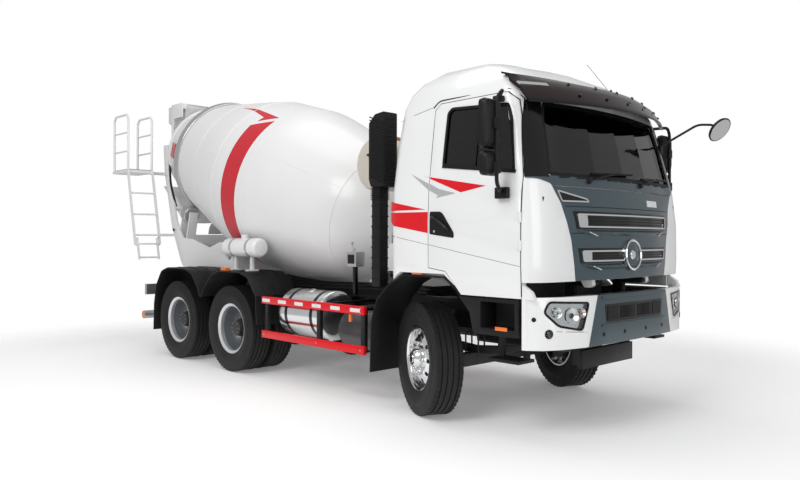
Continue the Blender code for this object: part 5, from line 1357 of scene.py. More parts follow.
@dataclass
class Cab:
    """The tilting cab: its painted shell and doors, glass with seals, trims, visor, wipers and colours."""

    door_rear: float = -0.16
    visor_half: float = 1.115
    visor_bow: float = 0.30
    window: tuple = (
        (-1.085, 2.15), (-1.015, 2.58), (-0.97, 2.70), (-0.36, 2.735), (-0.32, 2.70), (-0.31, 2.25),
    )
    screen: tuple = ((-1.0, 2.13), (1.0, 2.13), (0.94, 2.60), (0.89, 2.72), (-0.89, 2.72), (-0.94, 2.60))

    def build(self) -> None:
        """Builds and dresses everything that tilts with the cab."""
        refined("cab_shell", "white_paint", WHITE, bevel=0.005)
        for side in (RIGHT, LEFT):
            name = SIDE_NAMES[side]
            refined(f"door_{name}", "white_paint", WHITE, bevel=0.004)
            self.door_trim(side)
            self.door_mirror(side)
            self.side_colours(side)
        dress("windscreen", TINT)
        dress("door_glass_right", TINT)
        dress("door_glass_left", TINT)
        self.front_trim()
        self.visor()
        self.wipers()
        self.front_mirror()
        self.roof_details()
        CabInside().build()

    def door_trim(self, side: int) -> None:
        """The window seal, waist seal, handle in its recess, the door's welt and the drip rail over it."""
        name = SIDE_NAMES[side]
        on_skin = functools.partial(CabSkin.on_side, side)
        trim = Piece(f"door_trim_{name}", f"door_{name}_body", "black_plastic", RUBBER_SEAL)
        seal_loop(trim, rounded(self.window, 0.02), on_skin, 0.024, 0.003, 0.010)
        trim.use(PLASTIC)
        skin_patch(
            trim, [(-1.10, 2.130), (-1.105, 2.156), (-0.305, 2.256), (-0.30, 2.224)], on_skin, 0.006,
            0.008,
        )
        trim.use(GLOSS_BLACK)
        skin_patch(
            trim, [(-0.672, 2.196), (-0.690, 2.722), (-0.662, 2.724), (-0.640, 2.200)], on_skin, -0.004,
            0.004,
        )
        trim.use(PLASTIC)
        recess = [
            (-0.178, 1.848), (-0.30, 1.846), (-0.335, 1.826), (-0.462, 1.662), (-0.462, 1.618),
            (-0.178, 1.652),
        ]
        skin_patch(trim, rounded(recess, 0.016), on_skin, 0.004, 0.006)
        trim.use(GLOSS_BLACK)
        grip = [on_skin(-0.20, 1.80, 0.006), on_skin(-0.22, 1.80, 0.022), on_skin(-0.30, 1.762, 0.030),
                on_skin(-0.39, 1.704, 0.022), on_skin(-0.41, 1.692, 0.006)]
        trim.pipe(grip, 0.011, 10, bend=0.03)
        trim.use(CHROME)
        trim.turned(
            [(0, 0), (0, 0.011), (0.004, 0.011), (0.004, 0)], on_skin(-0.235, 1.675, 0.002), (side, 0, 0),
            16,
        )
        trim.done()
        welt = Piece(f"door_welts_{name}", "cab", "black_plastic", RUBBER_SEAL)
        around = [(-1.163, 1.16), (-1.163, 2.10), (-1.078, 2.60), (-1.043, 2.73), (-0.96, 2.803),
                  (-0.22, 2.798), (-0.157, 2.742), (-0.157, 1.357), (-0.36, 1.332), (-0.56, 1.13)]
        line = []
        for (s0, z0), (s1, z1) in zip(around, around[1:]):
            line += [on_skin(s0 + (s1 - s0) * k / 8, z0 + (z1 - z0) * k / 8, -0.0035) for k in range(8)]
        welt.pipe(line, 0.0036, 6)
        gutter = [
            (-1.19, 2.10), (-1.105, 2.60), (-1.07, 2.74), (-0.965, 2.832), (-0.20, 2.826), (-0.135, 2.77),
        ]
        welt.pipe([on_skin(s, z, 0.001) for s, z in gutter], 0.0065, 8, bend=0.05)
        welt.done()

    def side_colours(self, side: int) -> None:
        """The red and grey flashes, split where the door meets the shell, and a thin dark strip on the long swage
        line, which is painted shade for its crease.
        """
        name = SIDE_NAMES[side]
        on_skin = functools.partial(CabSkin.on_side, side)
        shell = Piece(f"shell_flash_{name}", "cab", "red_paint", RED)
        rear = self.door_rear + 0.009
        skin_patch(
            shell, [(rear, 1.846), (rear, 1.661), (0.300, 1.730), (0.345, 1.765), (0.352, 1.850)],
            on_skin,
        )
        skin_patch(shell, [(rear + 0.03, 1.868), (0.352, 1.866), (0.352, 1.953)], on_skin)
        skin_patch(shell, [(rear, 2.1505), (rear, 2.152), (-0.09, 2.163)], on_skin)
        shell.use(SWOOSH_GREY)
        skin_patch(shell, [(0.079, 2.192), (rear, 2.094), (rear, 2.042)], on_skin)
        # Painted shade: a thin near-black strip along the swage line stands for the shade in the crease.
        shell.use(RUBBER_SEAL)
        skin_patch(shell, [(0.345, 1.640), (0.345, 1.643), (rear, 1.5605), (rear, 1.5575)], on_skin, 0.0006)
        shell.done()
        door = Piece(f"door_flash_{name}", f"door_{name}_body", "red_paint", RED)
        edge = self.door_rear - 0.006
        skin_patch(door, [(edge, 2.151), (edge, 2.136), (-0.534, 2.002), (-0.806, 2.044)], on_skin)
        door.use(SWOOSH_GREY)
        skin_patch(
            door,
            [
                (edge, 2.092), (edge, 2.034), (-0.273, 1.986), (-0.243, 1.964), (-0.477, 1.997),
                (-0.282, 2.041),
            ],
            on_skin,
        )
        # Painted shade: the swage line's crease carries on across the door as a thin near-black strip.
        door.use(RUBBER_SEAL)
        skin_patch(door, [(edge, 1.5565), (edge, 1.5595), (-1.155, 1.397), (-1.155, 1.394)], on_skin, 0.0006)
        door.done()

    def door_mirror(self, side: int) -> None:
        """Two rounded mirror heads with their glass, on a bent tube with feet."""
        name = SIDE_NAMES[side]
        mirror = Piece(f"door_mirror_{name}", f"door_{name}_body", "black_plastic", PLASTIC)
        for x0, x1, s0, z0, z1 in ((1.33, 1.53, -1.06, 2.31, 2.70), (1.34, 1.52, -1.06, 2.10, 2.292)):
            sections = []
            for share, pull in ((0.0, 0.045), (0.25, 0.012), (0.6, 0.0), (1.0, 0.004)):
                s = s0 + 0.088 * share
                ring = rounded(oblong(x0 + pull, z0 + pull, x1 - pull, z1 - pull), 0.045, 5)
                sections.append([(side * x, s, z) for x, z in ring])
            mirror.loft(sections)
        mirror.use(CHROME)
        for x0, x1, z0, z1 in ((1.345, 1.515, 2.33, 2.68), (1.355, 1.505, 2.118, 2.275)):
            ring = rounded(oblong(side * x0, z0, side * x1, z1), 0.035, 5)
            mirror.prism(ring, "Y", -0.974, -0.969)
        mirror.use(PLASTIC)
        x = side * 1.42
        path = [
            (side * 1.19, -0.90, 2.745), (side * 1.36, -1.075, 2.768), (x, -1.068, 2.70),
            (x, -1.068, 2.04), (side * 1.36, -1.05, 1.99), (side * 1.262, -0.98, 1.99),
        ]
        mirror.pipe(path, 0.0155, 12, bend=0.035)
        for low, high in (
            ((1.245, -1.06, 1.93), (1.292, -0.94, 2.02)), ((1.158, -0.94, 2.72), (1.22, -0.86, 2.768)),
        ):
            mirror.box(*mirrored(side, low, high), 0.010)
        for z in (2.16, 2.50):
            mirror.box(*mirrored(side, (1.385, -1.085, z - 0.045), (1.455, -1.045, z + 0.045)), 0.012)
        mirror.done(f"mirror_{name}")

    def front_trim(self) -> None:
        """The screen seal, the black pillar trims beside it, and the cowl below it."""
        trim = Piece("screen_trim", "cab", "black_plastic", RUBBER_SEAL)
        seal_loop(trim, rounded(self.screen, 0.03), CabSkin.on_front, 0.030, 0.003, 0.011)
        trim.use(GLOSS_BLACK)
        pillar = [
            (23.0, 2.098), (23.0, 2.14), (22.5, 2.60), (19.5, 2.735), (50, 2.735), (57, 2.60), (63, 2.45),
            (69, 2.14), (69, 2.098),
        ]
        for side in (RIGHT, LEFT):
            corner = CabSkin.corner_placer(side)
            skin_patch(trim, [(angle / ANGLE_STEP, z) for angle, z in pillar], corner, 0.003, 0.004, 0.06)
        trim.use(SLATE)
        cowl = [(-1.00, 2.038), (1.00, 2.038), (1.01, 2.116), (-1.01, 2.116)]
        skin_patch(trim, cowl, CabSkin.on_front, 0.003, 0.005)
        wing = [(20.0, 2.044), (27, 2.062), (38, 2.080), (52, 2.089), (68, 2.090), (68, 2.098), (20.0, 2.104)]
        for side in (RIGHT, LEFT):
            corner = CabSkin.corner_placer(side)
            skin_patch(trim, [(angle / ANGLE_STEP, z) for angle, z in wing], corner, 0.003, 0.005, 0.05)
        trim.use(PLASTIC)
        for k in range(-4, 5):
            base = CabSkin.on_front(k * 0.2, 2.114, 0.006)
            trim.box(base - Vector((0.085, 0.004, 0.007)), base + Vector((0.085, 0.004, 0.007)), 0.003)
        trim.done()

    def visor(self) -> None:
        """The smoked shade with its hem, its fixings and the lamp strip at its right end."""
        visor = Piece("smoked_visor", "cab", "black_plastic", SMOKE)
        half, count = self.visor_half, 24
        sheet = (
            (-0.88, 0.05, 2.985), (-1.10, 0.55, 2.962), (-1.26, 1, 2.912), (-1.37, 1, 2.83),
            (-1.44, 1, 2.715), (-1.432, 1, 2.708), (-1.355, 1, 2.815), (-1.25, 1, 2.893),
            (-1.10, 0.55, 2.946), (-0.88, 0.05, 2.968),
        )
        hem = ((-1.446, 1, 2.716), (-1.438, 1, 2.733), (-1.430, 1, 2.730), (-1.438, 1, 2.703))
        lamp = ((-1.315, 1, 2.886), (-1.345, 1, 2.858), (-1.335, 1, 2.850), (-1.305, 1, 2.876))
        visor.loft([self.visor_section(sheet, half * k / count) for k in range(-count, count + 1)])
        visor.use(GLOSS_BLACK)
        for k in range(-count, count):
            visor.loft([self.visor_section(hem, half * index / count) for index in (k, k + 1)])
        visor.use(IRON)
        for x in (-0.62, -0.31, 0.0, 0.31, 0.62, 0.93):
            for place in self.visor_section(((-1.275, 1, 2.905), (-1.395, 1, 2.80)), x):
                visor.turned([(0, 0), (0, 0.015), (0.008, 0.013), (0.010, 0)], place, (0, -0.75, 0.66), 12)
        visor.use(CHROME)
        visor.loft([self.visor_section(lamp, -1.105 + 0.030 * k) for k in range(9)])
        visor.done("sun_visor")

    def visor_section(self, profile: Iterable[tuple], x: float) -> list[tuple]:
        """A section of the bowed visor.

        Args:
            profile: (s, share of the bow, z) of each point.
            x: where it is cut.

        Returns:
            The section's points.
        """
        bow = self.visor_bow * (x / self.visor_half) ** 2
        return [(x, s + bow * share, z) for s, share, z in profile]

    def wipers(self) -> None:
        """Two wipers parked along the foot of the screen."""
        wipers = Piece("wipers", "cab", "black_plastic", PLASTIC)
        for pivot, tip in ((-0.55, 0.10), (0.25, 0.90)):
            foot = CabSkin.on_front(pivot, 2.09, 0.012)
            end = CabSkin.on_front((pivot + tip) / 2 + 0.06, 2.175, 0.030)
            wipers.turned([(-0.012, 0), (-0.012, 0.024), (0.016, 0.020), (0.02, 0)], foot, (0, -1, 0.1), 16)
            wipers.pipe([foot, CabSkin.on_front(pivot + 0.12, 2.125, 0.034), end], 0.008, 8, bend=0.03)
            count = 10
            for lift, radius in ((0.0, 0.009), (0.014, 0.005)):
                blade = [
                    CabSkin.on_front(
                        pivot + 0.03 + (tip - pivot - 0.02) * k / count, 2.152 + 0.028 * k / count,
                        0.014 + lift,
                    )
                    for k in range(count + 1)
                ]
                wipers.pipe(blade, radius, 6)
        wipers.done()

    def front_mirror(self) -> None:
        """The round kerb mirror on its bent arm over the left corner."""
        head = Vector((1.38, -1.60, 2.70))
        axis = Vector((-0.15, -0.72, -0.55)).normalized()
        mirror = Piece("kerb_mirror", "cab", "black_plastic", PLASTIC)
        mirror.turned(
            [
                (-0.045, 0.0), (-0.043, 0.04), (-0.03, 0.085), (-0.005, 0.122), (0.012, 0.130),
                (0.020, 0.126), (0.018, 0.0),
            ],
            head, axis, 40,
        )
        mirror.use(CHROME)
        mirror.turned(
            [(0.018, 0.0), (0.018, 0.119), (0.0215, 0.117), (0.026, 0.06), (0.027, 0.0)], head, axis, 40,
        )
        mirror.use(PLASTIC)
        mirror.pipe(
            [
                (1.01, -1.13, 2.51), (1.10, -1.25, 2.60), (1.24, -1.45, 2.745), (1.33, -1.555, 2.742),
                head - axis * 0.03,
            ],
            0.0115, 10, bend=0.05,
        )
        foot = CabSkin.on_front(1.03, 2.50, 0.004)
        mirror.box(foot - Vector((0.03, 0.02, 0.045)), foot + Vector((0.03, 0.02, 0.045)), 0.01)
        mirror.done("front_mirror")

    def roof_details(self) -> None:
        """A thin aerial, and a short seam on each shoulder of the roof."""
        roof = Piece("roof_details", "cab", "black_plastic", PLASTIC)
        foot = Vector((0.42, -0.97, 3.0))
        roof.turned(
            [(-0.03, 0), (-0.03, 0.022), (0.02, 0.016), (0.04, 0.006), (0.04, 0)], foot, (0, 0, 1), 14,
        )
        roof.rod(foot, foot + Vector((-0.165, 0.16, 0.28)), 0.0022, 6)
        roof.use(RUBBER_SEAL)
        for side in (RIGHT, LEFT):
            seam = [
                CabSkin.on_side(side, s, z, 0.0004) for s, z in ((0.30, 2.70), (0.10, 2.735), (-0.13, 2.775))
            ]
            roof.pipe(seam, 0.0018, 5)
        roof.done()


def dress(node: str, finish: Finish) -> None:
    """Gives a frame node a finish in place of its plain one."""
    made = frame["nodes"][node]
    if made.material_slots:
        for place in made.material_slots:
            place.material = finish.material()
    else:
        made.data.materials.append(finish.material())


@dataclass
class CabInside:
    """What shows through the glass: the dash and wheel, the engine cover and two padded seats."""

    floor: float = 1.3604
    seat_x: float = 0.62

    def build(self) -> None:
        """Builds the dash, the steering wheel and the seats."""
        dash = Piece("dash_and_cover", "cab", "black_plastic", PLASTIC)
        outline = [
            (-1.27, 1.94), (-1.22, 1.995), (-1.10, 2.045), (-1.05, 2.055), (-0.98, 2.02), (-0.94, 1.97),
            (-0.965, 1.80), (-1.02, 1.66), (-1.10, 1.605), (-1.27, 1.605),
        ]
        dash.prism(outline, "X", -1.10, 1.10, 0.008)
        dash.box((-0.22, -1.28, self.floor), (0.22, -1.08, 1.65), 0.01)
        dash.box((-0.44, -1.24, self.floor), (0.44, -0.27, self.floor + 0.155), 0.02)
        dash.use(GLOSS_BLACK).box((0.42, -1.00, 1.985), (0.82, -0.965, 2.045), 0.008)
        dash.use(IRON).rod((self.seat_x, -1.05, 1.85), (self.seat_x, -0.80, 1.98), 0.03, 16)
        dash.use(PLASTIC)
        centre, axis = Vector((self.seat_x, -0.78, 1.99)), Vector((0, 0.86, 0.50)).normalized()
        ring = [
            (0.013 * math.cos(a), 0.2125 + 0.013 * math.sin(a))
            for a in (2 * math.pi * k / 10 for k in range(10))
        ]
        dash.turned(ring, centre, axis, 40)
        dash.turned([(-0.03, 0.0), (-0.03, 0.055), (0.012, 0.06), (0.012, 0.0)], centre, axis, 24)
        dash.box((self.seat_x - 0.205, -0.790, 1.979), (self.seat_x + 0.205, -0.770, 2.001), 0.006)
        dash.done("cab_interior")
        for side in (RIGHT, LEFT):
            self.seat(side)

    def seat(self, side: int) -> None:
        """One padded seat: crowned cushion, raked back with a waist and a head rest, on its base.

        Args:
            side: right or left.
        """
        x, name = side * self.seat_x, SIDE_NAMES[side]
        base = Piece(f"seat_base_{name}", "cab", "black_plastic", PLASTIC)
        base.box((x - 0.19, -0.62, self.floor), (x + 0.19, -0.24, self.floor + 0.27), 0.02)
        base.done("cab_interior")
        back = Matrix.Translation((x, -0.185, self.floor + 0.40)) @ Matrix.Rotation(math.radians(-15), 4, "X")
        self.pad(
            f"seat_cushion_{name}", SEAT_RED, (0.235, 0.245, 0.065),
            Matrix.Translation((x, -0.455, self.floor + 0.335)), 4,
        )
        self.pad(
            f"seat_back_{name}", SEAT_RED, (0.215, 0.055, 0.31),
            back @ Matrix.Translation((0, 0.0, 0.30)), 4,
        )
        self.pad(
            f"seat_head_rest_{name}", SEAT_GREY, (0.12, 0.042, 0.085),
            back @ Matrix.Translation((0, 0.0, 0.71)), 3,
        )

    @staticmethod
    def pad(name: str, finish: Finish, half: tuple, place: Matrix, channels: int) -> None:
        """A stuffed pad whose faces crown and whose sides pull in between its corners.

        Args:
            name: the piece's name.
            finish: its cloth.
            half: its half sizes.
            place: where it sits, in workshop coordinates.
            channels: how many sewn channels run across it.
        """
        thin = min(range(3), key=lambda k: half[k])
        made = bmesh.new()
        bmesh.ops.create_cube(made, size=2)
        bmesh.ops.subdivide_edges(made, edges=made.edges[:], cuts=9, use_grid_fill=True)
        wide = [k for k in range(3) if k != thin]
        for vertex in made.verts:
            co = vertex.co.copy()
            u, v, w = co[wide[0]], co[wide[1]], co[thin]
            crown = (1 - u ** 4) * (1 - v ** 4)
            waist = 1 - 0.05 * (1 - u * u) * abs(v) ** 6
            groove = 0.10 * math.exp(-((math.sin(u * channels * math.pi / 2)) / 0.18) ** 2) * crown
            result = Vector((0, 0, 0))
            result[wide[0]] = u * half[wide[0]] * (1 - 0.05 * (1 - v * v) * abs(u) ** 6)
            result[wide[1]] = v * half[wide[1]] * waist
            result[thin] = w * half[thin] * (0.62 + 0.38 * crown - groove)
            vertex.co = result
        pad = Piece(name, "cab", "cloth", finish)
        pad.take(made, place)
        made_pad = pad.done("cab_interior", sharp=80, subdivide=1)


# ---------------------------------------------------------------- front face
class Skin:
    """A frame node's own surface, to place details on it by a ray."""

    def __init__(self, *nodes: str) -> None:
        """Gathers the surface of some frame nodes.

        Args:
            nodes: the frame nodes.
        """
        vertices, faces = [], []
        for node in nodes:
            mesh = frame["nodes"][node].data
            start = len(vertices)
            vertices += [Vector(v.co) - Vector((0, DATUM_Y, 0)) for v in mesh.vertices]
            faces += [[start + i for i in face.vertices] for face in mesh.polygons]
        self.tree = BVHTree.FromPolygons(vertices, faces)

    def hit(self, start: Point, direction: Point) -> tuple[Vector, Vector]:
        """Where a ray meets the surface, and the surface's direction there."""
        place, normal, _, _ = self.tree.ray_cast(Vector(start), Vector(direction))
        if place is None:
            place, normal, _, _ = self.tree.find_nearest(Vector(start) + Vector(direction) * 2)
        return place, normal if normal.dot(Vector(direction)) < 0 else -normal

    def front(self, x: float, z: float, proud: float) -> Vector:
        """A point over the surface seen from the front."""
        place, _ = self.hit((x, -RAY_START, z), (0, 1, 0))
        return place - Vector((0, proud, 0))

    def side(self, side: int) -> Callable[[float, float, float], Vector]:
        """A placer for the surface seen from one side."""
        def place(s: float, z: float, proud: float) -> Vector:
            found, _ = self.hit((side * RAY_START, s, z), (-side, 0, 0))
            return found + Vector((side * proud, 0, 0))
        return place


@dataclass
class FrontPanel:
    """The slate panel that drops open: two chromed slots over dark bars, ledges, a plain boss and a vent."""

    slots: tuple = ((0.745, 1.700, 0.125), (0.700, 1.420, 0.105))
    vent: tuple = ((-0.935, 1.998), (-0.60, 1.940), (-0.578, 1.918), (-0.895, 1.916))
    boss_z: float = 1.475
    boss_radius: float = 0.135

    def build(self) -> None:
        """Builds and dresses the panel."""
        refined("grille_panel", "grey_paint", SLATE, bevel=0.004)
        skin = Skin("grille_panel")
        trim = Piece("panel_trim", "front_panel", "alloy", GLOSS_BLACK)
        for half, low, tall in self.slots:
            self.slot(trim, skin, half, low, tall)
        self.boss(trim, skin)
        trim.use(REFLECTOR)
        skin_patch(trim, oblong(0.36, 1.905, 0.58, 1.962), skin.front, 0.006, 0.008)
        trim.use(CHROME)
        seal_loop(trim, rounded(self.vent, 0.010), skin.front, 0.012, 0.008, 0.010)
        trim.use(GLOSS_BLACK)
        skin_patch(trim, inset(self.vent, -0.008), skin.front, 0.003, 0.004)
        trim.use(RUBBER_SEAL)
        for z, width in ((1.655, 0.80), (1.872, 0.86)):
            skin_patch(trim, oblong(-width, z, width, z + 0.006), skin.front, 0.0012)
        trim.done()

    def slot(self, trim: Piece, skin: Skin, half: float, low: float, tall: float) -> None:
        """Adds one slot: a dark mouth, its chromed rim with end blocks, fine bars and the ledge under it.

        Args:
            trim: the open piece.
            skin: the panel's surface.
            half: half the slot's width.
            low: the height of its lower edge.
            tall: its height.
        """
        high = low + tall
        mouth = [
            (-half - 0.03, high + 0.012), (-half, low - 0.006), (half, low - 0.006),
            (half + 0.03, high + 0.012),
        ]
        trim.use(GLOSS_BLACK)
        skin_patch(trim, mouth, skin.front, 0.004, 0.006)
        trim.use(PLASTIC)
        for k in range(5):
            z = low + tall * (k + 0.5) / 5
            skin_patch(
                trim, oblong(-half + 0.14, z - 0.004, half - 0.02, z + 0.004), skin.front, 0.009, 0.006,
                0.10,
            )
        trim.use(CHROME)
        wide, narrow = half - 0.01, half - 0.025
        rim = [(-wide, high - 0.012), (-narrow, low + 0.012), (narrow, low + 0.012), (wide, high - 0.012)]
        seal_loop(trim, rounded(rim, 0.015), skin.front, 0.013, 0.016, 0.014)
        trim.use(BRUSHED)
        block = [
            (-half + 0.012, high - 0.016), (-half + 0.026, low + 0.015), (-half + 0.125, low + 0.018),
            (-half + 0.125, high - 0.018),
        ]
        skin_patch(trim, block, skin.front, 0.013, 0.010)
        trim.use(SLATE)
        count, sections = 20, []
        for k in range(-count, count + 1):
            x = (half - 0.02) * k / count
            edge = min(1.0, (1 - abs(k) / count) * 5)
            drop = 0.035 * edge
            root = skin.front(x, low - 0.012, 0.0)
            foot = skin.front(x, low - 0.030 - drop, 0.0)
            lip = root.lerp(foot, 0.45) - Vector((0, 0.006 + 0.020 * edge, 0))
            sections.append(
                [
                    root + Vector((0, 0.004, 0)), lip + Vector((0, 0, 0.006)),
                    lip - Vector((0, 0, 0.006)), foot + Vector((0, 0.004, 0)),
                ]
            )
        trim.loft(sections)
        trim.use(CHROME)
        for way in (-1, 1):
            x = way * (half - 0.13)
            start, end = skin.front(x, low - 0.030, 0.020), skin.front(x - way * 0.10, low - 0.062, 0.020)
            trim.rod(start, end, 0.006, 8)

    def boss(self, trim: Piece, skin: Skin) -> None:
        """Adds the plain round boss in the middle of the lower slot.

        Args:
            trim: the open piece.
            skin: the panel's surface.
        """
        place = skin.front(0, self.boss_z, 0.0)
        radius = self.boss_radius
        ring = [
            (0.010, radius - 0.020), (0.030, radius - 0.019), (0.037, radius - 0.009), (0.030, radius),
            (0.0, radius + 0.004),
        ]
        trim.use(CHROME).turned(ring + [(0.0, radius - 0.02)], place, (0, -1, 0.05), 56)
        trim.use(SLATE)
        dish = [
            (0.0, 0.0), (0.0, radius - 0.018), (0.012, radius - 0.018), (0.018, radius * 0.6),
            (0.022, 0.0),
        ]
        trim.turned(dish, place, (0, -1, 0.05), 56)
        trim.use(CHROME)
        trim.turned([(0.020, 0.0), (0.020, 0.040), (0.030, 0.032), (0.033, 0.0)], place, (0, -1, 0.05), 40)


@dataclass
class Bumper:
    """The three-part bumper with its lamps, mesh intake and tow covers."""

    lamp: tuple = ((0.70, 1.10), (1.10, 1.12), (1.14, 1.04), (1.02, 0.93), (0.78, 0.885))

    def build(self) -> None:
        """Builds and dresses the bumper."""
        refined("bumper_centre", "grey_paint", SLATE, bevel=0.006)
        for side in (RIGHT, LEFT):
            refined(f"bumper_corner_{SIDE_NAMES[side]}", "white_paint", WHITE, bevel=0.006)
            self.headlamp(side)
            self.corner_details(side)
        self.intake()

    def headlamp(self, side: int) -> None:
        """A clear lamp with its reflector bowls behind glass, in a black rim."""
        name = SIDE_NAMES[side]
        skin = Skin(f"bumper_corner_{name}")
        around = [(side * x, z) for x, z in rounded(self.lamp, 0.03)]
        plane = self.surface(skin, side)
        lamp = Piece(f"headlamp_{name}", "chassis", "glass", CHROME)
        skin_patch(lamp, inset(around, -0.004), plane, -0.022, 0.004, 0.04)
        lamp.use(GLOSS_BLACK)
        seal_loop(lamp, around, plane, 0.017, 0.004, 0.028)
        for (x, z), radius in (((0.885, 1.005), 0.062), ((1.03, 1.035), 0.040), ((0.775, 1.02), 0.036)):
            centre = plane(side * x, z, -0.016)
            outward = Vector((side * (0.25 + 1.2 * (x - 0.8)), -1, 0)).normalized()
            lamp.use(CHROME)
            lamp.turned(
                [
                    (0.0, radius * 0.35), (0.001, radius * 0.6), (0.012, radius), (0.016, radius),
                    (0.010, radius * 0.5), (0.006, radius * 0.35),
                ],
                centre, outward, 32,
            )
            lamp.use(GLOSS_BLACK if radius > 0.05 else AMBER if x < 0.8 else LENS)
            lamp.turned(
                [(0.0, 0.0), (0.0, radius * 0.34), (0.010, radius * 0.30), (0.015, 0.0)], centre, outward,
                24,
            )
        lamp.use(LENS)
        skin_patch(lamp, inset(around, -0.006), plane, -0.001, 0.002, 0.04)
        lamp.done()

    def surface(self, skin: Skin, side: int) -> Callable[[float, float, float], Vector]:
        """A placer that follows the corner's bow across the lamp's hole."""
        profile = (
            (0.45, -1.455), (0.75, -1.43), (0.98, -1.385), (1.14, -1.31), (1.225, -1.21), (1.235, -1.17),
        )

        def place(x: float, z: float, proud: float) -> Vector:
            wide = min(max(abs(x), profile[0][0]), profile[-1][0] - 1e-4)
            for (x0, s0), (x1, s1) in zip(profile, profile[1:]):
                if wide <= x1:
                    s = s0 + (s1 - s0) * (wide - x0) / (x1 - x0)
                    normal = Vector((side * (s1 - s0), -(x1 - x0), 0)).normalized()
                    break
            found, _ = skin.hit((x, -RAY_START, 0.85), (0, 1, 0))
            return Vector((x, min(s, found.y), z)) + normal * proud
        return place

    def corner_details(self, side: int) -> None:
        """The tow-eye plug, the fog lamp in its dimple, and a thin dark strip on the moulded lower line, which is
        painted shade for its crease.
        """
        name = SIDE_NAMES[side]
        skin = Skin(f"bumper_corner_{name}")
        parts = Piece(f"bumper_details_{name}", "chassis", "black_plastic", GLOSS_BLACK)
        place, normal = skin.hit((side * 1.19, -RAY_START, 0.985), (0, 1, 0))
        parts.turned(
            [(-0.004, 0.0), (-0.004, 0.018), (0.003, 0.018), (0.005, 0.018 * 0.7), (0.005, 0.0)], place,
            normal, 24,
        )
        place, normal = skin.hit((side * 1.10, -RAY_START, 0.872), (0, 1, 0))
        parts.use(GLOSS_BLACK).turned(
            [(-0.004, 0.0), (-0.004, 0.036), (0.004, 0.036), (0.002, 0.028), (0.002, 0.0)], place, normal,
            28,
        )
        parts.use(LENS).turned(
            [(0.002, 0.0), (0.002, 0.027), (0.007, 0.020), (0.009, 0.0)], place, normal, 28,
        )
        # Painted shade: a thin near-black strip along the moulded lower line stands for the shade in its crease.
        parts.use(RUBBER_SEAL)
        skin_patch(
            parts,
            [(side * 0.72, 0.868), (side * 1.04, 0.892), (side * 1.04, 0.889), (side * 0.72, 0.865)],
            skin.front, 0.0008,
        )
        parts.done()

    def intake(self) -> None:
        """The centre's mesh intake, the raised line above and below it, and four plugs."""
        skin = Skin("bumper_centre")
        parts = Piece("bumper_intake", "chassis", "black_plastic", GLOSS_BLACK)
        skin_patch(
            parts, rounded([(-0.47, 0.925), (0.47, 0.925), (0.49, 1.075), (-0.49, 1.075)], 0.02),
            skin.front, 0.0015,
        )
        parts.use(PLASTIC)
        for x0, x1 in ((-0.45, -0.30), (0.30, 0.45)):
            skin_patch(parts, oblong(x0, 0.945, x1, 1.055), skin.front, 0.005, 0.005)
        for start in (-0.26, 0.02):
            item = small_prism(
                [
                    (-0.0085, 0), (0, -0.0085), (0.0085, 0), (0, 0.0085), (0, 0.0055), (0.0055, 0),
                    (0, -0.0055), (-0.0055, 0),
                ],
                0.004,
            )
            grid = Repeat.mesh(
                Layout.GRID, item, STEEL, Across=14, Up=6, Step_Across=0.0172, Step_Up=0.0172,
                Stagger=0.0,
            )
            place = skin.front(start + 0.01, 0.957, 0.004)
            parts.use(IRON).take_mesh(grid, facing(place, (0, -1, 0)))
        parts.use(SLATE)
        for low, high, out in ((0.895, 0.912, 0.012), (1.125, 1.142, 0.014)):
            skin_patch(parts, oblong(-0.53, low, 0.53, high), skin.front, out, out)
        parts.use(GLOSS_BLACK)
        for x in (-0.50, -0.18, 0.18, 0.50):
            place, normal = skin.hit((x, -RAY_START, 0.830), (0, 1, 0))
            parts.turned([(-0.003, 0.0), (-0.003, 0.017), (0.003, 0.017), (0.004, 0.0)], place, normal, 20)
        parts.done()


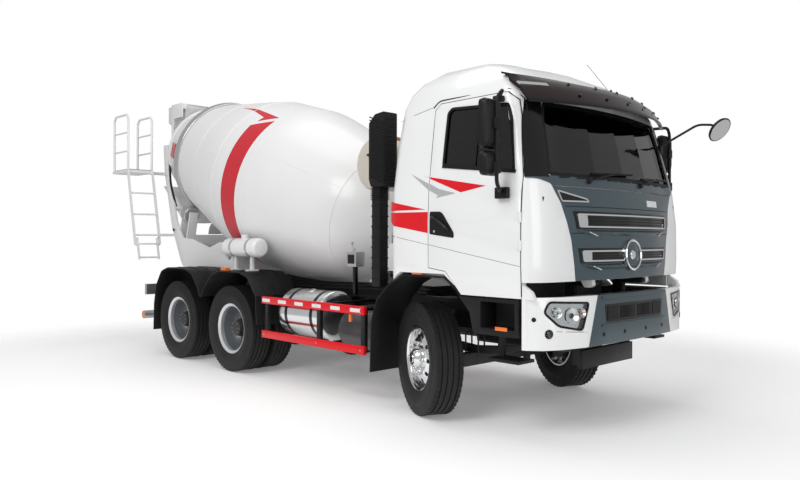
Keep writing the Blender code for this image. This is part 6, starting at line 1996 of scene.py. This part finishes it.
# ---------------------------------------------------------------- mixer
@dataclass
class Drum:
    """The turning drum: a smooth shell with weld seams, a red band, an arrow and the rear track."""

    start: tuple = (0.0, 1.80, 1.82)
    tilt: float = 15.5
    sides: int = 144
    body: str = "drum_body"
    outer: tuple = (
        (-0.53, 0.33), (-0.50, 0.36), (-0.36, 0.485), (-0.225, 0.60), (0.0, 0.80), (0.35, 0.895),
        (0.70, 0.975), (1.05, 1.055), (1.28, 1.098), (1.40, 1.112), (1.75, 1.1145), (2.15, 1.112),
        (2.28, 1.094), (2.60, 1.040), (3.10, 0.950), (3.60, 0.865),
    )
    rear: tuple = ((3.72, 0.85), (4.00, 0.762), (4.27, 0.685))

    @property
    def axis(self) -> Vector:
        """The drum's axis, forward end to mouth."""
        return Vector((0, math.cos(math.radians(self.tilt)), math.sin(math.radians(self.tilt))))

    def radius(self, along: float) -> float:
        """The shell's radius at a place along the axis."""
        line = self.outer + self.rear
        for (a0, r0), (a1, r1) in zip(line, line[1:]):
            if along <= a1:
                return r0 + (r1 - r0) * (along - a0) / (a1 - a0)
        return line[-1][1]

    def point(self, along: float, angle: float, proud: float) -> Vector:
        """A point on the shell. The angle is in degrees from straight up towards the right side."""
        axis = self.axis
        up = Vector((0, -axis.z, axis.y))
        spoke = up * math.cos(math.radians(angle)) + Vector((-1, 0, 0)) * math.sin(math.radians(angle))
        return Vector(self.start) + axis * along + spoke * (self.radius(along) + proud)

    def build(self) -> None:
        """Builds and dresses everything that turns with the drum."""
        shell = Piece("drum_shell", self.body, "drum_paint", DRUM_WHITE)
        inner = [(a, r - 0.011) for a, r in reversed(self.outer + self.rear)]
        shell.turned(
            list(self.outer + self.rear) + inner[:-1] + [(-0.50, 0.0), (-0.53, 0.0)], self.start,
            self.axis, self.sides,
        )
        shell.use(STEEL)
        track = [(3.60, 0.84), (3.60, 0.880), (3.606, 0.885), (3.714, 0.885), (3.72, 0.880), (3.72, 0.84)]
        shell.turned(track, self.start, self.axis, self.sides)
        shell.use(DRUM_WHITE)
        lip = [(4.255, 0.672), (4.255, 0.692), (4.27, 0.700), (4.30, 0.700), (4.30, 0.676)]
        shell.turned(lip, self.start, self.axis, 96)
        shell.turned([(-0.545, 0.0), (-0.545, 0.25), (-0.53, 0.26), (-0.53, 0.0)], self.start, self.axis, 48)
        self.blades(shell)
        shell.done("drum", sharp=28)
        self.seams()
        self.colours()

    def blades(self, shell: Piece) -> None:
        """Adds the two spiral fins that show inside the mouth."""
        for turn in (0, 180):
            sections = []
            for k in range(41):
                along = 2.9 + 1.30 * k / 40
                angle = turn + 300 * k / 40
                sections.append(
                    [
                        self.point(along, angle, -0.012), self.point(along + 0.05, angle, -0.30),
                        self.point(along + 0.056, angle, -0.30), self.point(along + 0.008, angle, -0.012),
                    ]
                )
            shell.loft(sections)

    def seams(self) -> None:
        """Weld beads round the shell's joins, lengthwise welds, and the red plate near the mouth."""
        weld = Piece("drum_welds", self.body, "drum_paint", DRUM_WHITE)
        for along in (0.0, 1.40, 2.15, 2.90):
            bead = [(along - 0.006, self.radius(along - 0.006) - 0.002), (along, self.radius(along) + 0.0035),
                    (along + 0.006, self.radius(along + 0.006) - 0.002)]
            weld.turned(bead, self.start, self.axis, self.sides)
        for start, end, angles in (
            (0.02, 1.40, (63, 183, 303)), (1.40, 2.15, (20, 140, 260)), (2.15, 2.90, (75, 195, 315)),
            (2.90, 3.58, (10, 130, 250)),
        ):
            for angle in angles:
                weld.pipe([self.point(start + (end - start) * k / 6, angle, 0.0) for k in range(7)], 0.003, 6)
        weld.use(TAIL_RED)
        place = self.point(3.98, 87, 0.0)
        outward = (self.point(3.98, 87, 0.5) - place + self.axis * 0.14).normalized()
        square = small_prism(rounded(oblong(-0.11, -0.11, 0.11, 0.11), 0.01), 0.012)
        weld.take(square, facing(place + outward * 0.003, outward, self.axis))
        weld.use(DRUM_RED)
        for turn in (0, 1):
            bar = small_prism(oblong(-0.085, -0.004, 0.085, 0.004), 0.003)
            shift = Matrix.Translation((0, 0.05 - 0.10 * turn, 0))
            weld.take(bar, facing(place + outward * 0.0145, outward, self.axis) @ shift)
        weld.done()

    def colours(self) -> None:
        """The red band with its slanted end and the arrow ahead of it."""
        red = Piece("drum_band", self.body, "red_paint", DRUM_RED)

        def place(along: float, turn: float, proud: float) -> Vector:
            return self.point(along, turn * ANGLE_STEP, proud)

        band = [(1.55, 175.0), (1.55, 38.5), (1.885, 47.5), (1.885, 175.0)]
        arrow = [(1.56, 34.5), (2.64, 29.5), (1.82, 38.0), (1.84, 43.0)]
        for outline in (band, arrow):
            skin_patch(red, [(a, turn / ANGLE_STEP) for a, turn in outline], place, 0.0016, 0.002, 0.07)
        red.done()


@dataclass
class DrumStands:
    """The pedestals, the gearbox, the rollers and the cream water tank behind the cab."""

    tank_centre: tuple = (0.0, 0.95, 2.37)
    tank_radius: float = 0.27
    tank_half: float = 0.95

    def build(self) -> None:
        """Builds and dresses the stands and tanks."""
        for node, finish, slot in (
            ("front_pedestal", RIG_WHITE, "drum_paint"), ("rear_pedestal", RIG_WHITE, "drum_paint"),
            ("drum_gearbox", IRON, "iron"), ("additive_tank", RIG_WHITE, "drum_paint"),
        ):
            refined(node, slot, finish)
        self.water_tank()
        for name in SIDE_NAMES.values():
            refined(f"support_roller_{name}", "iron", STEEL)
        self.gearbox_details()
        self.additive_straps()

    def water_tank(self) -> None:
        """The cross tank with domed ends, straps, handle, sight tube and filler."""
        centre, radius, half = Vector(self.tank_centre), self.tank_radius, self.tank_half
        tank = Piece("cream_tank", "chassis", "drum_paint", CREAM)
        profile = [(-half, 0.0)]
        for k in range(1, 7):
            angle = math.pi / 2 * k / 6
            profile.append((-half + 0.055 * (1 - math.cos(angle)), (radius - 0.004) * math.sin(angle) ** 0.6))
        profile += [(-a, r) for a, r in reversed(profile)]
        tank.turned(profile, centre, (1, 0, 0), 64)
        for at in (-half + 0.06, half - 0.06):
            tank.turned(
                [
                    (at - 0.008, radius - 0.01), (at - 0.005, radius), (at + 0.005, radius),
                    (at + 0.008, radius - 0.01),
                ],
                centre, (1, 0, 0), 64,
            )
        tank.use(STEEL)
        for at in (-0.45, 0.45):
            tank.turned(hoop(at, 0.025, radius - 0.01, radius + 0.002), centre, (1, 0, 0), 64)
        x = -half
        tank.use(IRON)
        tank.pipe(
            [(x + 0.01, 0.86, 2.40), (x - 0.03, 0.86, 2.42), (x - 0.03, 0.98, 2.46), (x + 0.01, 0.98, 2.47)],
            0.008, 8, 0.02,
        )
        tank.use(LENS)
        tank.rod((x - 0.014, 0.84, 2.20), (x - 0.014, 0.84, 2.54), 0.008, 10)
        tank.use(BRASS)
        for z in (2.19, 2.53):
            tank.box((x - 0.026, 0.826, z), (x + 0.02, 0.854, z + 0.022), 0.004)
        tank.turned(
            [(0, 0), (0, 0.05), (0.04, 0.05), (0.05, 0.03), (0.05, 0)], (x + 0.35, 0.95, 2.625),
            (0, 0, 1), 24,
        )
        tank.done("water_tank")

    def gearbox_details(self) -> None:
        """The gearbox's bolt ring and oil hoses."""
        drum = Drum()
        parts = Piece("gearbox_details", "chassis", "iron", IRON)
        plane = Vector(drum.start) + drum.axis * -0.655
        ring = Repeat.mesh(Layout.RING, cylinder_item(0.013, 0.02, 6, 0.1), ZINC, Count=18, Radius=0.215)
        parts.use(ZINC).take_mesh(ring, facing(plane - drum.axis * 0.21, -drum.axis))
        parts.use(RUBBER_SEAL)
        for x in (-0.16, 0.16):
            parts.pipe(
                [(x, 0.80, 1.42), (x * 1.3, 0.95, 1.30), (x * 1.5, 1.25, 1.22), (x * 1.5, 1.55, 1.18)],
                0.018, 8, 0.08,
            )
        parts.done()

    def additive_straps(self) -> None:
        """Straps, filler and tap on the small white tank beside the drum."""
        parts = Piece("additive_tank_details", "chassis", "steel", STEEL)
        centre = Vector((-1.04, 2.82, 1.50))
        for at in (0.18, 0.54):
            parts.turned(hoop(at, 0.018, 0.10, 0.1175), centre, (0, 1, 0), 40)
        parts.use(RIG_WHITE)
        parts.turned(
            [(0, 0), (0, 0.045), (0.05, 0.045), (0.055, 0.030), (0.055, 0)],
            centre + Vector((0, 0.36, 0.105)), (0, 0, 1), 24,
        )
        parts.done()


# ---------------------------------------------------------------- flank
@dataclass
class Flank:
    """The frame, axles, fenders, side guards and everything hung between the axles."""

    def build(self) -> None:
        """Builds and dresses the running gear and the flanks."""
        for node, slot, finish, bevel in (
            ("chassis_frame", "black_paint", BLACK, 0.004), ("bogie_springs", "black_paint", IRON, 0.002),
            ("front_axle", "iron", IRON, 0.006), ("middle_axle", "iron", IRON, 0.006),
            ("rear_axle", "iron", IRON, 0.006), ("knuckle_right", "iron", IRON, 0.004),
            ("knuckle_left", "iron", IRON, 0.004), ("tie_rod", "iron", IRON, 0.0),
            ("engine_and_gearbox", "iron", IRON, 0.008),
            ("battery_and_air_tank", "black_paint", BLACK, 0.006),
            ("exhaust_silencer", "steel", SILENCER, 0.004), ("rear_underrun", "grey_paint", STEEL, 0.0),
            ("rear_fenders_right", "black_plastic", PLASTIC, 0.004),
            ("rear_fenders_left", "black_plastic", PLASTIC, 0.004),
            ("front_fender_right", "black_plastic", PLASTIC, 0.004),
            ("front_fender_left", "black_plastic", PLASTIC, 0.004),
        ):
            refined(node, slot, finish, bevel=bevel)
        self.guard_rails()
        self.fuel_tank()
        self.air_intake()
        for side in (RIGHT, LEFT):
            self.guard_details(side)
            self.fender_details(side)
        self.controls()
        self.springs()

    def guard_rails(self) -> None:
        """The red rails, whose posts and brackets are black."""
        for side in (RIGHT, LEFT):
            made = refined(f"side_guard_{SIDE_NAMES[side]}", "red_paint", RED, bevel=0.004)
            made.data.materials.append(BLACK.material())
            for face in made.data.polygons:
                middle = face.center
                between = 0.580 < middle.z < 0.865
                if between or abs(middle.x) < 1.20:
                    face.material_index = 1

    def fuel_tank(self) -> None:
        """The polished cylindrical tank with pressed ends, straps, filler and brackets."""
        tank = Piece("polished_fuel_tank", "chassis", "alloy", ALLOY)
        centre, radius, length = Vector((-0.86, 1.56, 0.775)), 0.268, 0.80
        end = [
            (0.0, 0.0), (0.004, 0.14), (0.012, 0.20), (0.016, radius - 0.03), (0.024, radius - 0.012),
            (0.04, radius),
        ]
        tank.turned(end + [(length - a, r) for a, r in reversed(end)], centre, (0, 1, 0), 72)
        tank.use(GLOSS_BLACK)
        for at in (0.16, 0.62):
            tank.turned(hoop(at, 0.024, radius - 0.01, radius + 0.002), centre, (0, 1, 0), 72)
        tank.box((-0.56, 1.60, 0.56), (-0.46, 2.32, 0.62), 0.008)
        tank.box((-0.60, 1.70, 0.54), (-0.46, 1.76, 0.96), 0.008)
        tank.box((-0.60, 2.15, 0.54), (-0.46, 2.21, 0.96), 0.008)
        tank.use(BRUSHED)
        tank.turned(
            [(0, 0), (0, 0.055), (0.03, 0.055), (0.035, 0.046), (0.035, 0)], (-0.93, 1.96, 1.005),
            (-0.35, 0, 0.94), 32,
        )
        tank.done("fuel_tank")

    def air_intake(self) -> None:
        """The tall intake behind the cab: a ribbed head with slats and its pipe."""
        head = Piece("intake_head", "chassis", "black_plastic", PLASTIC)
        outline = rounded(
            [(0.465, 2.815), (0.60, 2.80), (0.685, 2.72), (0.685, 2.18), (0.655, 2.105), (0.465, 2.105)],
            0.02,
        )
        head.prism(outline, "X", -1.205, -1.035, 0.008)
        for k in range(20):
            z = 2.13 + 0.030 * k
            head.prism(
                [(0.478, z), (0.668, z + 0.075), (0.668, z + 0.085), (0.478, z + 0.010)], "X", -1.2145,
                -1.200,
            )
        for k in range(19):
            z = 2.15 + 0.033 * k
            head.box((-1.19, 0.458, z), (-1.05, 0.470, z + 0.012), 0.003)
        head.box((-1.175, 0.555, 1.15), (-1.065, 0.675, 2.11), 0.016)
        for k in range(9):
            z = 1.22 + 0.10 * k
            head.box((-1.179, 0.551, z), (-1.061, 0.679, z + 0.012), 0.004)
        head.use(RUBBER_SEAL)
        for k in range(7):
            z = 1.985 + 0.018 * k
            head.box((-1.185, 0.547, z), (-1.057, 0.681, z + 0.009), 0.004)
        head.done("air_intake")

    def guard_details(self, side: int) -> None:
        """Reflector patches, an amber lamp and bolts on the upper rail.

        Args:
            side: right or left.
        """
        skin = Skin(f"side_guard_{SIDE_NAMES[side]}").side(side)
        parts = Piece(f"guard_patches_{SIDE_NAMES[side]}", "chassis", "red_paint", REFLECTOR)
        count = 6
        for k in range(count):
            s = 0.84 + (2.40 - 0.84) * k / (count - 1)
            skin_patch(parts, rounded(oblong(s - 0.075, 0.895, s + 0.075, 0.932), 0.006), skin, 0.002, 0.003)
        parts.use(AMBER)
        parts.box(*mirrored(side, (1.208, 0.915, 0.792), (1.236, 0.945, 0.868)), 0.010)
        parts.use(ZINC)
        for s in (0.76, 1.47, 2.44):
            for z in (0.895, 0.935, 0.53):
                place = skin(s, z, 0.0)
                parts.take(cylinder_item(0.009, 0.004, 6, 0.1), facing(place, (side, 0, 0)))
        parts.done()

    def fender_details(self, side: int) -> None:
        """Stiffening ribs, rolled edges and amber marker lamps on the fenders.

        Args:
            side: right or left.
        """
        name = SIDE_NAMES[side]
        parts = Piece(f"fender_details_{name}", "chassis", "black_plastic", PLASTIC)
        for arch in (((2.60, 0.95), (2.79, 1.16), (2.97, 1.215), (3.44, 1.215), (3.64, 1.16), (3.83, 0.98)),
                     ((3.98, 0.98), (4.15, 1.16), (4.34, 1.215), (4.82, 1.215), (5.01, 1.16), (5.17, 0.95))):
            parts.pipe([(side * 1.243, s, z - 0.004) for s, z in arch], 0.008, 8, 0.06)
            for x in (0.80, 0.95, 1.10):
                parts.pipe([(side * x, s, z + 0.002) for s, z in arch], 0.005, 6, 0.06)
        parts.use(AMBER)
        for s, z in ((3.40, 1.212), (0.02, 1.290)):
            parts.box(*mirrored(side, (1.15, s - 0.06, z), (1.215, s + 0.06, z + 0.040)), 0.010)
        parts.box(*mirrored(side, (1.222, -1.02, 0.875), (1.232, -0.90, 0.905)), 0.003)
        parts.done()

    def controls(self) -> None:
        """The grey control box on its post, oil and air pipes along the rail, and the valves at the rear."""
        parts = Piece("flank_pipes", "chassis", "grey_paint", STEEL)
        parts.box((-0.955, 1.17, 1.32), (-0.835, 1.33, 1.475), 0.010)
        parts.use(GLOSS_BLACK)
        parts.box((-0.962, 1.20, 1.35), (-0.950, 1.30, 1.445), 0.004)
        parts.box((-0.915, 1.23, 1.02), (-0.875, 1.27, 1.33), 0.006)
        parts.use(CHROME)
        for x, top in ((-0.80, 1.56), (-0.76, 1.50)):
            parts.pipe([(x, 1.38, 1.02), (x, 1.38, 1.36), (x - 0.02, 1.40, top)], 0.007, 8, 0.04)
            parts.turned(
                [(-0.02, 0), (-0.012, 0.016), (0.012, 0.016), (0.02, 0)], (x - 0.02, 1.40, top),
                (0, 0, 1), 16,
            )
        parts.use(RUBBER_SEAL)
        for x, z in ((-0.50, 1.09), (-0.47, 1.12), (-0.53, 1.06)):
            parts.pipe(
                [(x, 0.55, z), (x, 1.4, z), (x - 0.02, 2.2, z - 0.02), (x, 3.2, z - 0.01), (x, 4.6, z)],
                0.010, 8, 0.10,
            )
        parts.use(BRASS)
        for s in (5.42, 5.50, 5.58):
            parts.turned(
                [(0, 0), (0, 0.016), (0.03, 0.016), (0.034, 0.024), (0.05, 0.024), (0.05, 0)],
                (-0.50, s, 1.30), (-1, 0, 0), 16,
            )
        parts.use(RED)
        parts.box((-0.565, 5.46, 1.33), (-0.553, 5.56, 1.345), 0.004)
        parts.done()

    def springs(self) -> None:
        """U bolts and shock absorbers at the front axle."""
        parts = Piece("front_leaf_details", "chassis", "iron", IRON)
        for side in (RIGHT, LEFT):
            for s in (-0.08, 0.08):
                path = [
                    (side * 0.385, s, 0.50), (side * 0.385, s, 0.70), (side * 0.475, s, 0.70),
                    (side * 0.475, s, 0.50),
                ]
                parts.pipe(path, 0.009, 8, 0.03)
            parts.rod((side * 0.52, 0.30, 0.60), (side * 0.52, 0.22, 0.92), 0.030, 16)
        parts.done()


# ---------------------------------------------------------------- rear
@dataclass
class Rear:
    """The platform and ladder, the hopper, the chutes and the lamps at the tail."""

    deck_z: float = 2.64

    def build(self) -> None:
        """Builds and dresses the rear."""
        for node, slot, finish, bevel in (
            ("platform_and_ladder", "drum_paint", RIG_WHITE, 0.0),
            ("ladder_lower", "drum_paint", RIG_WHITE, 0.002),
            ("loading_hopper", "drum_paint", RIG_WHITE, 0.003),
            ("main_chute", "drum_paint", RIG_WHITE, 0.003),
            ("chute_extension", "drum_paint", RIG_WHITE, 0.003),
            ("chute_bracket", "drum_paint", RIG_WHITE, 0.004),
        ):
            refined(node, slot, finish, bevel=bevel)
        self.deck()
        self.hopper_lip()
        self.tail_lamps()
        self.hoses()

    def deck(self) -> None:
        """Open grating on the deck."""
        parts = Piece("deck_grating", "chassis", "steel", STEEL)
        count = 15
        for k in range(count):
            x = -1.235 + 0.365 * (k + 0.5) / count
            parts.box((x - 0.0025, 6.135, self.deck_z + 0.0005), (x + 0.0025, 6.665, self.deck_z + 0.014))
        for k in range(6):
            s = 6.16 + 0.095 * k
            parts.box((-1.235, s - 0.0025, self.deck_z + 0.0005), (-0.865, s + 0.0025, self.deck_z + 0.010))
        parts.done()

    def hopper_lip(self) -> None:
        """A rolled edge round the hopper's mouth."""
        parts = Piece("hopper_edge", "hopper_body", "drum_paint", RIG_WHITE)
        ring = [(-0.45, 5.89, 3.690), (0.45, 5.89, 3.690), (0.45, 6.45, 3.690), (-0.45, 6.45, 3.690)]
        ring.append(ring[0])
        parts.pipe(ring, 0.009, 8, 0.03)
        parts.done()

    def tail_lamps(self) -> None:
        """Lamp clusters at the tail, each with three lenses, and the orange end caps of the underrun tube."""
        parts = Piece("tail_lamps", "chassis", "black_plastic", GLOSS_BLACK)
        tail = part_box("rear_underrun")[1].y - DATUM_Y
        for side in (RIGHT, LEFT):
            parts.use(GLOSS_BLACK).box(
                *mirrored(side, (0.62, tail - 0.13, 0.585), (0.98, tail - 0.06, 0.695)), 0.008,
            )
            for k, finish in enumerate((TAIL_RED, AMBER, LENS)):
                x = side * (0.68 + 0.11 * k)
                parts.use(finish).box(
                    (x - 0.048, tail - 0.062, 0.600), (x + 0.048, tail - 0.052, 0.680), 0.004,
                )
            parts.use(AMBER)
            parts.turned([(0.0, 0.0), (0.0, 0.040), (0.008, 0.036), (0.014, 0.020), (0.016, 0.0)],
                         (side * 1.189, 5.70, 0.50), (side, 0, 0), 32)
        parts.use(PLASTIC)
        parts.box((-0.26, tail - 0.10, 0.60), (0.26, tail - 0.085, 0.72), 0.006)
        parts.use(REFLECTOR)
        parts.box((-0.24, tail - 0.088, 0.615), (0.24, tail - 0.082, 0.705), 0.004)
        parts.done()

    def hoses(self) -> None:
        """The black wash-down hose at the pedestal's head, and its clamp."""
        parts = Piece("rear_hoses", "chassis", "black_plastic", RUBBER_SEAL)
        parts.pipe(
            [
                (-0.58, 5.92, 2.10), (-0.66, 5.95, 2.45), (-0.64, 6.02, 2.95), (-0.60, 6.12, 3.02),
                (-0.60, 6.19, 2.92),
            ],
            0.016, 10, 0.12,
        )
        parts.use(IRON)
        parts.turned([(0, 0), (0, 0.018), (0.03, 0.018), (0.03, 0)], (-0.64, 5.86, 1.73), (0, 0.5, 0.5), 12)
        parts.done()


# ---------------------------------------------------------------- studio
@dataclass
class Studio:
    """The pale floor that fades into the backdrop, soft lights and the camera."""

    camera_at: tuple = (-5.790, -7.096, 1.608)
    yaw: float = 0.7740
    pitch: float = 0.0026
    roll: float = -0.0024
    lens: float = 32.70
    shift: tuple = (-0.0159, -0.0035)
    floor_glow: float = 0.16
    fade: tuple = (4.6, 7.4)
    surround: float = 0.50

    def build(self) -> None:
        """Sets up everything that isn't the truck."""
        self.floor()
        self.world()
        self.lights()
        self.camera()
        bpy.context.scene.view_settings.view_transform = "Standard"

    def floor(self) -> None:
        """A round pale floor whose rim melts into the backdrop."""
        mesh = bpy.data.meshes.new("studio_floor")
        made = bmesh.new()
        bmesh.ops.create_circle(made, cap_ends=True, segments=96, radius=60)
        made.to_mesh(mesh)
        made.free()
        floor = bpy.data.objects.new("studio_floor", mesh)
        bpy.context.scene.collection.objects.link(floor)
        material = bpy.data.materials.new("pale_floor")
        material.use_nodes = True
        board = NodeBoard(material.node_tree)
        shader = material.node_tree.nodes["Principled BSDF"]
        shader.inputs["Base Color"].default_value = (0.93, 0.93, 0.93, 1)
        shader.inputs["Roughness"].default_value = 0.85
        shader.inputs["Emission Color"].default_value = (1, 1, 1, 1)
        shader.inputs["Emission Strength"].default_value = self.floor_glow
        place = board.add("ShaderNodeTexCoord")
        reach = board.add("ShaderNodeVectorMath", operation="LENGTH")
        fade = board.add(
            "ShaderNodeMapRange", {"From Min": self.fade[0], "From Max": self.fade[1], "To Min": 1.0, "To Max": 0.0},
            interpolation_type="SMOOTHSTEP",
        )
        board.join(
            (place.outputs["Object"], reach.inputs[0]), (reach.outputs["Value"], fade.inputs["Value"]),
            (fade.outputs["Result"], shader.inputs["Alpha"]),
        )
        mesh.materials.append(material)

    def world(self) -> None:
        """A plain near-white surround."""
        world = bpy.data.worlds.new("surround")
        world.use_nodes = True
        board = NodeBoard(world.node_tree)
        back = world.node_tree.nodes["Background"]
        back.inputs["Color"].default_value = (1.0, 1.0, 1.0, 1)
        seen = board.add("ShaderNodeLightPath")
        strength = board.add("ShaderNodeMapRange", {"To Min": self.surround, "To Max": 1.0})
        board.join((seen.outputs["Is Camera Ray"], strength.inputs["Value"]),
                   (strength.outputs["Result"], back.inputs["Strength"]))
        bpy.context.scene.world = world

    def lights(self) -> None:
        """A broad key from the front right, a soft fill and a top light."""
        for name, place, target, size, power in (
            ("key", (-9.5, -3.5, 8.5), (0, -0.6, 1.2), 5.0, 500),
            ("front_fill", (-3.0, -11.0, 3.0), (0, -RAY_START, 1.2), 5.0, 150),
            ("top", (0.0, 0.0, 10.0), (0, 0, 0), 7.0, 240),
        ):
            lamp = bpy.data.lights.new(name, "AREA")
            lamp.shape = "SQUARE"
            lamp.size = size
            lamp.energy = power
            made = bpy.data.objects.new(name, lamp)
            made.location = place
            made.rotation_euler = (Vector(target) - Vector(place)).to_track_quat("-Z", "Y").to_euler()
            bpy.context.scene.collection.objects.link(made)

    def camera(self) -> None:
        """A camera low at the front right corner."""
        data = bpy.data.cameras.new("camera")
        data.lens = self.lens
        data.sensor_width = 36.0
        data.shift_x, data.shift_y = self.shift
        data.clip_end = 200
        made = bpy.data.objects.new("camera", data)
        made.location = self.camera_at
        made.rotation_euler = (math.pi / 2 + self.pitch, self.roll, -self.yaw)
        bpy.context.scene.collection.objects.link(made)
        bpy.context.scene.camera = made


def plain_nodes() -> None:
    """Gives every frame node that is still showing a finish that suits its slot."""
    by_slot = {
        "white_paint": WHITE, "drum_paint": DRUM_WHITE, "grey_paint": SLATE, "black_paint": BLACK,
        "black_plastic": PLASTIC, "red_paint": RED, "tyre": RUBBER, "alloy": ALLOY, "steel": STEEL,
        "iron": IRON, "glass": TINT, "cloth": SEAT_GREY,
    }
    for name, made in frame["nodes"].items():
        held = made.material_slots[0].material if made.material_slots else None
        current = held.name if held else ""
        for slot, finish in by_slot.items():
            if slot in current:
                dress(name, finish)
    LOG.info("dressed the frame's own nodes")


ASSEMBLIES = (
    FrontWheel(RIGHT), FrontWheel(LEFT),
    TwinWheel(RIGHT, "middle"), TwinWheel(LEFT, "middle"), TwinWheel(RIGHT, "rear"), TwinWheel(LEFT, "rear"),
    Cab(), FrontPanel(), Bumper(), Drum(), DrumStands(), Flank(), Rear(), Studio(),
)


def main() -> None:
    """Builds every sub-assembly in order and reports the pieces that each added."""
    logging.basicConfig(level=logging.INFO, format="%(message)s")
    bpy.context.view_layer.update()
    for work in ASSEMBLIES:
        known = set(bpy.data.objects.keys())
        work.build()
        for name in sorted(set(bpy.data.objects.keys()) - known):
            LOG.info("%s: %s", type(work).__name__, name)
    plain_nodes()


if __name__ == "__main__":
    main()
